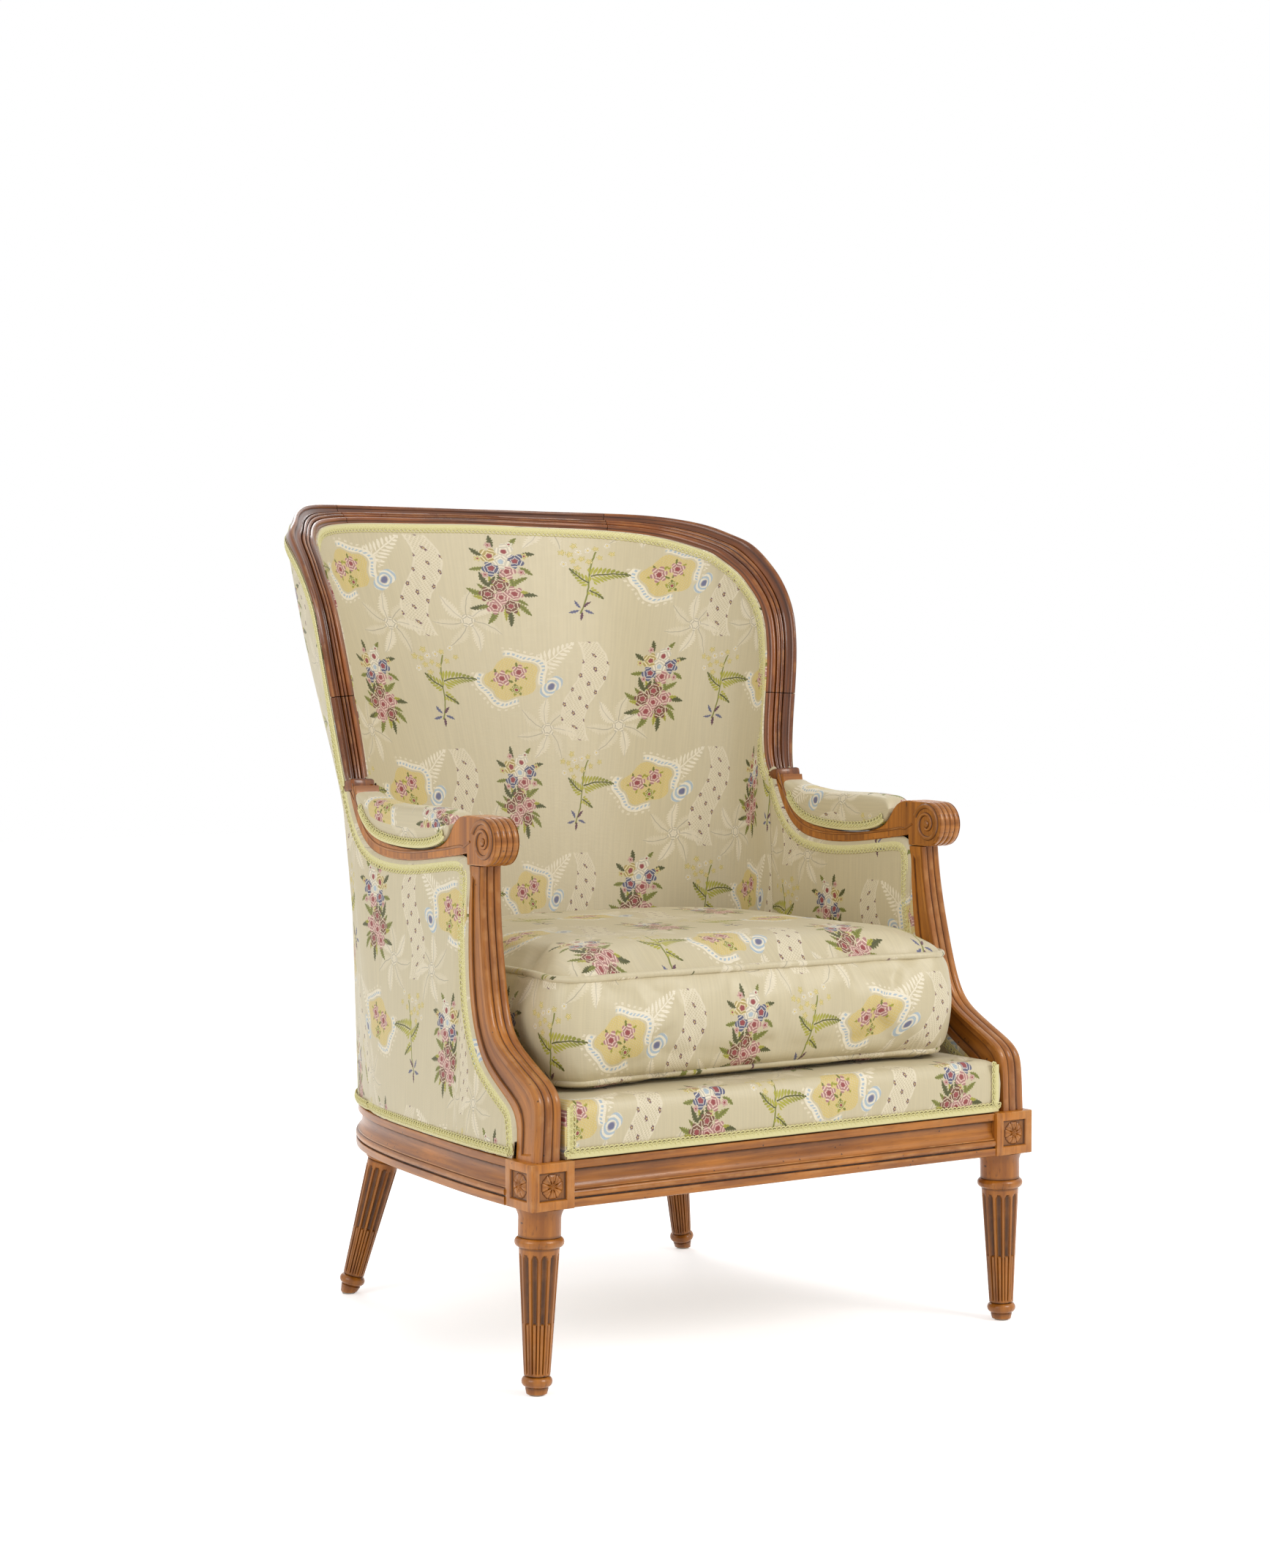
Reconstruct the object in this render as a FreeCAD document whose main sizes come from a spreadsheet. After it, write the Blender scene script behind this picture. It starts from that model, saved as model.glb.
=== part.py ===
import FreeCAD, Part
import Sketcher
import math
import os

# A bergere armchair: a carved show-wood frame, upholstered inside and out,
# with one loose box cushion. Millimetres, Z up, the front of the chair
# faces -Y. The origin is on the floor, under the middle of the plan.
# Depths below are measured back from the axis of the front legs.

Vector = FreeCAD.Vector

SIZES = [
    ("centre_depth", 349.0, "front leg axis to the middle of the plan"),
    ("leg_half_spread", 322.6, "centre line to front leg axis, at the block"),
    ("foot_half_spread", 327.0, "centre line to front leg axis, at the floor"),
    ("block_side", 55.0, "corner block, both ways"),
    ("block_bottom", 202.5, "underside of the corner block"),
    ("panel_side", 33.0, "sunk square on a corner block"),
    ("panel_sink", 3.0, "depth of that square"),
    ("rosette_radius", 12.5, "carved flower in the sunk square"),
    ("block_top", 254.0, "top of the corner block"),
    ("rail_top", 253.0, "top of the seat rails"),
    ("rail_bottom", 203.0, "underside of the seat rails"),
    ("rail_setback", 1.5, "bead of the front rail behind the face of the block"),
    ("rail_thickness", 44.0, "seat rail, outside to inside"),
    ("front_plug_radius", 11.3, "foot below the foot ring"),
    ("front_foot_radius", 16.9, "foot ring"),
    ("front_foot_height", 15.3, "middle of the foot ring"),
    ("front_shaft_low", 14.3, "shaft radius above the foot ring"),
    ("front_shaft_high", 22.0, "shaft radius below the neck ring"),
    ("front_ring_radius", 26.9, "neck ring"),
    ("front_ring_height", 166.0, "middle of the neck ring"),
    ("front_neck_radius", 23.3, "plain neck"),
    ("front_neck_top", 192.0, "start of the hollow under the block"),
    ("front_collar_radius", 27.0, "widest part, under the block"),
    ("front_leg_length", 202.5, "floor to block along the axis"),
    ("glide_radius", 8.0, "metal glide under each foot"),
    ("glide_height", 2.0, "thickness of that glide"),
    ("back_plug_radius", 10.6, "foot below the foot ring"),
    ("back_foot_radius", 15.7, "foot ring"),
    ("back_foot_height", 18.0, "middle of the foot ring along the axis"),
    ("back_shaft_low", 12.8, "shaft radius above the foot ring"),
    ("back_shaft_high", 19.6, "shaft radius below the neck ring"),
    ("back_ring_radius", 23.2, "neck ring"),
    ("back_ring_height", 178.0, "middle of the neck ring along the axis"),
    ("back_neck_radius", 19.5, "plain neck"),
    ("back_neck_top", 196.0, "start of the flare under the rail"),
    ("back_collar_radius", 21.5, "widest part, inside the rail"),
    ("back_leg_length", 236.0, "along the axis, with what the rail covers"),
    ("back_foot_x", 253.0, "back foot from the centre line"),
    ("back_foot_depth", 563.0, "back foot behind the front legs"),
    ("back_head_x", 210.0, "back leg axis where it meets the rail"),
    ("back_head_depth", 531.0, "the same point behind the front legs"),
    ("foot_ring_half", 6.0, "half the height of a foot ring"),
    ("neck_ring_half", 5.5, "half the height of a neck ring"),
    ("flute_count", 12, "flutes round a leg"),
    ("flute_radius", 4.3, "flute at its round top"),
    ("flute_foot_radius", 2.6, "flute at the foot ring"),
    ("flute_sink", 3.0, "depth of a flute"),
    ("cabled_sink", 1.3, "depth of the same flute where it is filled"),
    ("post_top", 561.0, "arm support under the scroll"),
    ("scroll_radius", 27.0, "roll at the front of the arm"),
    ("scroll_depth", 108.0, "axis of that roll behind the front legs"),
    ("scroll_height", 589.0, "axis of that roll"),
    ("arm_inner", 297.0, "inner face of the arm from the centre line"),
    ("arm_outer", 328.5, "outer face of the arm"),
    ("core_step", 3.0, "rebate that takes the covers' edges"),
    ("frame_depth", 25.0, "back frame, front face to hidden face"),
    ("inner_side", 5.0, "bare wood round the inside of the back frame"),
    ("cover_thickness", 2.0, "silk with its lining"),
    ("stuffing_thickness", 12.0, "hair on the inside of back and arms"),
    ("hessian_thickness", 0.8, "hessian behind the stuffing"),
    ("webbing_width", 50.0, "seat web"),
    ("webbing_thickness", 1.4, "seat web"),
    ("deck_top", 316.0, "top of the fixed seat"),
    ("cushion_seam_low", 326.0, "bottom piping of the cushion"),
    ("cushion_seam_high", 440.0, "top piping of the cushion"),
    ("piping_radius", 3.6, "piping of the cushion"),
    ("gimp_width", 11.0, "braid that hides the tacks"),
    ("gimp_thickness", 1.6, "the same braid"),
]

doc = FreeCAD.newDocument("BergereChair")
sheet = doc.addObject("Spreadsheet::Sheet", "Sizes")
for row, (alias, value, note) in enumerate(SIZES, start=1):
    sheet.set(f"A{row}", note)
    sheet.set(f"B{row}", str(value))
    sheet.setAlias(f"B{row}", alias)
doc.recompute()

pieces = []


def size(alias):
    """Value of one driving dimension."""
    return float(sheet.get(alias))


def at(x, depth, z):
    """Point at a distance behind the front legs, in the chair's frame."""
    return Vector(x, depth - size("centre_depth"), z)


def piece(shape_or_object, label):
    """Enter a finished sub-part under the name of its file."""
    if isinstance(shape_or_object, Part.Shape):
        found = doc.addObject("Part::Feature", label)
        found.Shape = shape_or_object
    else:
        found = shape_or_object
    found.Label = label
    pieces.append(found)
    return found


def primitive(kind, name, placement=None, **expressions):
    """Part primitive whose properties follow the sheet."""
    solid = doc.addObject(f"Part::{kind}", name)
    for key, expression in expressions.items():
        solid.setExpression(key, str(expression))
    if placement is not None:
        solid.Placement = placement
    return solid


def boolean(kind, name, first, second):
    """Part boolean of two objects, or a fusion of many."""
    if kind == "MultiFuse":
        found = doc.addObject("Part::MultiFuse", name)
        found.Shapes = [first] + list(second)
        return found
    found = doc.addObject(f"Part::{kind}", name)
    found.Base = first
    found.Tool = second
    return found


def drawn_body(label, role, corners, length, offset=None):
    """Body padded from a closed outline whose corners follow the sheet."""
    body = doc.addObject("PartDesign::Body", label)
    sketch = body.newObject("Sketcher::SketchObject", label + "_outline")
    plane = [feature for feature in body.Origin.OriginFeatures if feature.Role == role][0]
    sketch.AttachmentSupport = (plane, "")
    sketch.MapMode = "FlatFace"
    values = [(sketch.evalExpression(str(x)), sketch.evalExpression(str(y))) for x, y in corners]
    values = [tuple(float(getattr(value, "Value", value)) for value in pair) for pair in values]
    count = len(corners)
    for index, (x, y) in enumerate(values):
        x_next, y_next = values[(index + 1) % count]
        sketch.addGeometry(Part.LineSegment(Vector(x, y, 0), Vector(x_next, y_next, 0)), False)
    for index in range(count):
        sketch.addConstraint(Sketcher.Constraint("Coincident", index, 2, (index + 1) % count, 1))
    for index, (x, y) in enumerate(values):
        across = sketch.addConstraint(Sketcher.Constraint("DistanceX", -1, 1, index, 1, x))
        sketch.setExpression(f"Constraints[{across}]", str(corners[index][0]))
        along = sketch.addConstraint(Sketcher.Constraint("DistanceY", -1, 1, index, 1, y))
        sketch.setExpression(f"Constraints[{along}]", str(corners[index][1]))
    if offset is not None:
        sketch.setExpression("AttachmentOffset.Base.z", str(offset))
    pad = body.newObject("PartDesign::Pad", label + "_pad")
    pad.Profile = sketch
    pad.setExpression("Length", str(length))
    body.Tip = pad
    return body


def compound(label, members):
    """Several solids of one kind as a single sub-part."""
    group = doc.addObject("Part::Compound", label)
    group.Links = members
    return group


def line(start, end):
    return Part.LineSegment(start, end).toShape()


def arc(start, middle, end):
    return Part.Arc(start, middle, end).toShape()


def polygon(points):
    """Closed wire with straight sides."""
    return Part.makePolygon(list(points) + [points[0]])


def loft(sections, ruled=True):
    """Solid through a row of closed sections given by their corners."""
    wires = [polygon(section) for section in sections]
    return Part.makeLoft(wires, True, ruled)


def twisted_loft(sections):
    """Solid through closed sections that don't lie in one plane each."""
    skin = Part.makeLoft([polygon(section) for section in sections], False, True)
    faces = list(skin.Faces)
    for section in (sections[0], sections[-1]):
        half = len(section) // 2
        near, far = section[:half], list(reversed(section[half:]))
        for index in range(half - 1):
            first = line(near[index], near[index + 1])
            second = line(far[index], far[index + 1])
            faces.append(Part.makeRuledSurface(first, second))
    shell_of_faces = Part.makeShell(faces)
    shell_of_faces.sewShape()
    solid = Part.Solid(shell_of_faces)
    if solid.Volume < 0:
        solid.reverse()
    return solid


def mirrored(points):
    """The same points on the other side of the chair."""
    return [Vector(-p.x, p.y, p.z) for p in points]


def sided(points, side):
    """Points of the right side, or the same on the left."""
    return points if side > 0 else mirrored(points)


def between(table, value):
    """Straight-line reading of a table of (value, result) pairs."""
    for (low, first), (high, second) in zip(table, table[1:]):
        if value <= high:
            break
    share = (value - low) / (high - low)
    return first + (second - first) * share


def spline(points):
    """Smooth curve through points, one unit of parameter for each."""
    curve = Part.BSplineCurve()
    curve.interpolate(Points=list(points), Parameters=[float(i) for i in range(len(points))])
    return curve


SIDES = (("left", -1), ("right", 1))


# Legs


def turned_pieces(name, prefix, below):
    """Turned parts of a leg along its own axis, from foot to head."""

    def raised(height):
        return FreeCAD.Placement(Vector(0, 0, height), FreeCAD.Rotation())

    own = "Sizes." + prefix
    foot_height = size(prefix + "_foot_height")
    ring_height = size(prefix + "_ring_height")
    neck_top = size(prefix + "_neck_top")
    return [
        primitive(
            "Cone",
            name + "_plug",
            raised(-below),
            Radius1=f"{own}_plug_radius",
            Radius2=f"{own}_plug_radius + 2",
            Height=f"{own}_foot_height + {below}",
        ),
        primitive(
            "Torus",
            name + "_foot_ring",
            raised(foot_height),
            Radius1=f"{own}_foot_radius - Sizes.foot_ring_half",
            Radius2="Sizes.foot_ring_half",
        ),
        primitive(
            "Cone",
            name + "_taper",
            raised(foot_height),
            Radius1=f"{own}_shaft_low",
            Radius2=f"{own}_shaft_high",
            Height=f"{own}_ring_height - {own}_foot_height",
        ),
        primitive(
            "Torus",
            name + "_neck_ring",
            raised(ring_height),
            Radius1=f"{own}_ring_radius - Sizes.neck_ring_half",
            Radius2="Sizes.neck_ring_half",
        ),
        primitive(
            "Cylinder",
            name + "_neck",
            raised(ring_height),
            Radius=f"{own}_neck_radius",
            Height=f"{own}_neck_top - {own}_ring_height",
        ),
        primitive(
            "Cone",
            name + "_collar",
            raised(neck_top),
            Radius1=f"{own}_neck_radius",
            Radius2=f"{own}_collar_radius",
            Height=f"{own}_leg_length - {own}_neck_top",
        ),
    ]


def flute_cutters(name, prefix):
    """Ring of round-topped flutes, deep above and shallow where cabled."""
    low = size(prefix + "_foot_height") + 7.0
    high = size(prefix + "_ring_height") - 19.0
    stop = low + (high - low) * 0.43
    rise = size(prefix + "_ring_height") - size(prefix + "_foot_height") - 11.5
    taper = (size(prefix + "_shaft_high") - size(prefix + "_shaft_low")) / rise
    lean = math.degrees(math.atan(taper))
    cutters = []
    count = int(size("flute_count"))
    for index in range(count):
        turn = FreeCAD.Rotation(Vector(0, 0, 1), 360.0 * (index + 0.5) / count)
        tilt = FreeCAD.Rotation(Vector(0, 1, 0), lean)
        for part, start, end, sink in (("deep", stop, high, "flute_sink"), ("shallow", low, stop, "cabled_sink")):
            radius = size(prefix + "_shaft_low") + taper * (start - low)
            share = (start - low) / (high - low)
            reach = "Sizes.flute_foot_radius + (Sizes.flute_radius - Sizes.flute_foot_radius)"
            cone_low = size("flute_foot_radius") + (size("flute_radius") - size("flute_foot_radius")) * share
            axis_radius = radius + cone_low - size(sink)
            place = FreeCAD.Placement(turn.multVec(Vector(axis_radius, 0, start)), turn * tilt)
            cutters.append(
                primitive(
                    "Cone",
                    f"{name}_{part}_{index}",
                    place,
                    Radius1=f"{reach} * {share}",
                    Radius2=f"{reach} * {(end - low) / (high - low)}",
                    Height=str(end - start),
                )
            )
            if part == "deep":
                tip = place.multVec(Vector(0, 0, end - start))
                cutters.append(
                    primitive("Sphere", f"{name}_tip_{index}", FreeCAD.Placement(tip, turn), Radius="Sizes.flute_radius")
                )
    return boolean("MultiFuse", name, cutters[0], cutters[1:])


def fluted_shaft(name, prefix, below, place):
    """Turned and fluted leg, standing where the chair needs it."""
    turnings = turned_pieces(name, prefix, below)
    turned = boolean("MultiFuse", name + "_turned", turnings[0], turnings[1:])
    shaft = boolean("Cut", name + "_shaft", turned, flute_cutters(name + "_flutes", prefix))
    shaft.Placement = place
    return shaft


def front_leg(label, side):
    """Front leg with its corner block, sunk squares and carved flowers."""
    splay = math.degrees(math.atan((size("foot_half_spread") - size("leg_half_spread")) / size("block_bottom")))
    place = FreeCAD.Placement(
        at(side * size("foot_half_spread"), 0, 0),
        FreeCAD.Rotation(Vector(0, 1, 0), -side * splay),
    )
    shaft = fluted_shaft(label, "front", 1.0, place)
    half = size("block_side") / 2
    corner = at(side * size("leg_half_spread") - half, -half, size("block_bottom"))
    block = primitive(
        "Box",
        label + "_block",
        FreeCAD.Placement(corner, FreeCAD.Rotation()),
        Length="Sizes.block_side",
        Width="Sizes.block_side",
        Height="Sizes.block_top - Sizes.block_bottom",
    )
    middle = at(side * size("leg_half_spread"), 0, (size("block_bottom") + size("block_top")) / 2)
    faces = (
        ("front", FreeCAD.Rotation(Vector(1, 0, 0), 90), Vector(0, -half, 0)),
        ("outer", FreeCAD.Rotation(Vector(0, 1, 0), 90 * side), Vector(side * half, 0, 0)),
    )
    flowers = []
    for face, turn, out in faces:
        half_panel = size("panel_side") / 2
        sink = turn.multVec(Vector(-half_panel, -half_panel, -size("panel_sink")))
        hollow = primitive(
            "Box",
            f"{label}_{face}_square",
            FreeCAD.Placement(middle + out + sink, turn),
            Length="Sizes.panel_side",
            Width="Sizes.panel_side",
            Height="Sizes.panel_sink + 1",
        )
        block = boolean("Cut", f"{label}_{face}_block", block, hollow)
        base = turn.multVec(Vector(0, 0, -size("panel_sink") - 0.5))
        flowers.append(
            primitive(
                "Cone",
                f"{label}_{face}_flower",
                FreeCAD.Placement(middle + out + base, turn),
                Radius1="Sizes.rosette_radius",
                Radius2="Sizes.rosette_radius * 0.6",
                Height="Sizes.panel_sink",
            )
        )
    whole = boolean("MultiFuse", label + "_whole", shaft, [block] + flowers)
    floor = primitive(
        "Box",
        label + "_floor",
        FreeCAD.Placement(at(side * 400 - 200, -100, -50), FreeCAD.Rotation()),
        Length="400",
        Width="200",
        Height="50 + Sizes.glide_height",
    )
    piece(boolean("Cut", label, whole, floor), label)


# Seat rails

# Outer edge of the seat rails on the right, from the block to the middle
RAIL_PLAN = [
    (351.5, 27.5),
    (350.5, 110.0),
    (345.0, 190.5),
    (336.0, 290.7),
    (319.0, 393.0),
    (295.2, 463.0),
    (269.5, 508.0),
    (237.0, 547.0),
    (193.0, 576.0),
    (140.0, 595.0),
    (70.0, 606.0),
    (0.0, 609.0),
]
# Moulding of the rail as (depth into the wood, height above its underside)
RAIL_MOULDING = [
    (3.8, 50.0),
    (3.0, 48.5),
    (3.0, 41.5),
    (6.6, 40.0),
    (8.0, 35.0),
    (7.6, 29.5),
    (5.8, 24.0),
    (2.8, 20.3),
    (2.6, 19.2),
    (0.6, 17.4),
    (0.0, 14.6),
    (0.6, 11.8),
    (2.4, 10.2),
    (2.4, 9.2),
    (0.4, 8.6),
    (0.4, 1.4),
    (1.6, 0.0),
]
BLOCK_SPLIT = 5.2
CORNER_SPLIT = 8.0
LAST = len(RAIL_PLAN) - 1


def rail_curve():
    """Outer edge of the rails, from the left block round to the right one."""
    left = [at(-x, depth, 0) for x, depth in RAIL_PLAN]
    right = [at(x, depth, 0) for x, depth in reversed(RAIL_PLAN[:-1])]
    return spline(left + right)


def rail_section(curve, parameter):
    """Section of a seat rail across its run."""
    spot = curve.value(parameter)
    along = curve.tangent(parameter)[0]
    inward = Vector(along.y, -along.x, 0).normalize()
    underside = Vector(0, 0, size("rail_bottom"))
    corners = [spot + inward * sink + underside + Vector(0, 0, rise) for sink, rise in RAIL_MOULDING]
    inner = spot + inward * size("rail_thickness")
    corners.append(inner + underside)
    corners.append(inner + Vector(0, 0, size("rail_top")))
    return corners


def rail_run(start, end, count):
    """Solid of the rail between two parameters of its plan."""
    curve = rail_curve()
    steps = [start + (end - start) * i / count for i in range(count + 1)]
    return loft([rail_section(curve, step) for step in steps])


def side_rail(label, side):
    """Side rail, from the front block to the back leg."""
    run = rail_run(0.0, BLOCK_SPLIT, 9)
    if side > 0:
        run = rail_run(2 * LAST, 2 * LAST - BLOCK_SPLIT, 9)
    piece(run, label)


def front_rail(label):
    """Front rail between the blocks, with a sunk band and a bead."""
    face = "-Sizes.centre_depth - Sizes.block_side / 2 + Sizes.rail_setback"
    corners = [(f"{face} + {sink}", f"Sizes.rail_bottom + {rise}") for sink, rise in RAIL_MOULDING]
    corners.append((f"{face} + Sizes.rail_thickness", "Sizes.rail_bottom"))
    corners.append((f"{face} + Sizes.rail_thickness", "Sizes.rail_top"))
    run = drawn_body(
        label,
        "YZ_Plane",
        corners,
        "2 * Sizes.leg_half_spread - Sizes.block_side",
        "Sizes.block_side / 2 - Sizes.leg_half_spread",
    )
    piece(run, label)


def back_leg(label, side):
    """Raked back leg with the rounded corner of the rail as its head."""
    foot = at(side * size("back_foot_x"), size("back_foot_depth"), 0)
    head = at(side * size("back_head_x"), size("back_head_depth"), size("rail_bottom"))
    turn = FreeCAD.Rotation(Vector(0, 0, 1), head - foot)
    shaft = fluted_shaft(label, "back", 12.0, FreeCAD.Placement(foot, turn))
    low_corner = at(side * size("back_foot_x") - 100, size("back_foot_depth") - 200, size("glide_height"))
    slab = primitive(
        "Box",
        label + "_slab",
        FreeCAD.Placement(low_corner, FreeCAD.Rotation()),
        Length="200",
        Width="350",
        Height="Sizes.rail_bottom + 1 - Sizes.glide_height",
    )
    trimmed = boolean("Common", label + "_trimmed", shaft, slab)
    start, end = BLOCK_SPLIT, CORNER_SPLIT
    if side > 0:
        start, end = 2 * LAST - CORNER_SPLIT, 2 * LAST - BLOCK_SPLIT
    corner = doc.addObject("Part::Feature", label + "_corner")
    corner.Shape = rail_run(start, end, 7)
    piece(boolean("MultiFuse", label, trimmed, [corner]), label)


def foot_glides(label):
    """Metal glide under each foot, on which the chair stands."""
    glides = []
    spots = ((size("foot_half_spread"), 0.0), (size("back_foot_x"), size("back_foot_depth")))
    for name, side in SIDES:
        for place, (x, depth) in zip(("front", "back"), spots):
            glides.append(
                primitive(
                    "Cylinder",
                    f"glide_{place}_{name}",
                    FreeCAD.Placement(at(side * x, depth, 0), FreeCAD.Rotation()),
                    Radius="Sizes.glide_radius",
                    Height="Sizes.glide_height",
                )
            )
    piece(compound(label, glides), label)


def corner_braces(label):
    """Glued braces inside the four corners of the seat frame."""
    inner = "(Sizes.leg_half_spread - Sizes.block_side / 2)"
    front = [
        (f"{inner} - 1", 28.5),
        (f"{inner} - 1", 78),
        (f"{inner} - 48", 23),
        (f"{inner} - 28", 23),
    ]
    back = [("251", 446), ("206", 513), ("194", 505), ("239", 438)]
    braces = []
    for name, side in SIDES:
        for place, plan in (("front", front), ("back", back)):
            corners = [(f"{side} * ({x})", f"{depth} - Sizes.centre_depth") for x, depth in plan]
            braces.append(
                drawn_body(
                    f"brace_{place}_{name}",
                    "XY_Plane",
                    corners,
                    "Sizes.rail_top - Sizes.rail_bottom - 14",
                    "Sizes.rail_bottom + 6",
                )
            )
    piece(compound(label, braces), label)


# Arm supports and arms

# Front and back outlines of an arm support, as pairs of (depth, height)
POST_FRONT = [
    (117.6, 561.0),
    (113.0, 509.0),
    (103.0, 457.0),
    (89.0, 405.0),
    (71.0, 376.0),
    (46.0, 360.0),
    (20.0, 347.0),
    (0.0, 337.0),
    (-12.5, 328.0),
    (-19.5, 317.0),
    (-21.8, 300.0),
    (-22.0, 278.0),
    (-22.0, 254.0),
]
POST_BACK = [
    (142.6, 561.0),
    (140.0, 508.0),
    (136.0, 455.0),
    (125.5, 404.0),
    (104.0, 360.0),
    (76.0, 334.0),
    (50.0, 318.5),
    (34.0, 308.0),
    (25.0, 299.0),
    (20.5, 290.0),
    (18.5, 281.0),
    (18.0, 268.0),
    (18.0, 254.0),
]
POST_INNER = [(254.0, 309.5), (561.0, 298.3)]
POST_OUTER = [(254.0, 342.0), (561.0, 325.0)]


def arm_support(label, side):
    """Console-shaped support from the corner block to the arm."""
    front = spline([Vector(0, depth, z) for depth, z in POST_FRONT])
    back = spline([Vector(0, depth, z) for depth, z in POST_BACK])
    sections = []
    count = 2 * (len(POST_FRONT) - 1)
    for index in range(count + 1):
        fore = front.value(index / 2)
        rear = back.value(index / 2)
        corners = [
            at(between(POST_INNER, fore.z), fore.y, fore.z),
            at(between(POST_OUTER, fore.z), fore.y, fore.z),
            at(between(POST_OUTER, rear.z), rear.y, rear.z),
            at(between(POST_INNER, rear.z), rear.y, rear.z),
        ]
        sections.append(sided(corners, side))
    piece(loft(sections), label)


# Underside of the arm where the covers meet it, and its hidden edge below
ARM_UNDER = [(143.0, 575.0), (186.0, 568.5), (259.0, 560.5), (318.0, 560.0), (361.0, 568.0), (391.0, 590.0), (410.0, 621.0), (418.0, 640.0)]
ARM_CORE = [(143.0, 563.0), (186.0, 558.0), (259.0, 551.0), (318.0, 549.5), (368.0, 557.0), (404.0, 578.0), (430.0, 606.0), (443.0, 640.0)]
# Top of the arm under the pad, from the collar forward to the scroll
ARM_TOP = [(400.0, 640.0), (395.0, 622.0), (381.0, 600.0), (352.0, 582.0), (300.0, 573.5), (246.0, 573.0), (205.0, 579.0), (184.0, 590.0), (173.0, 604.0)]


def arm_outline(x, under):
    """Side outline of the arm: roll, hollow for the pad, rise to the collar."""
    radius = size("scroll_radius")
    depth, height = size("scroll_depth"), size("scroll_height")
    crown = at(x, depth, height + radius)
    foot = at(x, depth, height - radius)
    heel = at(x, under[0][0], height - radius)
    edges = [arc(crown, at(x, depth - radius, height), foot)]
    edges.append(line(foot, heel))
    edges.append(line(heel, at(x, *under[0])))
    edges.append(spline([at(x, *spot) for spot in under]).toShape())
    edges.append(line(at(x, *under[-1]), at(x, *ARM_TOP[0])))
    edges.append(spline([at(x, *spot) for spot in ARM_TOP]).toShape())
    edges.append(arc(at(x, *ARM_TOP[-1]), at(x, 168.0, 613.0), at(x, 158.0, 616.2)))
    edges.append(arc(at(x, 158.0, 616.2), at(x, 133.0, 614.8), crown))
    return Part.Face(Part.Wire(edges))


def arm(label, side):
    """Arm with its scroll, rebated along the edges that take the covers."""
    inner, step = size("arm_inner"), size("core_step")
    whole = []
    for name, x, under, length in (
        ("wood", inner, ARM_UNDER, "Sizes.arm_outer - Sizes.arm_inner"),
        ("core", inner + step, ARM_CORE, "Sizes.arm_outer - Sizes.arm_inner - 3 * Sizes.core_step"),
    ):
        outline = doc.addObject("Part::Feature", f"{label}_{name}_outline")
        outline.Shape = arm_outline(x, under)
        block = doc.addObject("Part::Extrusion", f"{label}_{name}")
        block.Base = outline
        block.DirMode = "Custom"
        block.Dir = Vector(1, 0, 0)
        block.setExpression("LengthFwd", length)
        block.Solid = True
        whole.append(block)
    joined = boolean("MultiFuse", label + "_joined", whole[0], whole[1:])
    if side < 0:
        twin = doc.addObject("Part::Mirroring", label)
        twin.Source = joined
        twin.Base = Vector(0, 0, 0)
        twin.Normal = Vector(1, 0, 0)
        joined = twin
    piece(joined, label)


# Back frame

# Outer and inner edge of the moulded face and the way its depth runs, on the
# right, from the collar over the arm up the wing and along to the middle
FRAME_OUTER = [
    (330.0, 417.0, 640.0),
    (336.0, 428.0, 700.0),
    (347.5, 436.0, 780.0),
    (353.5, 448.0, 845.0),
    (354.5, 472.0, 888.0),
    (352.0, 496.0, 914.5),
    (346.0, 529.0, 941.5),
    (330.0, 553.0, 956.0),
    (313.0, 580.0, 968.0),
    (290.0, 613.0, 977.5),
    (250.0, 656.0, 985.0),
    (180.0, 690.0, 987.7),
    (90.0, 703.0, 988.4),
    (0.0, 707.0, 988.6),
]
FRAME_INNER = [
    (297.0, 422.0, 640.0),
    (298.0, 437.5, 701.0),
    (309.5, 446.5, 783.0),
    (315.5, 464.0, 849.0),
    (314.0, 490.0, 884.0),
    (309.5, 512.0, 906.0),
    (302.0, 538.0, 923.8),
    (296.0, 555.0, 934.0),
    (286.0, 575.0, 941.5),
    (269.0, 603.0, 951.0),
    (238.0, 637.0, 960.5),
    (175.0, 666.0, 966.5),
    (88.0, 678.5, 968.5),
    (0.0, 682.0, 969.9),
]
FRAME_DEPTH = [
    (0.0, 1.0, 0.0),
    (0.0, 1.0, -0.01),
    (0.0, 1.0, -0.03),
    (0.0, 1.0, -0.08),
    (-0.05, 0.98, -0.2),
    (-0.08, 0.93, -0.35),
    (-0.1, 0.88, -0.45),
    (-0.1, 0.83, -0.55),
    (-0.08, 0.78, -0.62),
    (-0.05, 0.74, -0.67),
    (-0.03, 0.7, -0.71),
    (-0.01, 0.66, -0.75),
    (0.0, 0.64, -0.77),
    (0.0, 0.63, -0.78),
]
# Bare wood behind the outer edge: a little on the wing, all of it on the crest
OUTER_SIDE = [3.0, 3.0, 3.0, 4.0, 7.0, 12.0, 17.0, 20.0, 22.0, 22.0, 22.0, 22.0, 22.0, 22.0]
MIDDLE = len(FRAME_OUTER) - 1
STILE_SPLIT = 1.55
CREST_SPLIT = 10.7


def both_sides(rows):
    """Rows of the right side continued, mirrored, down the left."""
    right = [Vector(*row) for row in rows]
    return right + mirrored(reversed(right[:-1]))


def depth_shifted(vectors):
    """Points with their depth counted from the middle of the plan."""
    return [v - Vector(0, size("centre_depth"), 0) for v in vectors]


OUTER_EDGE = spline(depth_shifted(both_sides(FRAME_OUTER)))
INNER_EDGE = spline(depth_shifted(both_sides(FRAME_INNER)))
DEPTH_WAY = spline(both_sides(FRAME_DEPTH))


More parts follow.
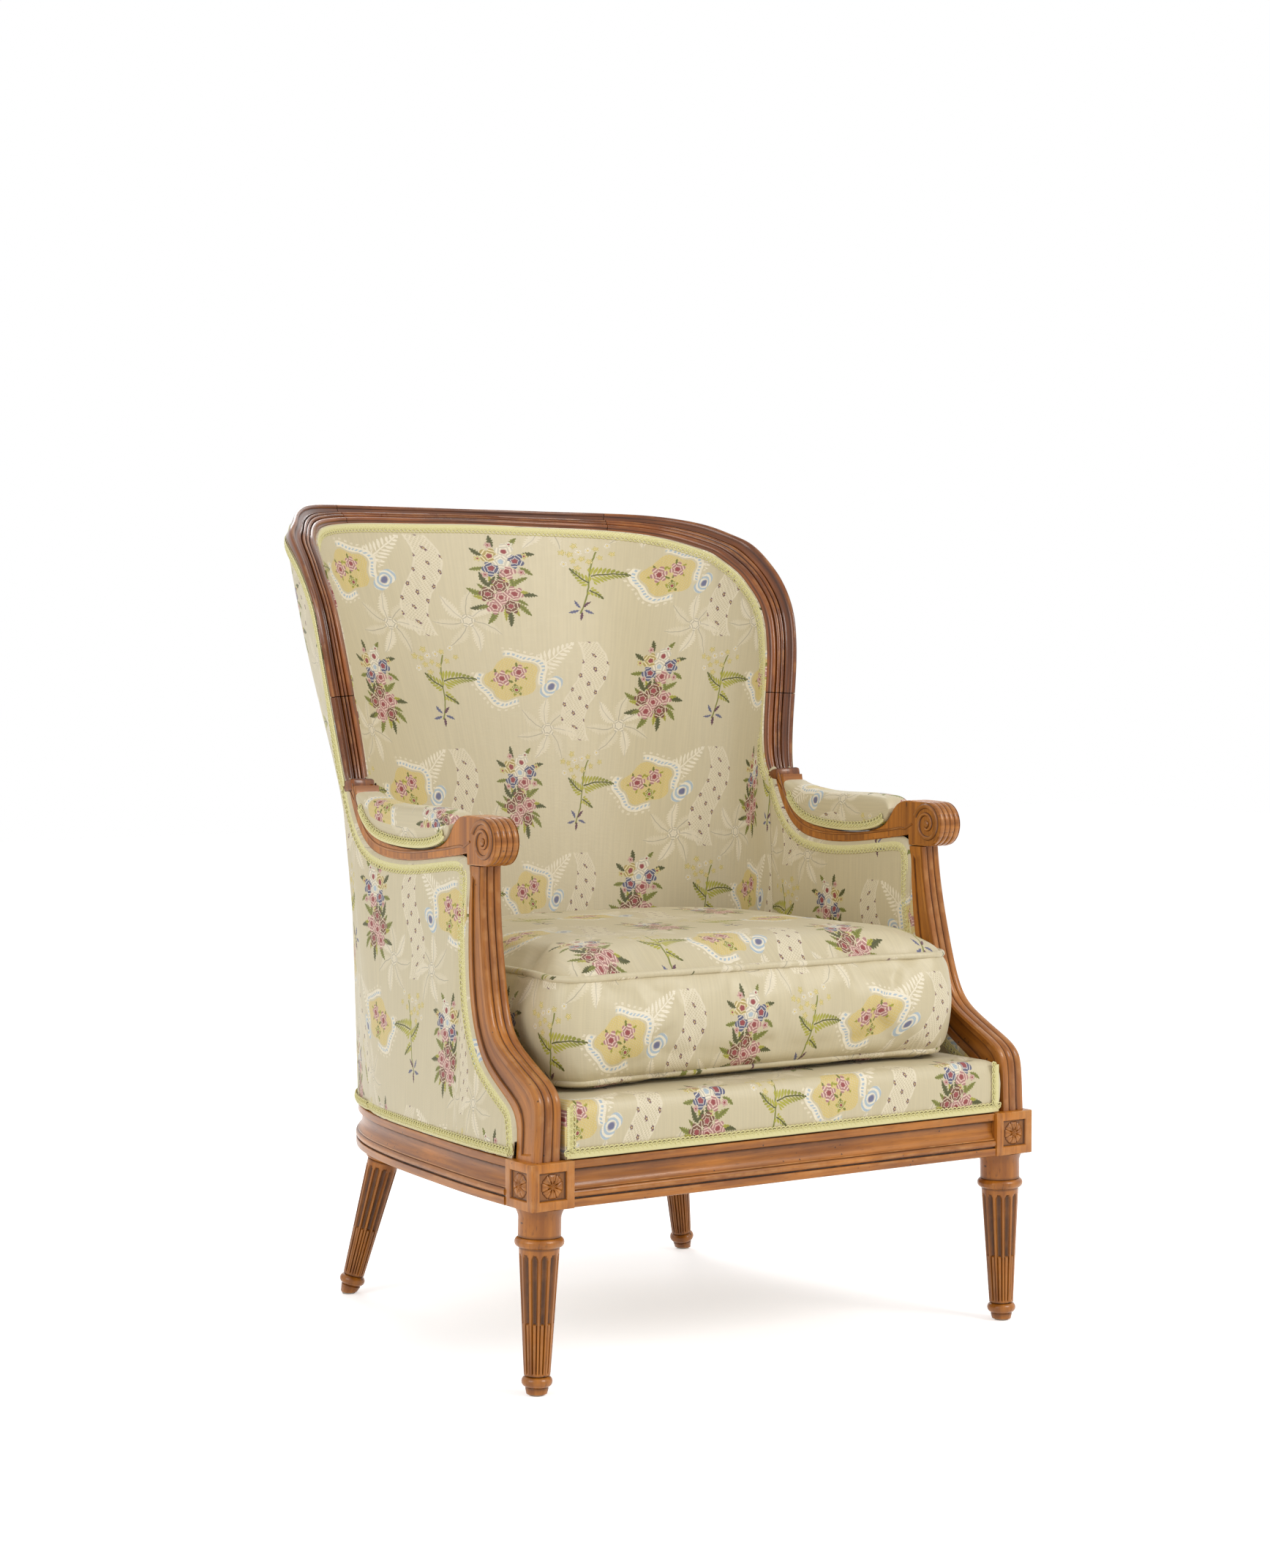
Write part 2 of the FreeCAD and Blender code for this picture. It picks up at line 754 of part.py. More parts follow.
def frame_point(parameter, from_inner, across, deep):
    """Point of the frame's section: across its face and into its depth."""
    outer = OUTER_EDGE.value(parameter)
    inner = INNER_EDGE.value(parameter)
    way = DEPTH_WAY.value(parameter).normalize()
    over = (outer - inner).normalize()
    if from_inner:
        return inner + over * across + way * deep
    return outer - over * across + way * deep


def row_of(parameter):
    """Row of the right side that a station belongs to."""
    return parameter if parameter <= MIDDLE else 2 * MIDDLE - parameter


def outer_side(parameter):
    """Depth of the bare wood behind the outer edge at one station."""
    return between(list(enumerate(OUTER_SIDE)), row_of(parameter))


def frame_section(parameter):
    """Moulded face in front, narrower core behind."""
    step = size("core_step")
    deep = size("frame_depth")
    inner_side = size("inner_side")
    side = outer_side(parameter)
    return [
        frame_point(parameter, False, 0, 0),
        frame_point(parameter, False, 0, side),
        frame_point(parameter, False, step, side),
        frame_point(parameter, False, 3 * step, max(side, deep - 4.0)),
        frame_point(parameter, True, step, deep),
        frame_point(parameter, True, step, inner_side),
        frame_point(parameter, True, 0, inner_side),
        frame_point(parameter, True, 0, 0),
    ]


def frame_run(label, start, end, count):
    """Solid of the back frame between two parameters."""
    steps = [start + (end - start) * i / count for i in range(count + 1)]
    piece(loft([frame_section(step) for step in steps]), label)


# Shell: covers, stuffing and hidden wood between an inner and an outer skin

# Plans of both skins where they stand on the rails and at their bends, with
# how far the outer skin bellies out, one row for each row of the frame
SKIN_LOW = [
    ((288.0, 400.0), (313.0, 388.0)),
    ((283.5, 420.0), (308.5, 409.0)),
    ((277.0, 439.0), (302.5, 432.0)),
    ((268.0, 457.0), (295.5, 454.0)),
    ((257.0, 474.0), (286.5, 475.0)),
    ((243.0, 489.0), (275.5, 494.0)),
    ((227.0, 501.0), (262.0, 512.0)),
    ((208.0, 511.0), (245.0, 530.0)),
    ((185.0, 519.0), (222.0, 548.0)),
    ((157.0, 526.0), (190.0, 566.0)),
    ((122.0, 531.0), (147.0, 582.0)),
    ((82.0, 535.0), (98.0, 592.0)),
    ((41.0, 537.0), (49.0, 597.0)),
    ((0.0, 538.0), (0.0, 598.0)),
]
SKIN_BEND = [
    ((293.2, 414.5), (327.0, 416.0)),
    ((288.5, 433.0), (322.0, 434.0)),
    ((283.0, 451.0), (309.0, 450.0)),
    ((275.0, 469.0), (300.0, 467.5)),
    ((265.0, 486.0), (290.0, 485.0)),
    ((252.0, 502.0), (279.5, 503.0)),
    ((237.0, 516.0), (266.0, 522.0)),
    ((219.0, 529.0), (250.0, 540.0)),
    ((197.0, 541.0), (229.0, 558.0)),
    ((169.0, 552.0), (198.0, 578.0)),
    ((133.0, 562.0), (151.0, 598.0)),
    ((90.0, 569.0), (100.0, 611.0)),
    ((45.0, 573.5), (50.0, 618.0)),
    ((0.0, 575.0), (0.0, 620.0)),
]
# How far the padded inside and the stretched outside swell between bend and top
INNER_SWELL = [1.0, 4.0, 5.0, 5.0, 5.0, 5.0, 5.0, 5.0, 5.0, 5.0, 5.0, 5.0, 5.0, 5.0]
OUTER_SWELL = [0.0, 1.0, 3.0, 6.0, 7.0, 8.0, 8.0, 8.0, 7.0, 6.0, 5.0, 4.0, 3.0, 3.0]
# Share of the full stuffing that fits beside the wood, station by station
STUFFING_SHARE = [0.12, 0.12, 0.14, 0.18, 0.3, 0.5, 0.75, 1.0, 1.0, 1.0, 1.0, 1.0, 1.0, 1.0]
INNER_FOOT = 260.0
OUTER_FOOT = 254.0
INNER_BEND = 480.0
OUTER_BEND = 580.0
SWELL_SHARE = 0.6


def plan_spline(rows, index, height):
    """Smooth plan curve of one skin at one height."""
    return spline(depth_shifted(both_sides([(*row[index], height) for row in rows])))


SKIN_CURVES = {
    "inner": (plan_spline(SKIN_LOW, 0, INNER_FOOT), plan_spline(SKIN_BEND, 0, INNER_BEND)),
    "outer": (plan_spline(SKIN_LOW, 1, OUTER_FOOT), plan_spline(SKIN_BEND, 1, OUTER_BEND)),
}


def skin_line(parameter, skin):
    """Foot, bend, swell and top of one skin at one station."""
    inside = skin == "inner"
    low, bend = (curve.value(parameter) for curve in SKIN_CURVES[skin])
    deep = size("inner_side") + 0.5 if inside else outer_side(parameter) + 0.5
    top = frame_point(parameter, inside, 0, deep)
    middle = bend + (top - bend) * SWELL_SHARE
    across = frame_point(parameter, True, 0, 0) - frame_point(parameter, False, 0, 0)
    if inside:
        middle = middle + across.normalize() * between(list(enumerate(INNER_SWELL)), row_of(parameter))
    else:
        out = Vector(middle.x, middle.y + size("centre_depth") - 430.0, 0).normalize()
        middle = middle + out * between(list(enumerate(OUTER_SWELL)), row_of(parameter))
    return [low, bend, middle, top]


def inset_line(parameter, skin, inset, top=None):
    """Line of one skin moved into the thickness, with a top of its own."""
    own = skin_line(parameter, skin)
    other = skin_line(parameter, "outer" if skin == "inner" else "inner")
    insets = [inset] * 4
    cover = size("cover_thickness")
    if skin == "inner" and inset > cover:
        share = between(list(enumerate(STUFFING_SHARE)), row_of(parameter))
        insets[2] = cover + (inset - cover) * share
    line_in = [a + (b - a).normalize() * deep for a, b, deep in zip(own, other, insets)]
    if top is not None:
        line_in[3] = top
    return line_in


def layer_section(parameter, skin, near, far, near_top, far_top):
    """Closed section of a layer, as far in as its insets and tops say."""

    def top(spot):
        if spot is None:
            return None
        across, deep = spot
        if deep is None:
            deep = outer_side(parameter) + 0.5
        return frame_point(parameter, skin == "inner", across, deep)

    first = inset_line(parameter, skin, near, top(near_top))
    second = inset_line(parameter, skin, far, top(far_top))
    return first + list(reversed(second))


def layer(skin, near, far, start, end, count, near_top=None, far_top=None):
    """Solid layer of the shell between two stations."""
    steps = [start + (end - start) * i / count for i in range(count + 1)]
    return twisted_loft([layer_section(step, skin, near, far, near_top, far_top) for step in steps])


# Stations of the arms' skins: depth and height of the covers' top edge, the
# same for the stuffing, then the plan of the foot inside and outside
ARM_STATIONS = [
    ((20.5, 272.0), (20.5, 270.0), (309.0, 21.0), (343.0, 21.0)),
    ((29.0, 300.5), (29.0, 290.0), (308.8, 29.0), (343.5, 29.0)),
    ((47.0, 314.5), (47.0, 303.0), (308.5, 47.0), (344.0, 47.0)),
    ((77.0, 332.5), (77.0, 321.0), (308.0, 77.0), (344.0, 77.0)),
    ((105.0, 357.5), (107.0, 347.0), (307.0, 105.0), (343.5, 105.0)),
    ((127.5, 403.0), (129.0, 393.0), (306.0, 128.0), (342.8, 128.0)),
    ((138.0, 455.0), (139.0, 445.0), (305.5, 140.0), (342.2, 140.0)),
    ((142.5, 508.0), (143.0, 498.0), (305.2, 147.0), (341.8, 147.0)),
    ((145.0, 558.5), (147.0, 554.0), (305.0, 155.0), (341.4, 155.0)),
    ((186.0, 565.0), (186.0, 555.5), (304.0, 190.0), (339.0, 190.0)),
    ((259.0, 557.0), (259.0, 548.0), (301.5, 259.0), (333.2, 259.0)),
    ((318.0, 556.5), (319.0, 547.0), (298.0, 312.0), (327.6, 312.0)),
    ((362.0, 564.5), (370.0, 554.0), (294.5, 350.0), (322.4, 348.0)),
    ((393.0, 586.5), (402.0, 570.0), (292.0, 370.0), (318.8, 364.0)),
    ((412.5, 617.5), (432.0, 603.0), (290.0, 385.0), (316.0, 376.0)),
    ((420.0, 640.0), (440.0, 640.0), (288.8, 395.0), (314.1, 382.5)),
]


def arm_layer(label, side, skin, near, far, stuffing=False):
    """Layer of an arm's upholstery, from its support to the back."""
    sections = []
    sign = 1 if skin == "inner" else -1
    stations = ARM_STATIONS[:-2] if stuffing else ARM_STATIONS
    for covers_top, stuffing_top, foot_in, foot_out in stations:
        depth, height = stuffing_top if stuffing else covers_top
        foot = foot_in if skin == "inner" else foot_out
        if depth < 145.5:
            table = POST_INNER if skin == "inner" else POST_OUTER
            top_x = between(table, height)
        else:
            top_x = size("arm_inner") if skin == "inner" else size("arm_outer")
        low_z = INNER_FOOT if skin == "inner" else OUTER_FOOT
        corners = [
            at(foot[0] + sign * near, foot[1], low_z),
            at(top_x + sign * near, depth, height),
            at(top_x + sign * far, depth, height),
            at(foot[0] + sign * far, foot[1], low_z),
        ]
        sections.append(sided(corners, side))
    piece(loft(sections), label)


def shell():
    """Covers, stuffing, hessian and the hidden wood of the back."""
    cover = size("cover_thickness")
    gap = 0.3
    stuffed = cover + gap + size("stuffing_thickness")
    backed = stuffed + gap + size("hessian_thickness")
    behind = size("frame_depth") + 0.5
    last = 2.0 * MIDDLE
    corner = 5.0
    piece(layer("inner", 0, cover, 0.0, last, 52), "inside_back_cover")
    edge = (cover + gap, size("inner_side") + 0.8)
    heel = (cover + gap, behind)
    piece(layer("inner", cover + gap, stuffed, 0.0, last, 52, edge, heel), "inside_back_stuffing")
    first = (7.0, behind + 0.3)
    second = (7.0 + size("hessian_thickness"), behind + 0.3)
    piece(layer("inner", stuffed + gap, backed, 0.0, last, 52, first, second), "inside_back_hessian")
    rim = (0.0, None), (cover, None)
    piece(layer("outer", 0, cover, corner, last - corner, 32, *rim), "outside_back_cover")
    for name, side in SIDES:
        arm_layer(f"inside_arm_cover_{name}", side, "inner", 0, cover)
        arm_layer(f"inside_arm_stuffing_{name}", side, "inner", cover + 1.8, stuffed - 4.0, True)
        arm_layer(f"outside_arm_cover_{name}", side, "outer", 0, cover)
        start, end = (0.0, corner) if side > 0 else (last - corner, last)
        piece(layer("outer", 0, cover, start, end, 10, *rim), f"outside_wing_cover_{name}")
        start = 6.2 if side > 0 else last - 7.4
        piece(upright(start, start + 1.2, backed + 1.5), f"back_upright_{name}")
    piece(lower_back_rail(backed + 2.5), "lower_back_rail")


def upright(start, end, inset):
    """Hidden post from the seat frame to the crest at a back corner."""
    deep = size("frame_depth") + 0.5
    sections = []
    for index in range(7):
        parameter = start + (end - start) * index / 6
        first = inset_line(parameter, "inner", inset, frame_point(parameter, True, 10.0, deep))
        rear = frame_point(parameter, False, 16.0, deep)
        second = inset_line(parameter, "outer", size("cover_thickness") + 6.0, rear)
        sections.append(first + list(reversed(second)))
    return twisted_loft(sections)


def lower_back_rail(inset):
    """Hidden rail that takes the lower edge of the back's stuffing."""
    sections = []
    start, end, count = 7.6, 2.0 * MIDDLE - 7.6, 24
    for index in range(count + 1):
        parameter = start + (end - start) * index / count
        front = inset_line(parameter, "inner", inset)
        rear = inset_line(parameter, "outer", size("cover_thickness") + 6.0)
        low = front[0] + (front[1] - front[0]) * 0.75
        high = front[0] + (front[1] - front[0]) * 0.97
        far_low = rear[0] + (rear[1] - rear[0]) * (low.z - rear[0].z) / (rear[1].z - rear[0].z)
        far_high = rear[0] + (rear[1] - rear[0]) * (high.z - rear[0].z) / (rear[1].z - rear[0].z)
        width = 19.0
        far_low = low + (far_low - low).normalize() * width
        far_high = high + (far_high - high).normalize() * width
        sections.append([low, high, far_high, far_low])
    return twisted_loft(sections)


# Fixed seat

SEAT_PLAN = [
    (302.6, 40.0),
    (302.6, 110.0),
    (301.2, 190.0),
    (297.5, 290.0),
    (288.5, 372.0),
    (281.0, 418.0),
    (265.0, 454.0),
    (249.0, 476.0),
    (229.0, 493.0),
    (203.0, 506.0),
    (169.0, 516.5),
    (120.0, 526.5),
    (60.0, 532.0),
]
SEAT_FRONT = -20.0


def seat_prism(label, inset, low, high):
    """Block on the plan of the fixed seat, drawn in by an inset."""
    right = [(303.0 - inset, SEAT_FRONT + inset)]
    for x, depth in SEAT_PLAN:
        shrink = 1 - inset / 260.0
        right.append((round(x * shrink, 3), round(250.0 + (depth - 250.0) * shrink, 3)))
    corners = [(x, f"{depth} - Sizes.centre_depth") for x, depth in right]
    corners += [(-x, f"{depth} - Sizes.centre_depth") for x, depth in reversed(right)]
    return drawn_body(label, "XY_Plane", corners, f"{high} - ({low})", low)


def seat():
    """Webbing, hessian, stuffing and cover of the fixed seat."""
    thick = size("webbing_thickness")
    width = size("webbing_width")
    top = size("rail_top")
    webs = []
    for index, reach in enumerate((505, 572, 590, 590, 572, 505)):
        corner = at((index - 2.5) * 92.0 - width / 2, -8.0, top)
        webs.append(
            primitive(
                "Box",
                f"web_long_{index}",
                FreeCAD.Placement(corner, FreeCAD.Rotation()),
                Length="Sizes.webbing_width",
                Width=reach,
                Height="Sizes.webbing_thickness",
            )
        )
    for index, reach in enumerate((648, 644, 632, 610, 568, 470)):
        corner = at(-reach / 2, 62.0 + index * 86.0 - width / 2, top + thick)
        webs.append(
            primitive(
                "Box",
                f"web_cross_{index}",
                FreeCAD.Placement(corner, FreeCAD.Rotation()),
                Length=reach,
                Width="Sizes.webbing_width",
                Height="Sizes.webbing_thickness",
            )
        )
    piece(compound("seat_webbing", webs), "seat_webbing")
    low = "Sizes.rail_top + 2 * Sizes.webbing_thickness + 0.2"
    deck = "(Sizes.deck_top - Sizes.cover_thickness)"
    cover = size("cover_thickness")
    piece(seat_prism("seat_hessian", cover + 0.5, low, f"{low} + 1"), "seat_hessian")
    piece(seat_prism("seat_stuffing", cover, f"{low} + 1", deck), "seat_stuffing")
    outer = seat_prism("seat_cover_outside", 0.0, "Sizes.block_top + 2", "Sizes.deck_top")
    inner = seat_prism("seat_cover_inside", cover, "Sizes.block_top - 3", deck)
    piece(boolean("Cut", "seat_cover", outer, inner), "seat_cover")


# Loose cushion

# Right half of the seam's outline: arcs given by start, middle and end
CUSHION_ARCS = [
    ((0.0, 17.0), (122.0, 16.0), (244.0, 14.0)),
    ((244.0, 14.0), (272.0, 26.0), (284.0, 54.0)),
    ((284.0, 54.0), (281.5, 190.0), (283.0, 335.0)),
    ((283.0, 335.0), (278.5, 395.0), (261.0, 441.0)),
    ((261.0, 441.0), (235.0, 477.0), (195.0, 501.0)),
    ((195.0, 501.0), (105.0, 526.0), (0.0, 532.0)),
]
CUSHION_MIDDLE = 275.0
CUSHION_REACH = 260.0
# Height and inset of each level, from the underside over the sides to the crown
CUSHION_LEVELS = [
    (317.0, 200.0),
    (317.3, 120.0),
    (318.2, 60.0),
    (320.0, 26.0),
    (322.8, 9.0),
    (326.0, 3.0),
    (333.0, 0.4),
    (347.0, -1.8),
    (365.0, -2.8),
    (383.0, -3.0),
    (401.0, -2.8),
    (419.0, -1.8),
    (433.0, 0.4),
    (440.0, 3.0),
    (443.5, 9.0),
    (447.8, 20.0),
    (452.6, 36.0),
    (457.6, 58.0),
    (462.2, 86.0),
    (466.0, 120.0),
    (468.6, 160.0),
    (469.8, 205.0),
    (470.2, 245.0),
]


def cushion_wire(inset, height):
    """Outline of the cushion at one level."""
    shrink = 1 - inset / CUSHION_REACH

    def spot(point, side):
        return at(side * point[0] * shrink, CUSHION_MIDDLE + (point[1] - CUSHION_MIDDLE) * shrink, height)

    right = [arc(*(spot(point, 1) for point in row)) for row in CUSHION_ARCS]
    left = [arc(*(spot(point, -1) for point in reversed(row))) for row in reversed(CUSHION_ARCS)]
    return Part.Wire(right + left)


def cushion_body(skin):
    """Crowned body of the cushion, inside its cover by a skin."""
    middle = (CUSHION_LEVELS[0][0] + CUSHION_LEVELS[-1][0]) / 2
    tall = (CUSHION_LEVELS[-1][0] - CUSHION_LEVELS[0][0]) / 2
    wires = []
    for height, inset in CUSHION_LEVELS:
        level = middle + (height - middle) * (1 - skin / tall)
        wires.append(cushion_wire(inset + skin, level))
    return Part.makeLoft(wires, True, True)


def piping(height, inset, count):
    """Cord sewn round the cushion, its ends butted at the back."""
    radius = size("piping_radius")
    path = cushion_wire(inset, height).discretize(Number=count + 1)
    start = max(range(count), key=lambda i: path[i].y)
    path = path[start:count] + path[:start]
    sections = []
    for index, spot in enumerate(path):
        ahead = path[(index + 1) % count] - path[index - 1]
        out = Vector(ahead.y, -ahead.x, 0).normalize()
        ring = []
        for corner in range(8):
            turn = math.radians(45.0 * corner)
            ring.append(spot + out * (radius * math.cos(turn)) + Vector(0, 0, radius * math.sin(turn)))
        sections.append(ring)
    return loft(sections)


def cushion():
    """Filling, cover and the two pipings of the loose cushion."""
    filling = cushion_body(size("cover_thickness"))
    piece(filling, "cushion_filling")
    piece(cushion_body(0.0).cut(filling), "cushion_cover")
    piece(piping(size("cushion_seam_low"), -1.8, 96), "cushion_piping_lower")
    piece(piping(size("cushion_seam_high"), -1.8, 96), "cushion_piping_upper")


# Arm pads

# Depth, height of the wood under the pad and height of the pad's crown
PAD_STATIONS = [
    (178.0, 600.0, 606.0),
    (186.0, 590.0, 618.0),
    (205.0, 580.0, 621.5),
    (246.0, 574.0, 622.5),
    (300.0, 574.5, 622.0),
    (344.0, 580.5, 625.0),
    (372.0, 593.5, 629.0),
    (388.0, 611.0, 632.5),
    (394.0, 622.0, 633.0),
]


def arm_pad(label, side):
    """Stuffed pad in the hollow of the arm."""
    inner, outer = size("arm_inner"), size("arm_outer")
    middle = (inner + outer) / 2
    half = (outer - inner) / 2
    sections = []
    for depth, low, high in PAD_STATIONS:
        tall = high - low
        swell = min(3.0, tall * 0.1)
        shape = [(-half, 0.0), (-half - swell, 0.3), (-half - swell, 0.62), (-half * 0.72, 0.9), (0.0, 1.0)]
        right = [(-x, share) for x, share in reversed(shape[:-1])]
        corners = [at(middle + x, depth, low + 0.6 + tall * share) for x, share in shape + right]
        sections.append(sided(corners, side))
    piece(loft(sections), label)


# Braid


def ribbon(label, runs):
    """Flat braid along runs of stations, each with its two long edges."""
    shapes = [loft(sections) for sections in runs]
    shape = shapes[0] if len(shapes) == 1 else Part.makeCompound(shapes)
    piece(shape, label)


def ribbon_section(edge, across, out, near=0.3, far=0.3):
    """Section of the braid from its edge on the wood."""
    width, thick = size("gimp_width"), size("gimp_thickness")
    across = Vector(across).normalize()
    out = Vector(out).normalize()
    first = edge + out * near
    second = edge + across * width + out * far
    return [first, second, second + out * thick, first + out * thick]


def edge_frame(parameter, skin):
    """Top of a skin, the way into its surface and the way off it."""
    step = 0.02
    low, high = max(parameter - step, 0.0), min(parameter + step, 2.0 * MIDDLE)
    spot = skin_line(parameter, skin)[3]
    edge = (skin_line(high, skin)[3] - skin_line(low, skin)[3]).normalize()
    reach = 0.5 if row_of(parameter) < 5 else 0.1
    beside = skin_line(parameter + (reach if parameter < MIDDLE else -reach), skin)
    share = (beside[3].z - spot.z + 8.0) / (beside[3].z - beside[2].z)
    down = beside[3] + (beside[2] - beside[3]) * share - spot
    into = (down - edge * down.dot(edge)).normalize()
    out = edge.cross(into).normalize()
    other = skin_line(parameter, "outer" if skin == "inner" else "inner")[3]
    if out.dot(spot - other) < 0:
        out = out * -1
    return spot, into, out


def frame_ribbon(skin, count):
    """Braid round the back frame, inside or outside."""
    sections = []
    for index in range(count + 1):
        spot, into, out = edge_frame(2.0 * MIDDLE * index / count, skin)
        far = 2.2 if skin == "inner" else 1.2
        sections.append(ribbon_section(spot, into, out, 0.6, far))
    return sections


def outer_foot():
    """Outer covers where they stand on the rails, left to right."""
    right = [Vector(foot[0], foot[1], 0) for top, stuffing, inner, foot in ARM_STATIONS[1:]]
    right += [Vector(row[1][0], row[1][1], 0) for row in SKIN_LOW[1:]]
    left = mirrored(right[:-1])
    return depth_shifted(left + list(reversed(right)))


def braids():
    """All lengths of braid: frame, rails, arms, pads and seat front."""
    ribbon("gimp_back_inside", [frame_ribbon("inner", 52)])
    ribbon("gimp_back_outside", [frame_ribbon("outer", 52)])
    curve = spline(outer_foot())
    last = curve.LastParameter
    rail = []
    for index in range(57):
        parameter = last * index / 56
        spot = curve.value(parameter)
        along = curve.tangent(parameter)[0]
        out = Vector(-along.y, along.x, 0).normalize()
        edge = spot + Vector(0, 0, size("block_top") + 0.2)
        rail.append(ribbon_section(edge, Vector(0, 0, 1), out, 1.0, 2.0))
    ribbon("gimp_rail", [rail])
    for name, side in SIDES:
        for skin in ("inside", "outside"):
            runs = [arm_ribbon(side, skin)]
            ribbon(f"gimp_arm_{skin}_{name}", runs)
        ribbon(f"gimp_pad_{name}", [pad_ribbon(side, 1), pad_ribbon(side, -1)])
    front = []
    face = SEAT_FRONT
    width = size("gimp_width")
    low = size("block_top") + 0.3
    for x in (-302.4, 302.4):
        front.append(ribbon_section(at(x, face, low), Vector(0, 0, 1), Vector(0, -1, 0)))
    uprights = []
    for side in (-1, 1):
        x = side * 302.6
        rise = [ribbon_section(at(x, face, z), Vector(-side, 0, 0), Vector(0, -1, 0)) for z in (low + width + 0.2, 312.0)]
        uprights.append(rise)
    ribbon("gimp_seat_front", [front] + uprights)


def arm_ribbon(side, skin):
    """Braid up the back of the arm support and along under the arm."""
    inner = skin == "inside"
    sections = []
    picks = ARM_STATIONS[1:]
    for index, station in enumerate(picks):
        depth, height = station[0]
        if index == len(picks) - 1:
            depth, height = 417.5, 632.0
        before = picks[max(index - 1, 0)][0]
        after = picks[min(index + 1, len(picks) - 1)][0]
        run = Vector(0, after[0] - before[0], after[1] - before[1]).normalize()
        across = Vector(0, run.z, -run.y)
        if 143 < depth < 150 and height > 550:
            across = Vector(0, 0.75, -0.75)
        if depth < 145.5:
            x = between(POST_INNER if inner else POST_OUTER, height)
        else:
            x = size("arm_inner") if inner else size("arm_outer")
        out = Vector(-1, 0, 0) if inner else Vector(1, 0, 0)
        sections.append(sided(ribbon_section(at(x, depth, height), across, out, 0.9, 1.4), side))
    return sections


def pad_ribbon(side, face):
    """Braid along one long edge of an arm pad."""
    inner = face < 0
    x = size("arm_inner") - 3.2 if inner else size("arm_outer") + 3.2
    out = Vector(-1, 0, 0) if inner else Vector(1, 0, 0)
    sections = []
    spots = [(depth, low) for depth, low, high in PAD_STATIONS[1:-1]]
    for index, (depth, low) in enumerate(spots):
        before = spots[max(index - 1, 0)]
        after = spots[min(index + 1, len(spots) - 1)]
        run = Vector(0, after[0] - before[0], after[1] - before[1]).normalize()
        across = Vector(0, -run.z, run.y)
        sections.append(sided(ribbon_section(at(x, depth, low + 1.0), across, out), side))
    return sections


# The whole chair

for name, side in SIDES:
    front_leg(f"front_leg_{name}", side)
    back_leg(f"back_leg_{name}", side)
    side_rail(f"side_seat_rail_{name}", side)
    arm_support(f"arm_support_{name}", side)
    arm(f"arm_{name}", side)
    arm_pad(f"arm_pad_{name}", side)
front_rail("front_seat_rail")
piece(rail_run(CORNER_SPLIT, 2 * LAST - CORNER_SPLIT, 14), "back_seat_rail")
corner_braces("corner_braces")
foot_glides("foot_glides")
frame_run("wing_stile_right", 0.0, STILE_SPLIT, 4)
frame_run("shoulder_right", STILE_SPLIT, CREST_SPLIT, 20)
frame_run("crest_rail", CREST_SPLIT, 2 * MIDDLE - CREST_SPLIT, 12)
frame_run("shoulder_left", 2 * MIDDLE - CREST_SPLIT, 2 * MIDDLE - STILE_SPLIT, 20)
frame_run("wing_stile_left", 2 * MIDDLE - STILE_SPLIT, 2.0 * MIDDLE, 4)
shell()
seat()
cushion()
braids()

doc.recompute()

faults = [found.Name for found in doc.Objects if "Invalid" in found.State or "Error" in found.State]
for found in pieces:
    if found.Shape.isNull() or not found.Shape.isValid():
        faults.append(found.Label)
if faults:
    raise RuntimeError("not sound: " + ", ".join(faults))

os.makedirs("parts", exist_ok=True)
for found in pieces:
    found.Shape.exportStep(f"parts/{found.Label}.step")
print(len(pieces), "sub-parts written")
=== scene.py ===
"""Bergere armchair: carved and waxed show frame, brocaded silk covers, looped braid and a loose box cushion."""

from __future__ import annotations

import logging
import math
from dataclasses import dataclass
from enum import Enum
from functools import partialmethod
from typing import Sequence

import bmesh
import bpy
import numpy as np
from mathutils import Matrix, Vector
from mathutils.bvhtree import BVHTree


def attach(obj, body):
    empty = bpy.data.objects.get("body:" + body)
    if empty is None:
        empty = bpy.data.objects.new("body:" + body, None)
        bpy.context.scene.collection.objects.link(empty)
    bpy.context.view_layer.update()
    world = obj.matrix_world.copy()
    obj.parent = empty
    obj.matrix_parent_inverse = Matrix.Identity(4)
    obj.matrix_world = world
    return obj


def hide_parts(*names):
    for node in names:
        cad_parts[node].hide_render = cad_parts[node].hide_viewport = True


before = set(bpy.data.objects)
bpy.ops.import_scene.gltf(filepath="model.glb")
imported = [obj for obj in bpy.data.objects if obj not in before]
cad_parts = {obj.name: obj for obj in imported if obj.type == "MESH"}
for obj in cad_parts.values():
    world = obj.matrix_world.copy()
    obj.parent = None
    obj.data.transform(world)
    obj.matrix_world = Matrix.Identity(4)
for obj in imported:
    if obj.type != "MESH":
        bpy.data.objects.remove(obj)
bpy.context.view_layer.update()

LOG = logging.getLogger("bergere")
CENTRE_DEPTH = 349.0
# The cushion's room: lowest and highest point and middle in metres, half width by depth in millimetres
CUSHION_BOTTOM, CUSHION_CROWN, CUSHION_MIDDLE = 0.3172, 0.474, 0.275
CUSHION_DEPTHS = [0, 50, 75, 100, 335, 420, 470, 540]
CUSHION_HALF_WIDTHS = [300.0, 300.0, 296.0, 291.0, 288.0, 272.0, 246.0, 190.0]
CHAIR = "chair"
CUSHION = "cushion"

Socket = bpy.types.NodeSocket
Sockets = bpy.types.bpy_prop_collection
Row = Sequence[float]


class Side(Enum):
    """The two sides of the chair, as seen from its front."""

    LEFT = -1
    RIGHT = 1

    @property
    def word(self) -> str:
        """Ending of the names on this side."""
        return self.name.lower()


# Curves and tables


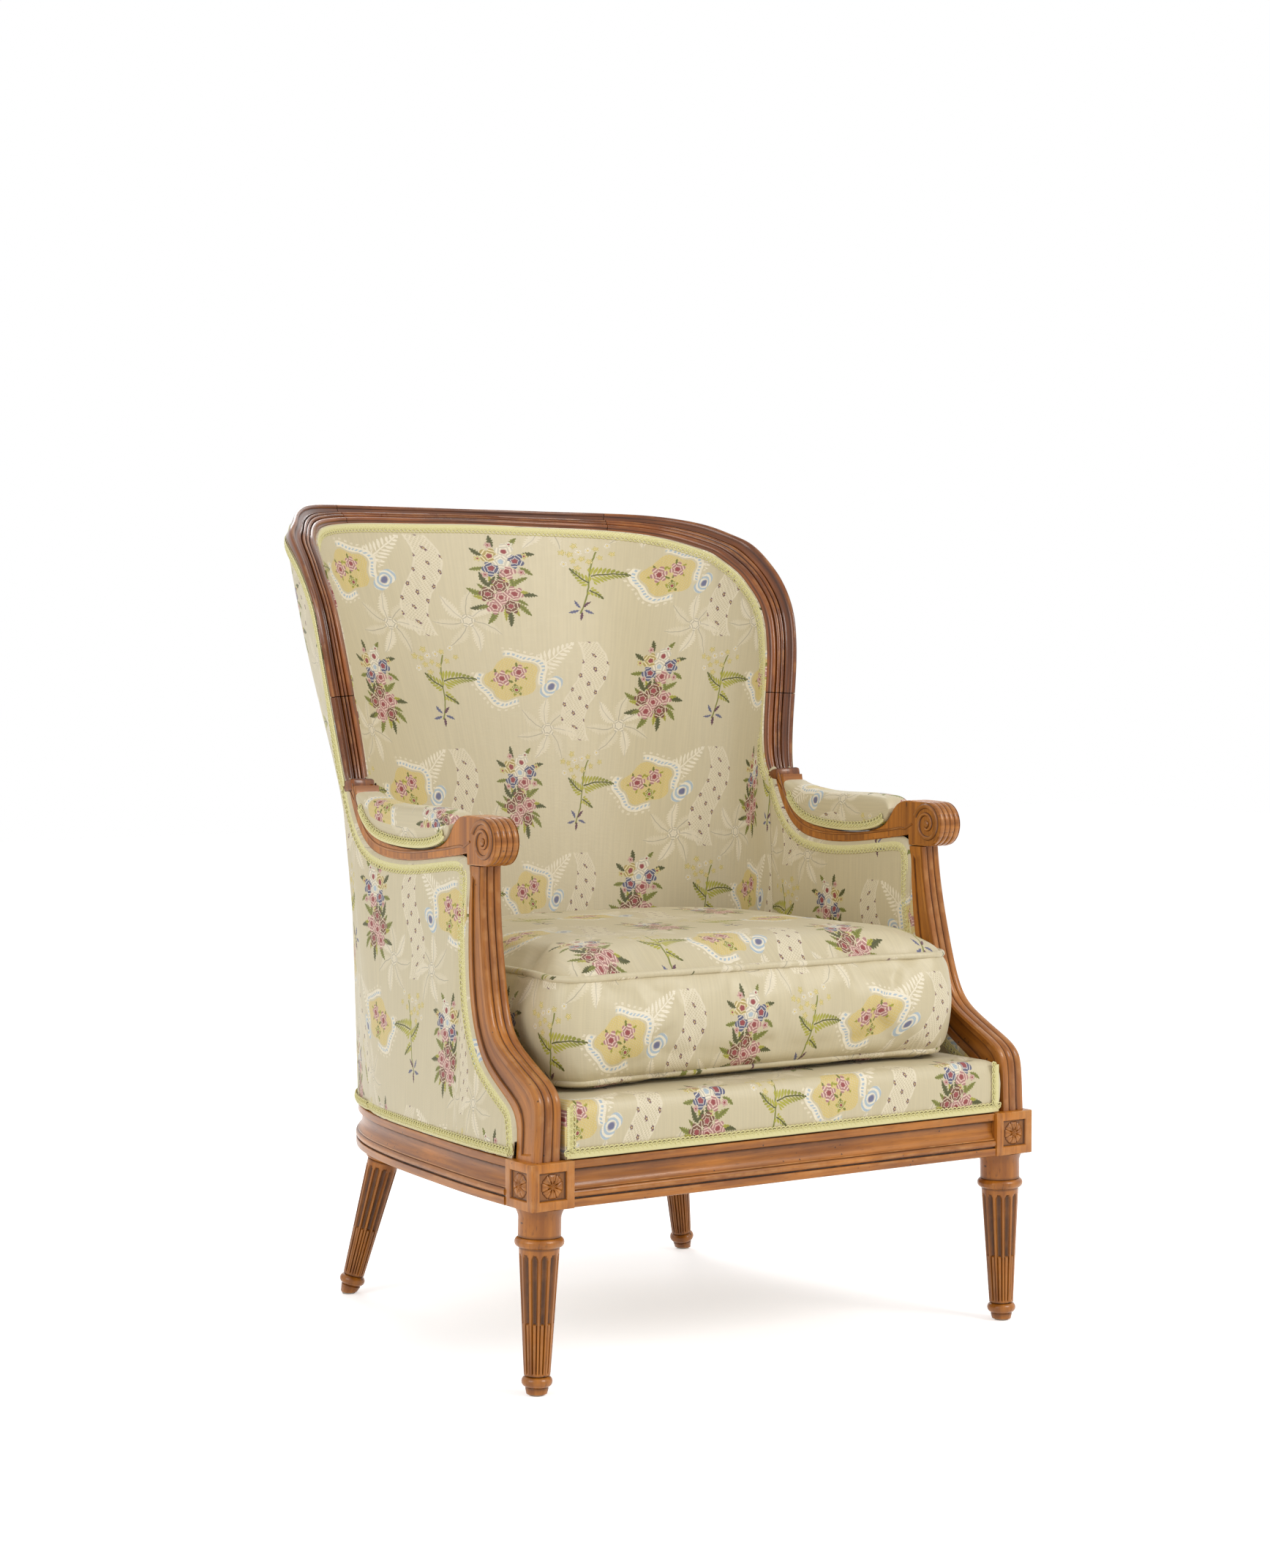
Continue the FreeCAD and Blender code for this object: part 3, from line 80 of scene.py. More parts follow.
class Curve:
    """Smooth line through points, one unit of parameter from each to the next."""

    def __init__(self, points: Sequence[Row]) -> None:
        """Solve the bends of the line.

        Args:
            points: the points that it goes through, in order.
        """
        self.points = np.array(points, dtype=float)
        n = len(self.points)
        system = np.zeros((n, n))
        right = np.zeros_like(self.points)
        system[0, 0] = system[-1, -1] = 2.0
        system[0, 1] = system[-1, -2] = 1.0
        first, last = self._end_slope(self.points[:4]), -self._end_slope(self.points[::-1][:4])
        right[0] = 6 * (self.points[1] - self.points[0] - first)
        right[-1] = 6 * (last - (self.points[-1] - self.points[-2]))
        for i in range(1, n - 1):
            system[i, i - 1 : i + 2] = (1, 4, 1)
            right[i] = 6 * (self.points[i + 1] - 2 * self.points[i] + self.points[i - 1])
        self.bends = np.linalg.solve(system, right)

    @staticmethod
    def _end_slope(points: np.ndarray) -> np.ndarray:
        """Slope at the first of a few points."""
        if len(points) < 4:
            return points[1] - points[0]
        return (-11 * points[0] + 18 * points[1] - 9 * points[2] + 2 * points[3]) / 6

    def at(self, parameter: float) -> np.ndarray:
        """Point at one parameter."""
        i = int(min(max(math.floor(parameter), 0), len(self.points) - 2))
        t = parameter - i
        low, high = self.bends[i] / 6, self.bends[i + 1] / 6
        chord = self.points[i] * (1 - t) + self.points[i + 1] * t
        return chord + ((1 - t) ** 3 - (1 - t)) * low + (t**3 - t) * high

    def many(self, parameters: Sequence[float]) -> np.ndarray:
        """Points at many parameters."""
        return np.array([self.at(p) for p in parameters])

    @property
    def last(self) -> float:
        """Parameter of the last point."""
        return float(len(self.points) - 1)


def between(table: Sequence[Row], value: float) -> float:
    """Straight-line reading of a table of (value, result) rows."""
    return float(np.interp(value, [row[0] for row in table], [row[1] for row in table]))


def place(points: np.ndarray) -> np.ndarray:
    """Millimetres behind the front legs to metres in the chair's frame."""
    moved = np.array(points, dtype=float)
    moved[..., 1] -= CENTRE_DEPTH
    return moved / 1000.0


def unit(vectors: np.ndarray) -> np.ndarray:
    """The same vectors, one long."""
    return vectors / np.maximum(np.linalg.norm(vectors, axis=-1, keepdims=True), 1e-12)


def run_lengths(points: np.ndarray) -> np.ndarray:
    """Length along a row of points, up to each of them."""
    steps = np.linalg.norm(np.diff(points, axis=0), axis=-1)
    return np.concatenate([[0.0], np.cumsum(steps)])


# Meshes


def mesh_spots(obj: bpy.types.Object) -> np.ndarray:
    """Points of a piece's mesh."""
    flat = np.empty(len(obj.data.vertices) * 3)
    obj.data.vertices.foreach_get("co", flat)
    return flat.reshape(-1, 3)


def loop_spots(obj: bpy.types.Object) -> np.ndarray:
    """Points at a piece's face corners."""
    corners = np.empty(len(obj.data.loops), dtype=np.int64)
    obj.data.loops.foreach_get("vertex_index", corners)
    return mesh_spots(obj)[corners]


def set_pattern(obj: bpy.types.Object, places: np.ndarray) -> None:
    """Give a piece one pattern place per face corner, in place of what it had."""
    layers = obj.data.uv_layers
    while layers:
        layers.remove(layers[0])
    layers.new(name="UVMap").data.foreach_set("uv", places.astype(np.float32).ravel())


def apply_modifiers(obj: bpy.types.Object) -> None:
    """Turn an object's modifiers into its mesh."""
    graph = bpy.context.evaluated_depsgraph_get()
    mesh = bpy.data.meshes.new_from_object(obj.evaluated_get(graph))
    obj.modifiers.clear()
    obj.data = mesh


def point_outwards(obj: bpy.types.Object, sharp: float = 30.0) -> None:
    """Point the faces of a closed piece outwards, smooth them and keep its hard edges."""
    work = bmesh.new()
    work.from_mesh(obj.data)
    bmesh.ops.recalc_face_normals(work, faces=work.faces)
    work.to_mesh(obj.data)
    work.free()
    obj.data.shade_smooth()
    obj.data.set_sharp_from_angle(angle=math.radians(sharp))


def finish_mesh(obj: bpy.types.Object, sharp: float = 38.0) -> None:
    """Smooth an object's faces, keep its hard edges and point its faces outwards.

    Args:
        obj: the piece.
        sharp: angle in degrees past which an edge stays hard.
    """
    mesh = obj.data
    mesh.calc_loop_triangles()
    spots = mesh_spots(obj)
    tris = np.empty(len(mesh.loop_triangles) * 3, dtype=np.int64)
    mesh.loop_triangles.foreach_get("vertices", tris)
    a, b, c = (spots[tris.reshape(-1, 3)[:, k]] for k in range(3))
    if float(np.einsum("ij,ij->i", a, np.cross(b, c)).sum()) < 0:
        mesh.flip_normals()
    mesh.shade_smooth()
    mesh.set_sharp_from_angle(angle=math.radians(sharp))


def build_mesh(
    name: str,
    spots: np.ndarray,
    faces: Sequence[Sequence[int]],
    uvs: np.ndarray | None = None,
    recess: np.ndarray | None = None,
) -> bpy.types.Object:
    """Make an object from points and faces.

    Args:
        name: the piece's name.
        spots: points in metres.
        faces: corners of each face.
        uvs: one pattern place per face corner, in metres.
        recess: how deep each point lies in the carving, 0 to 1, drawn darker as painted shade; less than 0 where the
            edge is drawn lighter as wear and painted highlight.

    Returns:
        The new object, linked to the scene.
    """
    mesh = bpy.data.meshes.new(name)
    mesh.from_pydata([tuple(p) for p in spots], [], [tuple(f) for f in faces])
    if uvs is not None:
        layer = mesh.uv_layers.new(name="UVMap")
        layer.data.foreach_set("uv", np.asarray(uvs, dtype=np.float32).ravel())
    marks = mesh.attributes.new("recess", "FLOAT", "POINT")
    marks.data.foreach_set("value", np.zeros(len(spots)) if recess is None else np.asarray(recess, dtype=float).ravel())
    mesh.update()
    obj = bpy.data.objects.new(name, mesh)
    bpy.context.scene.collection.objects.link(obj)
    return obj


def sweep(
    name: str,
    sections: np.ndarray,
    recess: np.ndarray | None = None,
    closed: bool = False,
    uvs: np.ndarray | None = None,
    sharp: float = 38.0,
) -> bpy.types.Object:
    """Skin closed sections into a solid.

    Args:
        name: the piece's name.
        sections: points in metres, by station and by place round the section.
        recess: depth in the carving, laid out as the sections are.
        closed: whether the last station joins the first.
        uvs: pattern places by station and by place round, one place more than the section has.
        sharp: angle past which edges stay hard.

    Returns:
        The new object.
    """
    count, around = sections.shape[:2]
    if uvs is None:
        along = run_lengths(sections.mean(axis=1))
        girth = run_lengths(np.vstack([sections[0], sections[0][:1]]))
        uvs = np.stack(np.meshgrid(along, girth, indexing="ij"), axis=-1)
        if closed:
            uvs = np.concatenate([uvs,
                                  uvs[-1:] + [float(np.linalg.norm(sections[-1].mean(0) - sections[0].mean(0))), 0.0]])
    elif closed and len(uvs) == count:
        uvs = np.concatenate([uvs, uvs[-1:]])
    faces, corners = [], []
    for i in range(count if closed else count - 1):
        j = (i + 1) % count
        for k in range(around):
            m = (k + 1) % around
            faces.append((i * around + k, j * around + k, j * around + m, i * around + m))
            corners.extend((uvs[i, k], uvs[i + 1, k], uvs[i + 1, k + 1], uvs[i, k + 1]))
    if not closed:
        for i in (0, count - 1):
            ring = [i * around + k for k in range(around)]
            if i == 0:
                ring.reverse()
            faces.append(tuple(ring))
            middle = sections[i].mean(axis=0)
            for index in ring:
                spot = sections[i][index - i * around] - middle
                corners.append((uvs[i, 0][0] + float(spot[2]) * 0.3, float(spot[0] + spot[1])))
    flat = None if recess is None else np.asarray(recess).reshape(-1)
    obj = build_mesh(name, sections.reshape(-1, 3), faces, np.array(corners), flat)
    finish_mesh(obj, sharp)
    return obj


def sheet_sections(face: np.ndarray, thickness: float, flip: bool = False) -> np.ndarray:
    """Closed sections of a thin layer whose showing face is given.

    Args:
        face: points in metres by station and by height.
        thickness: of the layer, in metres.
        flip: whether the layer lies on the other side of the face.

    Returns:
        Sections that go along the face and back behind it.
    """
    along = np.gradient(face, axis=0)
    up = np.gradient(face, axis=1)
    normal = unit(np.cross(along, up))
    back = face - normal * thickness * (-1 if flip else 1)
    return np.concatenate([face, back[:, ::-1]], axis=1)


def cloth_layer(
    name: str, face: np.ndarray, thickness: float, flip: bool, start: tuple[float, float] = (0.0, 0.0)
) -> bpy.types.Object:
    """Cover whose pattern lies square on its face.

    Args:
        name: the piece's name.
        face: showing face in metres by station and by height.
        thickness: of the cloth, in metres.
        flip: side of the face that the cloth lies on.
        start: where the pattern starts, in metres.

    Returns:
        The cover.
    """
    sections = sheet_sections(face, thickness, flip)
    rows = face.shape[1]
    wide = run_lengths(face[:, rows // 2])
    wide = wide - wide[-1] / 2
    tall = np.concatenate([face[:, :, 2], face[:, ::-1, 2], face[:, :1, 2]], axis=1)
    uvs = np.stack([np.repeat(wide[:, None], tall.shape[1], axis=1) + start[0], tall + start[1]], axis=-1)
    return sweep(name, sections, uvs=uvs, sharp=50.0)


# Node trees


class Graph:
    """A node tree that is written one call per node."""

    def __init__(self, tree: bpy.types.NodeTree) -> None:
        """Keep the tree."""
        self.tree = tree

    def node(self, kind: str, **settings: object) -> bpy.types.Node:
        """Add a node with its settings."""
        made = self.tree.nodes.new(kind)
        for key, value in settings.items():
            setattr(made, key, value)
        return made

    def plug(self, socket: Socket, value: object) -> None:
        """Link a socket into another, or set it to a value."""
        if isinstance(value, bpy.types.NodeSocket):
            self.tree.links.new(value, socket)
        elif value is not None:
            socket.default_value = value

    def math(self, what: str, first: object, second: object = None, third: object = None,
             clamp: bool = False) -> Socket:
        """Add a Math node and give its result."""
        made = self.node("ShaderNodeMath", operation=what, use_clamp=clamp)
        for socket, value in zip(made.inputs, (first, second, third)):
            self.plug(socket, value)
        return made.outputs[0]

    add = partialmethod(math, "ADD")
    sub = partialmethod(math, "SUBTRACT")
    mul = partialmethod(math, "MULTIPLY")
    div = partialmethod(math, "DIVIDE")
    mul_add = partialmethod(math, "MULTIPLY_ADD")
    modulo = partialmethod(math, "FLOORED_MODULO")
    fold = partialmethod(math, "PINGPONG")
    absolute = partialmethod(math, "ABSOLUTE")
    sine = partialmethod(math, "SINE")
    cosine = partialmethod(math, "COSINE")
    larger = partialmethod(math, "MAXIMUM")
    smaller = partialmethod(math, "MINIMUM")
    root = partialmethod(math, "SQRT")

    def reach(self, x: object, y: object) -> Socket:
        """Distance of a flat place from its centre."""
        return self.root(self.add(self.mul(x, x), self.mul(y, y)))

    def sum(self, *values: object) -> Socket:
        """Add several numbers up."""
        total = values[0]
        for value in values[1:]:
            total = self.add(total, value)
        return total

    def mix(self, share: object, first: object, second: object) -> Socket:
        """Mix two colours."""
        made = self.node("ShaderNodeMix", data_type="RGBA")
        self.plug(made.inputs["Factor"], share)
        self.plug(made.inputs[6], first)
        self.plug(made.inputs[7], second)
        return made.outputs[2]

    def shade(self, colour: object, share: object) -> Socket:
        """Multiply a colour by a number."""
        made = self.node("ShaderNodeVectorMath", operation="SCALE")
        self.plug(made.inputs[0], colour)
        self.plug(made.inputs["Scale"], share)
        return made.outputs[0]

    def step(self, value: object, low: float, high: float, to_low: float = 0.0, to_high: float = 1.0) -> Socket:
        """Smooth rise of a value from one limit to the other."""
        made = self.node("ShaderNodeMapRange", interpolation_type="SMOOTHSTEP")
        for socket, number in zip(made.inputs, (value, low, high, to_low, to_high)):
            self.plug(socket, number)
        return made.outputs[0]

    def noise(self, place: object, scale: float, detail: float = 2.0, rough: float = 0.5) -> Socket:
        """Noise value at a place."""
        made = self.node("ShaderNodeTexNoise")
        self.plug(made.inputs["Vector"], place)
        self.fix(made, Scale=scale, Detail=detail, Roughness=rough)
        return made.outputs["Fac"]

    def stretch(self, place: object, scale: Row) -> Socket:
        """Place scaled along its axes."""
        made = self.node("ShaderNodeMapping")
        self.plug(made.inputs["Vector"], place)
        self.fix(made, Scale=scale)
        return made.outputs[0]

    def bump(self, height: Socket, strength: float = 0.5, distance: float = 0.0004) -> Socket:
        """Normal bent by a height in metres times its distance."""
        made = self.node("ShaderNodeBump")
        self.fix(made, Strength=strength, Distance=distance)
        self.plug(made.inputs["Height"], height)
        return made.outputs[0]

    @staticmethod
    def fix(node: bpy.types.Node, **values: object) -> None:
        """Set a node's constant inputs, named with _ for a space."""
        for key, value in values.items():
            node.inputs[key.replace("_", " ")].default_value = value

    def group(self, tree: bpy.types.NodeTree, **values: object) -> bpy.types.Node:
        """Add a node group; its inputs go by their names with _ for a space."""
        made = self.node("ShaderNodeGroup", node_tree=tree)
        for key, value in values.items():
            self.plug(made.inputs[key.replace("_", " ")], value)
        return made


def new_group(
    name: str, inputs: dict[str, tuple[str, object]], outputs: dict[str, str]
) -> tuple[Graph, Sockets, Sockets]:
    """Start a shader node group.

    Args:
        name: the group's name.
        inputs: kind and first value by name.
        outputs: kind by name.

    Returns:
        The group's graph, what comes in and what goes out.
    """
    tree = bpy.data.node_groups.new(name, "ShaderNodeTree")
    for word, (kind, value) in inputs.items():
        socket = tree.interface.new_socket(word, in_out="INPUT", socket_type=f"NodeSocket{kind}")
        if value is not None:
            socket.default_value = value
    for word, kind in outputs.items():
        tree.interface.new_socket(word, in_out="OUTPUT", socket_type=f"NodeSocket{kind}")
    graph = Graph(tree)
    return graph, graph.node("NodeGroupInput").outputs, graph.node("NodeGroupOutput").inputs


def new_material(name: str) -> tuple[bpy.types.Material, Graph, bpy.types.Node]:
    """Start a material and give its graph and its main shader."""
    material = bpy.data.materials.new(name)
    material.use_nodes = True
    graph = Graph(material.node_tree)
    return material, graph, material.node_tree.nodes["Principled BSDF"]


def srgb(red: float, green: float, blue: float) -> tuple[float, float, float, float]:
    """Colour of the screen, 0 to 255, as the renderer counts it."""
    line = [c / 255.0 for c in (red, green, blue)]
    line = [c / 12.92 if c <= 0.04045 else ((c + 0.055) / 1.055) ** 2.4 for c in line]
    return (*line, 1.0)


class Motifs:
    """Node groups that draw the woven flowers, leaves and ribbons."""

    def __init__(self) -> None:
        """Build each shape once."""
        self.repeat = self._repeat()
        self.ring = self._ring()
        self.flower = self._flower()
        self.leaf = self._leaf()
        self.fern = self._fern()

    @staticmethod
    def _repeat() -> bpy.types.NodeTree:
        """Half-drop repeat round a motif's centre."""
        g, into, out = new_group(
            "half drop repeat",
            {"X": ("Float", 0.0), "Y": ("Float", 0.0), "Centre X": ("Float", 0.0), "Centre Y": ("Float", 0.0),
             "Width": ("Float", 178.0), "Height": ("Float", 276.0), "Turn": ("Float", 0.0)},
            {"X": "Float", "Y": "Float"},
        )
        x = g.sub(into["X"], into["Centre X"])
        y = g.sub(into["Y"], into["Centre Y"])
        column = g.math("ROUND", g.div(x, into["Width"]))
        x = g.sub(x, g.mul(column, into["Width"]))
        odd = g.modulo(column, 2.0)
        y = g.add(y, g.mul(g.mul(odd, into["Height"]), 0.5))
        line = g.math("ROUND", g.div(y, into["Height"]))
        y = g.sub(y, g.mul(line, into["Height"]))
        cosine, sine = g.cosine(into["Turn"]), g.sine(into["Turn"])
        g.plug(out["X"], g.add(g.mul(x, cosine), g.mul(y, sine)))
        g.plug(out["Y"], g.sub(g.mul(y, cosine), g.mul(x, sine)))
        return g.tree

    @staticmethod
    def _ring() -> bpy.types.NodeTree:
        """Places repeated round a centre, each with its own outward axis."""
        g, into, out = new_group(
            "ring of places",
            {"X": ("Float", 0.0), "Y": ("Float", 0.0), "Count": ("Float", 5.0), "Radius": ("Float", 20.0),
             "Turn": ("Float", 0.0)},
            {"X": "Float", "Y": "Float", "Sector": "Float"},
        )
        x, y = into["X"], into["Y"]
        pitch = g.div(2 * math.pi, into["Count"])
        angle = g.add(g.math("ARCTAN2", y, x), into["Turn"])
        share = g.div(angle, pitch)
        sector = g.math("ROUND", share)
        rest = g.mul(g.sub(share, sector), pitch)
        reach = g.reach(x, y)
        g.plug(out["X"], g.sub(g.mul(reach, g.cosine(rest)), into["Radius"]))
        g.plug(out["Y"], g.mul(reach, g.sine(rest)))
        g.plug(out["Sector"], g.modulo(sector, into["Count"]))
        return g.tree

    @staticmethod
    def _flower() -> bpy.types.NodeTree:
        """Open flower: its shape, its rings of petals and its heart."""
        g, into, out = new_group(
            "woven flower",
            {"X": ("Float", 0.0), "Y": ("Float", 0.0), "Size": ("Float", 12.0), "Petals": ("Float", 5.0),
             "Turn": ("Float", 0.0)},
            {"Mask": "Float", "Tone": "Float", "Heart": "Float"},
        )
        x, y, size = into["X"], into["Y"], into["Size"]
        reach = g.reach(x, y)
        angle = g.add(g.math("ARCTAN2", y, x), into["Turn"])
        lobes = g.absolute(g.cosine(g.mul(angle, g.mul(into["Petals"], 0.5))))
        edge = g.mul(size, g.mul_add(g.math("POWER", lobes, 0.75), 0.46, 0.58))
        g.plug(out["Mask"], g.mul(g.sub(edge, reach), 1.6, clamp=True))
        wave = g.mul_add(g.div(reach, size), 17.0, g.mul(lobes, 2.4))
        g.plug(out["Tone"], g.mul_add(g.sine(wave), 0.5, 0.5))
        g.plug(out["Heart"], g.step(g.div(reach, size), 0.42, 0.2))
        return g.tree

    @staticmethod
    def _leaf() -> bpy.types.NodeTree:
        """Pointed and toothed leaf along +X, with its vein."""
        g, into, out = new_group(
            "woven leaf",
            {"X": ("Float", 0.0), "Y": ("Float", 0.0), "Length": ("Float", 18.0), "Width": ("Float", 4.5),
             "Teeth": ("Float", 0.3)},
            {"Mask": "Float", "Vein": "Float"},
        )
        share = g.div(into["X"], into["Length"], clamp=True)
        bow = g.mul(g.mul(share, g.sub(1.0, share)), 4.0)
        teeth = g.mul(g.fold(into["X"], 1.5), into["Teeth"])
        half = g.mul(into["Width"], g.sub(bow, g.mul(teeth, bow)))
        y = g.absolute(into["Y"])
        mask = g.mul(g.sub(half, y), 1.8, clamp=True)
        g.plug(out["Mask"], g.mul(mask, g.math("GREATER_THAN", bow, 0.02)))
        g.plug(out["Vein"], g.step(y, 0.9, 0.3))
        return g.tree

    def _fern(self) -> bpy.types.NodeTree:
        """Frond along +X made of pairs of leaflets."""
        g, into, out = new_group(
            "woven frond",
            {"X": ("Float", 0.0), "Y": ("Float", 0.0), "Length": ("Float", 46.0), "Width": ("Float", 15.0),
             "Pitch": ("Float", 5.0)},
            {"Mask": "Float", "Vein": "Float"},
        )
        x = into["X"]
        y = g.absolute(into["Y"])
        share = g.div(x, into["Length"], clamp=True)
        reach = g.mul(into["Width"], g.math("POWER", g.sub(1.0, share), 0.6))
        lean = g.sub(x, g.mul(y, 0.8))
        local = g.sub(g.modulo(lean, into["Pitch"]), g.mul(into["Pitch"], 0.5))
        leaf = g.group(self.leaf, X=y, Y=local, Length=reach, Width=2.3, Teeth=0.0)
        inside = g.mul(g.math("GREATER_THAN", x, 0.0), g.math("LESS_THAN", x, into["Length"]))
        stem = g.step(y, 1.2, 0.6)
        g.plug(out["Mask"], g.mul(g.larger(leaf.outputs["Mask"], stem), inside))
        g.plug(out["Vein"], stem)
        return g.tree


@dataclass(frozen=True)
class SilkColours:
    """Colours of the brocaded silk."""

    ground: tuple = srgb(203, 190, 156)
    ivory: tuple = srgb(230, 218, 190)
    pale: tuple = srgb(240, 229, 204)
    green: tuple = srgb(128, 130, 50)
    dark_green: tuple = srgb(84, 84, 34)
    lime: tuple = srgb(178, 172, 62)
    yellow: tuple = srgb(222, 203, 110)
    pink: tuple = srgb(214, 158, 150)
    rose: tuple = srgb(150, 66, 66)
    brown: tuple = srgb(140, 92, 66)
    blue: tuple = srgb(178, 192, 200)
    slate: tuple = srgb(112, 112, 140)
    plum: tuple = srgb(104, 62, 78)
    gold: tuple = srgb(214, 190, 118)


class Brocade:
    """Node group of the silk's own woven design: nosegays, sprigs, medallions and lace on a half drop."""

    def __init__(self, motifs: Motifs, colours: SilkColours) -> None:
        """Draw the whole design.

        Args:
            motifs: the shapes that it is drawn with.
            colours: of the threads.
        """
        self.motifs = motifs
        self.colours = colours
        g, into, out = new_group(
            "brocade",
            {"Place": ("Vector", (0.0, 0.0, 0.0))},
            {"Color": "Color", "Float": "Float", "Thread": "Float"},
        )
        self.g = g
        wobble = g.node("ShaderNodeTexNoise")
        g.plug(wobble.inputs["Vector"], into["Place"])
        wobble.inputs["Scale"].default_value = 90.0
        wobble.inputs["Detail"].default_value = 1.0
        split = g.node("ShaderNodeSeparateXYZ")
        g.plug(split.inputs[0], into["Place"])
        shift = g.node("ShaderNodeSeparateXYZ")
        g.plug(shift.inputs[0], wobble.outputs["Color"])
        self.x = g.mul_add(split.outputs[0], 1000.0, g.mul(shift.outputs[0], 3.0))
        self.y = g.mul_add(split.outputs[1], 1000.0, g.mul(shift.outputs[1], 3.0))
        self.weft = g.fold(self.y, 0.55)
        self.colour: object = colours.ground
        self._tone_on_tone()
        self._lace()
        self._medallion()
        self._sprig()
        self._nosegay()
        hatch = g.step(self.weft, 0.08, 0.5, 0.80, 1.06)
        warp = g.step(g.fold(self.x, 0.22), 0.0, 0.22, 0.965, 1.025)
        apart = g.node("ShaderNodeVectorMath", operation="DISTANCE")
        g.plug(apart.inputs[0], self.colour)
        apart.inputs[1].default_value = colours.ground[:3]
        share = g.step(apart.outputs["Value"], 0.06, 0.25)
        thread = g.add(g.mul(hatch, share), g.mul(warp, g.sub(1.0, share)))
        slub = g.noise(g.stretch(into["Place"], (420.0, 14.0, 1.0)), 1.0, 1.0)
        body = g.step(slub, 0.25, 0.75, 0.965, 1.035)
        g.plug(out["Color"], g.shade(self.colour, g.mul(thread, body)))
        g.plug(out["Float"], share)
        g.plug(out["Thread"], g.mul(hatch, warp))

    @property
    def tree(self) -> bpy.types.NodeTree:
        """The finished group."""
        return self.g.tree

    def _lay(self, mask: object, colour: object) -> None:
        """Weave one colour over what is there."""
        self.colour = self.g.mix(mask, self.colour, colour)

    def _cell(self, x: float, y: float, turn: float = 0.0) -> tuple[Socket, Socket]:
        """Place measured from a motif's centre."""
        made = self.g.group(self.motifs.repeat, X=self.x, Y=self.y, Centre_X=x, Centre_Y=y, Turn=turn)
        return made.outputs["X"], made.outputs["Y"]

    def _moved(self, spot: tuple[Socket, Socket], x: float, y: float, turn: float = 0.0) -> tuple[Socket, Socket]:
        """Place measured from a point of a motif, turned if need be."""
        g = self.g
        px, py = g.sub(spot[0], x), g.sub(spot[1], y)
        if not turn:
            return px, py
        cosine, sine = math.cos(turn), math.sin(turn)
        first = g.mul_add(px, cosine, g.mul(py, sine))
        second = g.mul_add(py, cosine, g.mul(px, -sine))
        return first, second

    def _flowers(self, spot: tuple[Socket, Socket], count: float, radius: float, size: float, turn: float,
                 petals: float,
                 colours: Sequence[tuple], hearts: tuple) -> None:
        """Ring of flowers in several colours."""
        g = self.g
        ring = g.group(self.motifs.ring, X=spot[0], Y=spot[1], Count=count, Radius=radius, Turn=turn)
        flower = g.group(self.motifs.flower, X=ring.outputs["X"], Y=ring.outputs["Y"], Size=size, Petals=petals,
                         Turn=g.mul(ring.outputs["Sector"], 1.7))
        choice = g.node("ShaderNodeValToRGB")
        choice.color_ramp.interpolation = "CONSTANT"
        while len(choice.color_ramp.elements) < len(colours):
            choice.color_ramp.elements.new(0.5)
        for index, colour in enumerate(colours):
            choice.color_ramp.elements[index].position = index / len(colours)
            choice.color_ramp.elements[index].color = colour
        g.plug(choice.inputs[0], g.math("FRACT", g.mul_add(ring.outputs["Sector"], 0.382, 0.13)))
        petal = g.mix(g.step(flower.outputs["Tone"], 0.35, 0.6), g.shade(choice.outputs[0], 0.62), choice.outputs[0])
        petal = g.mix(g.step(flower.outputs["Tone"], 0.86, 0.97), petal, self.colours.pale)
        petal = g.mix(flower.outputs["Heart"], petal, hearts)
        self._lay(flower.outputs["Mask"], petal)

    def _leaves(self, spot: tuple[Socket, Socket], count: float, radius: float, length: float, width: float,
                turn: float,
                first: tuple, second: tuple) -> None:
        """Ring of leaves that point outwards."""
        g = self.g
        ring = g.group(self.motifs.ring, X=spot[0], Y=spot[1], Count=count, Radius=radius, Turn=turn)
        bend = g.mul_add(g.mul(ring.outputs["X"], ring.outputs["X"]), 0.012, ring.outputs["Y"])
        leaf = g.group(self.motifs.leaf, X=ring.outputs["X"], Y=bend, Length=length, Width=width)
        share = g.math("FRACT", g.mul(ring.outputs["Sector"], 0.618))
        colour = g.mix(g.math("GREATER_THAN", share, 0.45), first, second)
        colour = g.mix(leaf.outputs["Vein"], colour, g.shade(colour, 0.66))
        self._lay(leaf.outputs["Mask"], colour)

    def _tone_on_tone(self) -> None:
        """Large ivory leaves in the ground itself."""
        c = self.colours
        for x, y, turn in ((88.0, 146.0, 0.4), (2.0, 12.0, 1.1)):
            spot = self._cell(x, y, turn)
            self._leaves(spot, 7.0, 6.0, 34.0, 9.0, 0.3, c.ivory, self._half(c.ground, c.ivory))
            self._flowers(spot, 1.0, 0.0, 9.0, 0.0, 6.0, [c.ivory], c.ivory)

    @staticmethod
    def _half(first: tuple, second: tuple) -> tuple:
        """Colour half way between two."""
        return tuple((a + b) / 2 for a, b in zip(first, second))

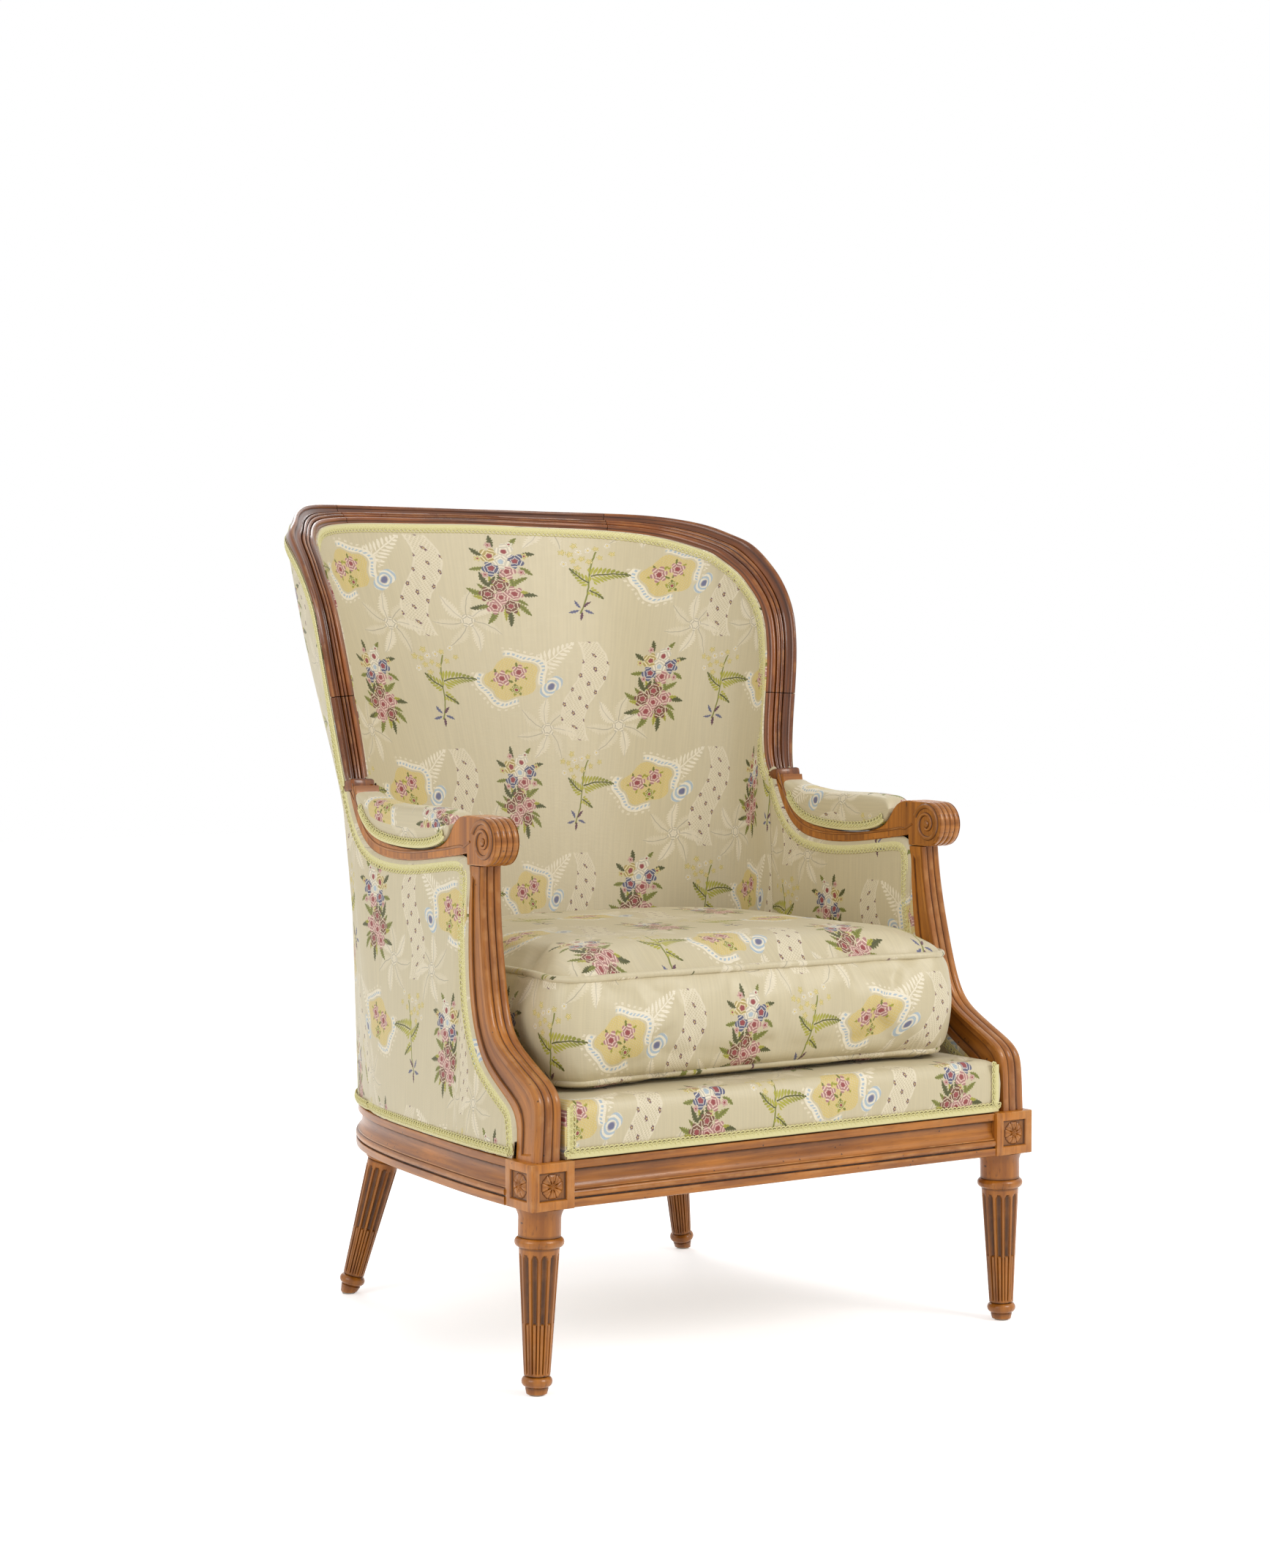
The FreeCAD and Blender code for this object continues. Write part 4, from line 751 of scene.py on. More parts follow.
    def _lace(self) -> None:
        """Winding band of lace with small dark stars."""
        g, c = self.g, self.colours
        x, y = self._cell(134.0, 196.0)
        bent = g.sub(x, g.mul(g.sine(g.mul(y, 0.045)), 13.0))
        wide = g.mul_add(g.cosine(g.mul(y, 0.028)), 5.0, 13.0)
        inside = g.mul(g.sub(wide, g.absolute(bent)), 1.2, clamp=True)
        tall = g.mul(g.sub(66.0, g.absolute(y)), 0.7, clamp=True)
        band = g.mul(inside, tall)
        net_x = g.fold(g.add(bent, y), 2.1)
        net_y = g.fold(g.sub(bent, y), 2.1)
        net = g.step(g.smaller(net_x, net_y), 1.0, 0.5)
        rim = g.step(g.sub(wide, g.absolute(bent)), 3.2, 2.4)
        self._lay(g.mul(band, g.larger(net, rim)), c.ivory)
        star_x = g.sub(g.modulo(g.add(bent, 7.5), 15.0), 7.5)
        star_y = g.sub(g.modulo(g.mul_add(bent, 0.75, y), 19.0), 9.5)
        star = g.group(self.motifs.flower, X=star_x, Y=star_y, Size=2.9, Petals=5.0)
        self._lay(g.mul(band, star.outputs["Mask"]), g.mix(star.outputs["Heart"], c.plum, c.gold))
        wing = self._cell(104.0, 246.0, 0.7)
        frond = g.group(self.motifs.fern, X=g.add(wing[0], 24.0), Y=wing[1], Length=46.0, Width=17.0, Pitch=6.5)
        self._lay(frond.outputs["Mask"], c.pale)

    def _medallion(self) -> None:
        """Gold lattice with roses inside a ribbon."""
        g, c = self.g, self.colours
        spot = self._cell(46.0, 212.0, 0.25)
        tall = (g.mul(spot[0], 0.78), spot[1])
        reach = g.reach(*tall)
        angle = g.math("ARCTAN2", tall[1], tall[0])
        edge = g.mul_add(g.sine(g.mul(angle, 5.0)), 2.6, 26.0)
        field = g.mul(g.sub(edge, reach), 1.0, clamp=True)
        net_x = g.fold(g.add(spot[0], spot[1]), 1.9)
        net_y = g.fold(g.sub(spot[0], spot[1]), 1.9)
        net = g.step(g.smaller(net_x, net_y), 1.1, 0.7)
        self._lay(g.mul(field, g.mul_add(net, 0.6, 0.4)), c.gold)
        band = g.sub(reach, edge)
        open_half = g.step(g.sine(g.mul_add(angle, 2.0, 0.6)), -0.62, -0.42)
        ribbon = g.mul(g.step(g.absolute(g.sub(band, 5.5)), 4.2, 3.5), open_half)
        stripe = g.step(g.sine(g.mul_add(angle, 46.0, g.mul(band, 0.5))), -0.1, 0.3)
        lining = g.step(g.absolute(g.sub(band, 5.0)), 1.7, 1.2)
        self._lay(ribbon, g.mix(lining, c.pale, g.mix(stripe, c.blue, c.pale)))
        dots = g.mul(g.step(g.absolute(g.sub(band, 12.2)), 1.6, 1.0), open_half)
        bead = g.step(g.sine(g.mul(angle, 34.0)), 0.0, 0.5)
        self._lay(g.mul(dots, bead), c.ivory)
        for x, y, size in ((-12.0, 4.0, 11.0), (11.0, 6.0, 10.0), (1.0, -15.0, 6.5)):
            at = self._moved(spot, x, y)
            self._leaves(at, 5.0, size * 0.6, size * 0.8, 2.4, x, c.green, c.lime)
            self._flowers(at, 1.0, 0.0, size, 0.0, 6.0, [c.pink if size > 7 else c.lime], c.rose)
        bow = self._moved(spot, 44.0, -22.0, 0.5)
        loops = g.group(self.motifs.flower, X=g.mul(bow[0], 0.7), Y=bow[1], Size=12.0, Petals=2.0)
        shine = g.mix(g.step(loops.outputs["Tone"], 0.3, 0.7), c.blue, c.pale)
        self._lay(loops.outputs["Mask"], g.mix(loops.outputs["Heart"], shine, c.slate))

    def _sprig(self) -> None:
        """Yellow sprig with a frond and a drooping bud."""
        g, c = self.g, self.colours
        spot = self._cell(136.0, 66.0)
        x, y = self._moved(spot, 0.0, 0.0, 1.35)
        stem = g.mul(g.step(g.absolute(g.sub(y, g.mul(g.sine(g.mul(x, 0.06)), 3.0))), 1.2, 0.6),
                      g.math("LESS_THAN", g.absolute(g.sub(x, -2.0)), 42.0))
        self._lay(stem, c.green)
        for px, py, turn, length in ((2.0, 6.0, 0.35, 40.0), (0.0, -2.0, 2.6, 27.0), (1.0, -12.0, -0.5, 19.0)):
            fx, fy = self._moved(spot, px, py, turn)
            bend = g.mul_add(g.mul(fx, fx), 0.008, fy)
            frond = g.group(self.motifs.fern, X=fx, Y=bend, Length=length, Width=length * 0.34, Pitch=4.6)
            tone = g.mix(g.step(fx, 4.0, length), c.lime, c.green)
            self._lay(frond.outputs["Mask"], g.mix(frond.outputs["Vein"], tone, c.dark_green))
        for px, py, count, radius, size in ((-14.0, 32.0, 6.0, 15.0, 4.2), (-14.0, 33.0, 4.0, 6.5, 4.0),
                                            (14.0, 40.0, 4.0, 9.0, 3.8)):
            self._flowers(self._moved(spot, px, py), count, radius, size, 0.4, 5.0, [c.yellow, c.pale, c.yellow],
                          c.gold)
        bud = self._moved(spot, -5.0, -44.0, -1.3)
        self._leaves((g.add(bud[0], 6.0), bud[1]), 5.0, 2.0, 13.0, 2.6, 0.2, c.plum, c.slate)

    def _nosegay(self) -> None:
        """Large mixed nosegay."""
        c = self.colours
        spot = self._cell(44.0, 70.0, -0.3)
        top, low = self._moved(spot, -4.0, 20.0), self._moved(spot, 7.0, -26.0)
        self._leaves(low, 9.0, 17.0, 23.0, 4.6, 0.2, c.green, c.dark_green)
        self._leaves(low, 11.0, 14.0, 18.0, 3.4, 0.5, c.lime, c.green)
        self._leaves(top, 8.0, 20.0, 17.0, 3.8, 0.1, c.green, c.dark_green)
        self._flowers(top, 7.0, 25.0, 4.2, 0.3, 5.0, [c.pink, c.yellow, c.pale], c.rose)
        self._flowers(low, 5.0, 15.0, 10.5, 0.6, 6.0, [c.brown, c.pink, c.brown], c.rose)
        self._flowers(low, 1.0, 0.0, 9.5, 0.0, 6.0, [c.pink], c.rose)
        self._flowers(top, 5.0, 14.0, 10.5, 0.9, 5.0, [c.pink, c.gold, c.slate, c.pale], c.rose)
        self._flowers(top, 1.0, 0.0, 10.0, 0.0, 5.0, [c.pale], c.blue)


def wood_group() -> bpy.types.NodeTree:
    """Grain, pores and worm marks of old waxed wood, with painted shade in its grooves and crests drawn lighter as wear
    and painted highlight.
    """
    g, into, out = new_group(
        "waxed wood",
        {"Place": ("Vector", (0.0, 0.0, 0.0)), "Recess": ("Float", 0.0), "Light": ("Color", (1, 1, 1, 1)),
         "Dark": ("Color", (0, 0, 0, 1)), "Dirt": ("Color", (0, 0, 0, 1)), "Worn": ("Color", (1, 1, 1, 1)), "Specks": (
             "Float", 0.5)},
        {"Color": "Color", "Height": "Float", "Gloss": "Float"},
    )
    spot = into["Place"]
    long_grain = g.noise(g.stretch(spot, (7.0, 150.0, 150.0)), 1.0, 4.0, 0.6)
    figure = g.noise(g.stretch(spot, (3.0, 16.0, 16.0)), 1.0, 3.0, 0.55)
    flecks = g.noise(g.stretch(spot, (70.0, 900.0, 900.0)), 1.0, 2.0, 0.6)
    patches = g.noise(spot, 9.0, 3.0, 0.6)
    grain = g.add(g.mul(long_grain, 0.55), g.mul(figure, 0.45))
    colour = g.mix(g.step(grain, 0.36, 0.64), into["Dark"], into["Light"])
    colour = g.shade(colour, g.step(patches, 0.3, 0.72, 0.84, 1.12))
    pores = g.step(flecks, 0.60, 0.70)
    colour = g.mix(g.mul(pores, 0.35), colour, into["Dirt"])
    worm = g.node("ShaderNodeTexVoronoi")
    g.plug(worm.inputs["Vector"], spot)
    worm.inputs["Scale"].default_value = 130.0
    holes = g.mul(g.step(worm.outputs["Distance"], 0.17, 0.1), g.math("GREATER_THAN", g.noise(spot, 23.0, 2.0), 0.58))
    holes = g.mul(holes, into["Specks"])
    colour = g.mix(holes, colour, into["Dirt"])
    # Painted shade: the deeper a point lies in the carving, the more it takes the dark colour of pores and holes,
    # standing in for shade in the grooves.
    deep = g.mul(into["Recess"], g.step(g.noise(spot, 60.0, 3.0), 0.2, 0.6, 0.7, 1.0), clamp=True)
    colour = g.mix(deep, colour, into["Dirt"])
    # Crests of the carving are drawn in a lighter colour: partly rubbed wear, partly painted highlight.
    worn = g.mul(g.mul(into["Recess"], -1.0), g.step(g.noise(spot, 45.0, 4.0), 0.42, 0.66), clamp=True)
    colour = g.mix(worn, colour, into["Worn"])
    g.plug(out["Color"], colour)
    g.plug(out["Height"], g.sub(g.mul(long_grain, 0.35), g.sum(g.mul(pores, 0.2), holes)))
    g.plug(out["Gloss"], g.sum(g.mul(patches, 0.16), g.mul(deep, 0.3), g.mul(worn, 0.12)))
    return g.tree


@dataclass(frozen=True)
class WoodFinish:
    """Waxed and polished wood of one tone."""

    name: str
    light: tuple
    dark: tuple
    # The first colour below serves pores, worm holes and the painted shade in grooves; the second colours crests as
    # wear and painted highlight.
    dirt: tuple = srgb(44, 22, 8)
    worn: tuple = srgb(205, 150, 92)
    polish: float = 0.45
    specks: float = 0.8
    roughness: float = 0.27

    def material(self, group: bpy.types.NodeTree) -> bpy.types.Material:
        """Make the finish.

        Args:
            group: the wood's grain.

        Returns:
            A material that reads the piece's own surface.
        """
        material, g, shader = new_material(self.name)
        place_node = g.node("ShaderNodeUVMap", uv_map="UVMap")
        marks = g.node("ShaderNodeAttribute", attribute_name="recess")
        wood = g.group(group, Place=place_node.outputs[0], Recess=marks.outputs["Fac"], Light=self.light,
                       Dark=self.dark,
                       Dirt=self.dirt, Worn=self.worn, Specks=self.specks)
        g.plug(shader.inputs["Base Color"], wood.outputs["Color"])
        g.plug(shader.inputs["Roughness"], g.add(wood.outputs["Gloss"], self.roughness))
        g.plug(shader.inputs["Normal"], g.bump(wood.outputs["Height"], 0.35, 0.0006))
        g.fix(shader, Coat_Weight=self.polish, Coat_Roughness=0.12, Specular_IOR_Level=0.35)
        return material


@dataclass(frozen=True)
class SilkFinish:
    """Brocaded silk in one direction of its design."""

    name: str
    sheen: float = 0.35

    def material(self, brocade: bpy.types.NodeTree) -> bpy.types.Material:
        """Make the finish from the woven design."""
        material, g, shader = new_material(self.name)
        place_node = g.node("ShaderNodeUVMap", uv_map="UVMap")
        silk = g.group(brocade, Place=place_node.outputs[0])
        g.plug(shader.inputs["Base Color"], silk.outputs["Color"])
        g.plug(shader.inputs["Roughness"], g.mul_add(silk.outputs["Float"], 0.16, 0.40))
        g.plug(shader.inputs["Normal"], g.bump(silk.outputs["Thread"]))
        g.fix(shader, Sheen_Weight=self.sheen, Sheen_Roughness=0.35, Sheen_Tint=srgb(244, 238, 214),
              Specular_IOR_Level=0.55)
        return material


@dataclass(frozen=True)
class ThreadFinish:
    """Twisted thread, cord or coarse cloth of two tones."""

    name: str
    light: tuple
    dark: tuple
    pitch: float = 900.0
    roughness: float = 0.62

    def material(self) -> bpy.types.Material:
        """Make the finish on the piece's place in space."""
        material, g, shader = new_material(self.name)
        spot = g.node("ShaderNodeTexCoord").outputs["Object"]
        split = g.node("ShaderNodeSeparateXYZ")
        g.plug(split.inputs[0], spot)
        across = g.sine(g.mul(g.add(split.outputs[0], split.outputs[1]), self.pitch * 3))
        upward = g.sine(g.mul(split.outputs[2], self.pitch * 3))
        weave = g.mul_add(g.mul(across, upward), 0.5, 0.5)
        fuzz = g.noise(spot, self.pitch, 3.0, 0.6)
        share = g.add(g.mul(weave, 0.5), g.mul(fuzz, 0.5))
        g.plug(shader.inputs["Base Color"], g.mix(g.step(share, 0.3, 0.7), self.dark, self.light))
        g.plug(shader.inputs["Roughness"], g.mul_add(fuzz, 0.12, self.roughness))
        g.plug(shader.inputs["Normal"], g.bump(share))
        g.fix(shader, Sheen_Weight=0.25)
        return material


class Finishes:
    """Every material of the chair."""

    def __init__(self) -> None:
        """Build the shared groups and the materials."""
        wood = wood_group()
        brocade = Brocade(Motifs(), SilkColours()).tree
        self.frame_wood = WoodFinish("polished back frame", srgb(150, 82, 24), srgb(90, 44, 10), polish=0.4, specks=0.3,
                                     roughness=0.2, worn=srgb(190, 128, 66)).material(wood)
        self.rail_wood = WoodFinish("waxed rails and legs", srgb(190, 118, 38), srgb(138, 78, 18),
                                    polish=0.3).material(wood)
        self.raw_wood = ThreadFinish("sawn inner wood", srgb(196, 158, 108), srgb(150, 112, 70), pitch=160.0,
                                     roughness=0.75).material()
        self.silk = SilkFinish("brocaded silk").material(brocade)
        self.braid_band = ThreadFinish("cream braid band", srgb(236, 228, 176), srgb(206, 196, 132)).material()
        self.braid_loop = ThreadFinish("green and gold loops", srgb(238, 230, 176), srgb(204, 194, 118),
                                       pitch=1400.0).material()
        self.linen = ThreadFinish("hessian", srgb(176, 150, 108), srgb(112, 90, 60), pitch=1300.0,
                                  roughness=0.85).material()
        self.webbing = ThreadFinish("seat webbing", srgb(190, 172, 134), srgb(132, 112, 78), pitch=1000.0,
                                    roughness=0.8).material()
        self.metal = self._metal()

    @staticmethod
    def _metal() -> bpy.types.Material:
        """Dull scuffed steel of the glides."""
        material, g, shader = new_material("scuffed glide")
        spot = g.node("ShaderNodeTexCoord").outputs["Object"]
        scuff = g.noise(spot, 600.0, 4.0, 0.7)
        g.plug(shader.inputs["Base Color"], g.mix(scuff, srgb(120, 112, 100), srgb(170, 164, 152)))
        g.plug(shader.inputs["Roughness"], g.mul_add(scuff, 0.3, 0.35))
        shader.inputs["Metallic"].default_value = 1.0
        return material


def dress(obj: bpy.types.Object, material: bpy.types.Material, body: str = CHAIR,
          nodes: Sequence[str] = ()) -> bpy.types.Object:
    """Give a piece its finish, its body and the solids that it stands for.

    Args:
        obj: the piece.
        material: its finish.
        body: what it moves with.
        nodes: the solids that it replaces.

    Returns:
        The same piece.
    """
    obj.data.materials.clear()
    obj.data.materials.append(material)
    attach(obj, body)
    known = [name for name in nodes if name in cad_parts]
    if known:
        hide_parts(*known)
    LOG.info("%s: %d faces", obj.name, len(obj.data.polygons))
    return obj


# Back frame and covers of the back


@dataclass
class Back:
    """Wraparound back: moulded frame, covers inside and outside."""

    outer: tuple = (
        (330.0, 417.0, 640.0), (336.0, 428.0, 700.0), (347.5, 436.0, 780.0), (353.5, 448.0, 845.0), (
            354.5, 472.0, 888.0),
        (352.0, 496.0, 914.5), (346.0, 529.0, 941.5), (330.0, 553.0, 956.0), (313.0, 580.0, 968.0), (
            290.0, 613.0, 977.5),
        (250.0, 656.0, 985.0), (180.0, 690.0, 987.7), (90.0, 703.0, 988.4), (0.0, 707.0, 988.6),
    )
    inner: tuple = (
        (297.0, 422.0, 640.0), (298.0, 437.5, 701.0), (309.5, 446.5, 783.0), (315.5, 464.0, 849.0), (
            314.0, 490.0, 884.0),
        (309.5, 512.0, 906.0), (302.0, 538.0, 923.8), (296.0, 555.0, 934.0), (286.0, 575.0, 941.5), (
            269.0, 603.0, 951.0),
        (238.0, 637.0, 960.5), (175.0, 666.0, 966.5), (88.0, 678.5, 968.5), (0.0, 682.0, 969.9),
    )
    depth_way: tuple = (
        (0.0, 1.0, 0.0), (0.0, 1.0, -0.01), (0.0, 1.0, -0.03), (0.0, 1.0, -0.08), (-0.05, 0.98, -0.2), (
            -0.08, 0.93, -0.35),
        (-0.1, 0.88, -0.45), (-0.1, 0.83, -0.55), (-0.08, 0.78, -0.62), (-0.05, 0.74, -0.67), (-0.03, 0.7, -0.71),
        (-0.01, 0.66, -0.75), (0.0, 0.64, -0.77), (0.0, 0.63, -0.78),
    )
    outer_side: tuple = (3.0, 3.0, 3.0, 4.0, 7.0, 12.0, 17.0, 20.0, 22.0, 22.0, 22.0, 22.0, 22.0, 22.0)
    inner_side: float = 5.0
    frame_depth: float = 25.0
    # Moulding as (share of the width from the outer edge, depth below the face, recess)
    moulding: tuple = (
        (0.0, 4.2, 0.1), (0.012, 2.4, 0.0), (0.04, 0.8, -0.2), (0.075, 0.1, -0.45), (0.105, 0.0, -0.4), (
            0.14, 0.5, -0.1),
        (0.17, 1.7, 0.0), (0.185, 3.4, 0.7), (0.2, 3.6, 0.6), (0.23, 3.9, 0.1), (0.27, 4.7, 0.15), (0.31, 5.0, 0.2),
        (0.345, 4.5, 0.1), (0.375, 3.2, 0.0), (0.39, 3.0, -0.1), (0.396, 5.4, 0.9), (0.412, 6.4, 1.0), (0.43, 5.2, 0.9),
        (0.436, 3.3, 0.1), (0.45, 1.9, -0.1), (0.475, 1.0, -0.4), (0.5, 0.8, -0.4), (0.525, 1.1, -0.3), (
            0.548, 2.1, 0.0),
        (0.56, 4.6, 0.9), (0.57, 4.6, 0.9), (0.582, 2.1, 0.0), (0.605, 1.1, -0.3), (0.63, 0.8, -0.4), (
            0.655, 1.0, -0.4),
        (0.68, 1.9, -0.1), (0.695, 3.4, 0.2), (0.702, 5.2, 0.9), (0.716, 5.4, 0.9), (0.724, 3.2, 0.2), (0.75, 1.7, 0.0),
        (0.79, 0.7, -0.3), (0.83, 0.5, -0.3), (0.87, 1.0, -0.1), (0.905, 2.2, 0.0), (0.915, 3.7, 0.7), (0.93, 3.9, 0.5),
        (0.965, 4.0, 0.0), (0.99, 4.2, -0.1), (1.0, 4.8, 0.0),
    )
    skin_low: tuple = (
        ((288.0, 400.0), (313.0, 388.0)), ((283.5, 420.0), (308.5, 409.0)), ((277.0, 439.0), (302.5, 432.0)),
        ((268.0, 457.0), (295.5, 454.0)), ((257.0, 474.0), (286.5, 475.0)), ((243.0, 489.0), (275.5, 494.0)),
        ((227.0, 501.0), (262.0, 512.0)), ((208.0, 511.0), (245.0, 530.0)), ((185.0, 519.0), (222.0, 548.0)),
        ((157.0, 526.0), (190.0, 566.0)), ((122.0, 531.0), (147.0, 582.0)), ((82.0, 535.0), (98.0, 592.0)),
        ((41.0, 537.0), (49.0, 597.0)), ((0.0, 538.0), (0.0, 598.0)),
    )
    skin_bend: tuple = (
        ((293.2, 414.5), (327.0, 416.0)), ((288.5, 433.0), (322.0, 434.0)), ((283.0, 451.0), (309.0, 450.0)),
        ((275.0, 469.0), (300.0, 467.5)), ((265.0, 486.0), (290.0, 485.0)), ((252.0, 502.0), (279.5, 503.0)),
        ((237.0, 516.0), (266.0, 522.0)), ((219.0, 529.0), (250.0, 540.0)), ((197.0, 541.0), (229.0, 558.0)),
        ((169.0, 552.0), (198.0, 578.0)), ((133.0, 562.0), (151.0, 598.0)), ((90.0, 569.0), (100.0, 611.0)),
        ((45.0, 573.5), (50.0, 618.0)), ((0.0, 575.0), (0.0, 620.0)),
    )
    inner_swell: tuple = (1.0, 4.0, 5.0, 5.0, 5.0, 5.0, 5.0, 5.0, 5.0, 5.0, 5.0, 5.0, 5.0, 5.0)
    outer_swell: tuple = (0.0, 1.0, 3.0, 6.0, 7.0, 8.0, 8.0, 8.0, 7.0, 6.0, 5.0, 4.0, 3.0, 3.0)
    foot_heights: tuple = (260.0, 254.0)
    bend_heights: tuple = (480.0, 580.0)
    stile_split: float = 1.55
    crest_split: float = 10.7
    wing_seam: float = 5.0
    cloth: float = 0.002
    middle: int = 13

    def __post_init__(self) -> None:
        """Make the guiding curves from the tables."""
        self.edge_curves = [Curve(self._both(rows)) for rows in (self.outer, self.inner, self.depth_way)]
        self.skins = []
        for which in (0, 1):
            pair = []
            for rows, height in ((self.skin_low, self.foot_heights[which]), (self.skin_bend, self.bend_heights[which])):
                pair.append(Curve(self._both([(*row[which], height) for row in rows])))
            self.skins.append(pair)

    @staticmethod
    def _both(rows: Sequence[Row]) -> list[tuple[float, ...]]:
        """Rows of the right side, then the same ones mirrored."""
        return [tuple(row) for row in rows] + [(-row[0], *row[1:]) for row in reversed(rows[:-1])]

    def _row(self, parameter: float) -> float:
        """Row of the right side that a station belongs to."""
        return parameter if parameter <= self.middle else 2 * self.middle - parameter

    def side_depth(self, parameter: float) -> float:
        """Bare wood behind the outer edge."""
        return between(list(enumerate(self.outer_side)), self._row(parameter))

    def spot(self, parameter: float, from_inner: bool, across: float, deep: float) -> np.ndarray:
        """Point of the frame, across from one edge and deep below the face."""
        outer, inner = self.edge_curves[0].at(parameter), self.edge_curves[1].at(parameter)
        way = unit(self.edge_curves[2].at(parameter))
        toward = unit(outer - inner) if from_inner else unit(inner - outer)
        return (inner if from_inner else outer) + toward * across + way * deep

    def wood_section(self, parameter: float) -> tuple[np.ndarray, np.ndarray]:
        """Moulded section of the frame and how deep its points lie."""
        outer, inner = self.edge_curves[0].at(parameter), self.edge_curves[1].at(parameter)
        way = unit(self.edge_curves[2].at(parameter))
        side = self.side_depth(parameter)
        spots = [outer + (inner - outer) * share + way * min(deep, side - 0.5 if share < 0.01 else 99.0) for share,
                 deep, _ in self.moulding]
        marks = [mark for _, _, mark in self.moulding]
        rear = [
            self.spot(parameter, True, 0.0, self.inner_side + 1.0),
            self.spot(parameter, True, 3.0, self.inner_side + 1.0),
            self.spot(parameter, True, 3.0, self.frame_depth),
            self.spot(parameter, False, 9.0, max(side, self.frame_depth - 4.0)),
            self.spot(parameter, False, 3.0, side),
            self.spot(parameter, False, 0.4, side),
            self.spot(parameter, False, 0.0, max(side - 0.5, 2.4)),
        ]
        return np.array(spots + rear), np.array(marks + [0.3, 0.6, 0.6, 0.5, 0.4, 0.2, 0.0])

    def wood(self, name: str, start: float, end: float, node: str, finish: Finishes) -> None:
        """One length of the frame with a fine joint at its ends."""
        count = max(int((end - start) * 12), 4)
        steps = np.linspace(start + 0.006, end - 0.006, count + 1)
        made = [self.wood_section(step) for step in steps]
        obj = sweep(name, place(np.array([m[0] for m in made])), np.array([m[1] for m in made]), sharp=34.0)
        dress(obj, finish.frame_wood, nodes=(node,))

    def skin_points(self, parameter: float, inside: bool, count: int) -> np.ndarray:
        """Showing face of a skin at one station, from its foot to the frame."""
        which = 0 if inside else 1
        low, bend = (curve.at(parameter) for curve in self.skins[which])
        deep = self.inner_side + 0.5 if inside else self.side_depth(parameter) + 0.5
        top = self.spot(parameter, inside, 0.0, deep)
        middle = bend + (top - bend) * 0.6
        row = self._row(parameter)
        if inside:
            middle += unit(self.spot(parameter, True, 0, 0) - self.spot(parameter, False, 0, 0)) * between(
                list(enumerate(self.inner_swell)), row)
        else:
            out = unit(np.array([middle[0], middle[1] - 430.0, 0.0]))
            middle += out * between(list(enumerate(self.outer_swell)), row)
        knots = np.array([low, bend, middle, top])
        lengths = run_lengths(knots)
        smooth = np.linspace(0, lengths[-1], count)
        corners = np.stack([np.interp(smooth, lengths, knots[:, k]) for k in range(3)], axis=1)
        for _ in range(int(count * 0.9)):
            corners[1:-1] = corners[1:-1] * 0.5 + (corners[:-2] + corners[2:]) * 0.25
        return corners

    def cover(self, name: str, inside: bool, span: Row, lay: tuple[float, float], nodes: Sequence[str],
              finish: Finishes) -> None:
        """Silk cover of the back.

        Args:
            name: the piece's name.
            inside: whether it faces the sitter.
            span: first and last station.
            lay: where the pattern starts, in metres.
            nodes: the solids that it replaces.
            finish: the materials.
        """
        start, end = span
        steps = np.linspace(start, end, max(int((end - start) * 8), 8) + 1)
        face = place(np.array([self.skin_points(step, inside, 56) for step in steps]))
        if inside:
            face = face[::-1]
        obj = cloth_layer(name, face, self.cloth, inside, lay)
        dress(obj, finish.silk, nodes=nodes)

    def edge_path(self, inside: bool, start: float, end: float, count: int) -> tuple[
            np.ndarray, np.ndarray, np.ndarray]:
        """Line of the braid along the frame: places, ways into the cloth and off it."""
        steps = np.linspace(start, end, count)
        spots, into_cloth, off = [], [], []
        for p in steps:
            line = self.skin_points(p, inside, 56)
            row = self._row(p)
            reach = 0.5 if row < 5 else 0.1
            beside = self.skin_points(p + (reach if p < self.middle else -reach), inside, 56)
            edge = unit(
                self.skin_points(min(p + 0.02, 26.0), inside, 4)[-1] - self.skin_points(max(p - 0.02, 0.0), inside, 4)[
                    -1])
            level = line[-1][2] - 8.0
            heights = beside[:, 2]
            down = np.array([np.interp(level, heights, beside[:, k]) for k in range(3)]) - line[-1]
            way = unit(down - edge * float(down @ edge))
            out = unit(np.cross(edge, way))
            other = self.skin_points(p, not inside, 4)[-1]
            if float(out @ (line[-1] - other)) < 0:
                out = -out
            spots.append(line[-1] + way * 1.0 + out * 0.9)
            into_cloth.append(way)
            off.append(out)
        return place(np.array(spots)), np.array(into_cloth), np.array(off)

    def build(self, finish: Finishes) -> None:
        """Make the whole back."""
        last = 2.0 * self.middle
        self.wood("stile_right", 0.0, self.stile_split, "wing_stile_right", finish)
        self.wood("shoulder_wood_right", self.stile_split, self.crest_split, "shoulder_right", finish)
        self.wood("crest", self.crest_split, last - self.crest_split, "crest_rail", finish)
        self.wood("shoulder_wood_left", last - self.crest_split, last - self.stile_split, "shoulder_left", finish)
        self.wood("stile_left", last - self.stile_split, last, "wing_stile_left", finish)
        hidden = ("inside_back_cover", "inside_back_stuffing", "inside_back_hessian")
        seam = self.wing_seam
        self.cover("inside_back_silk", True, (0.0, last), (0.02, 0.0), hidden, finish)
        self.cover("outside_back_silk", False, (seam, last - seam), (0.1, 0.05), ("outside_back_cover",), finish)
        for word, span in (("right", (0.0, seam)), ("left", (last - seam, last))):
            self.cover(f"outside_wing_silk_{word}", False, span, (0.055, 0.05), (f"outside_wing_cover_{word}",), finish)


# Arms, supports and pads


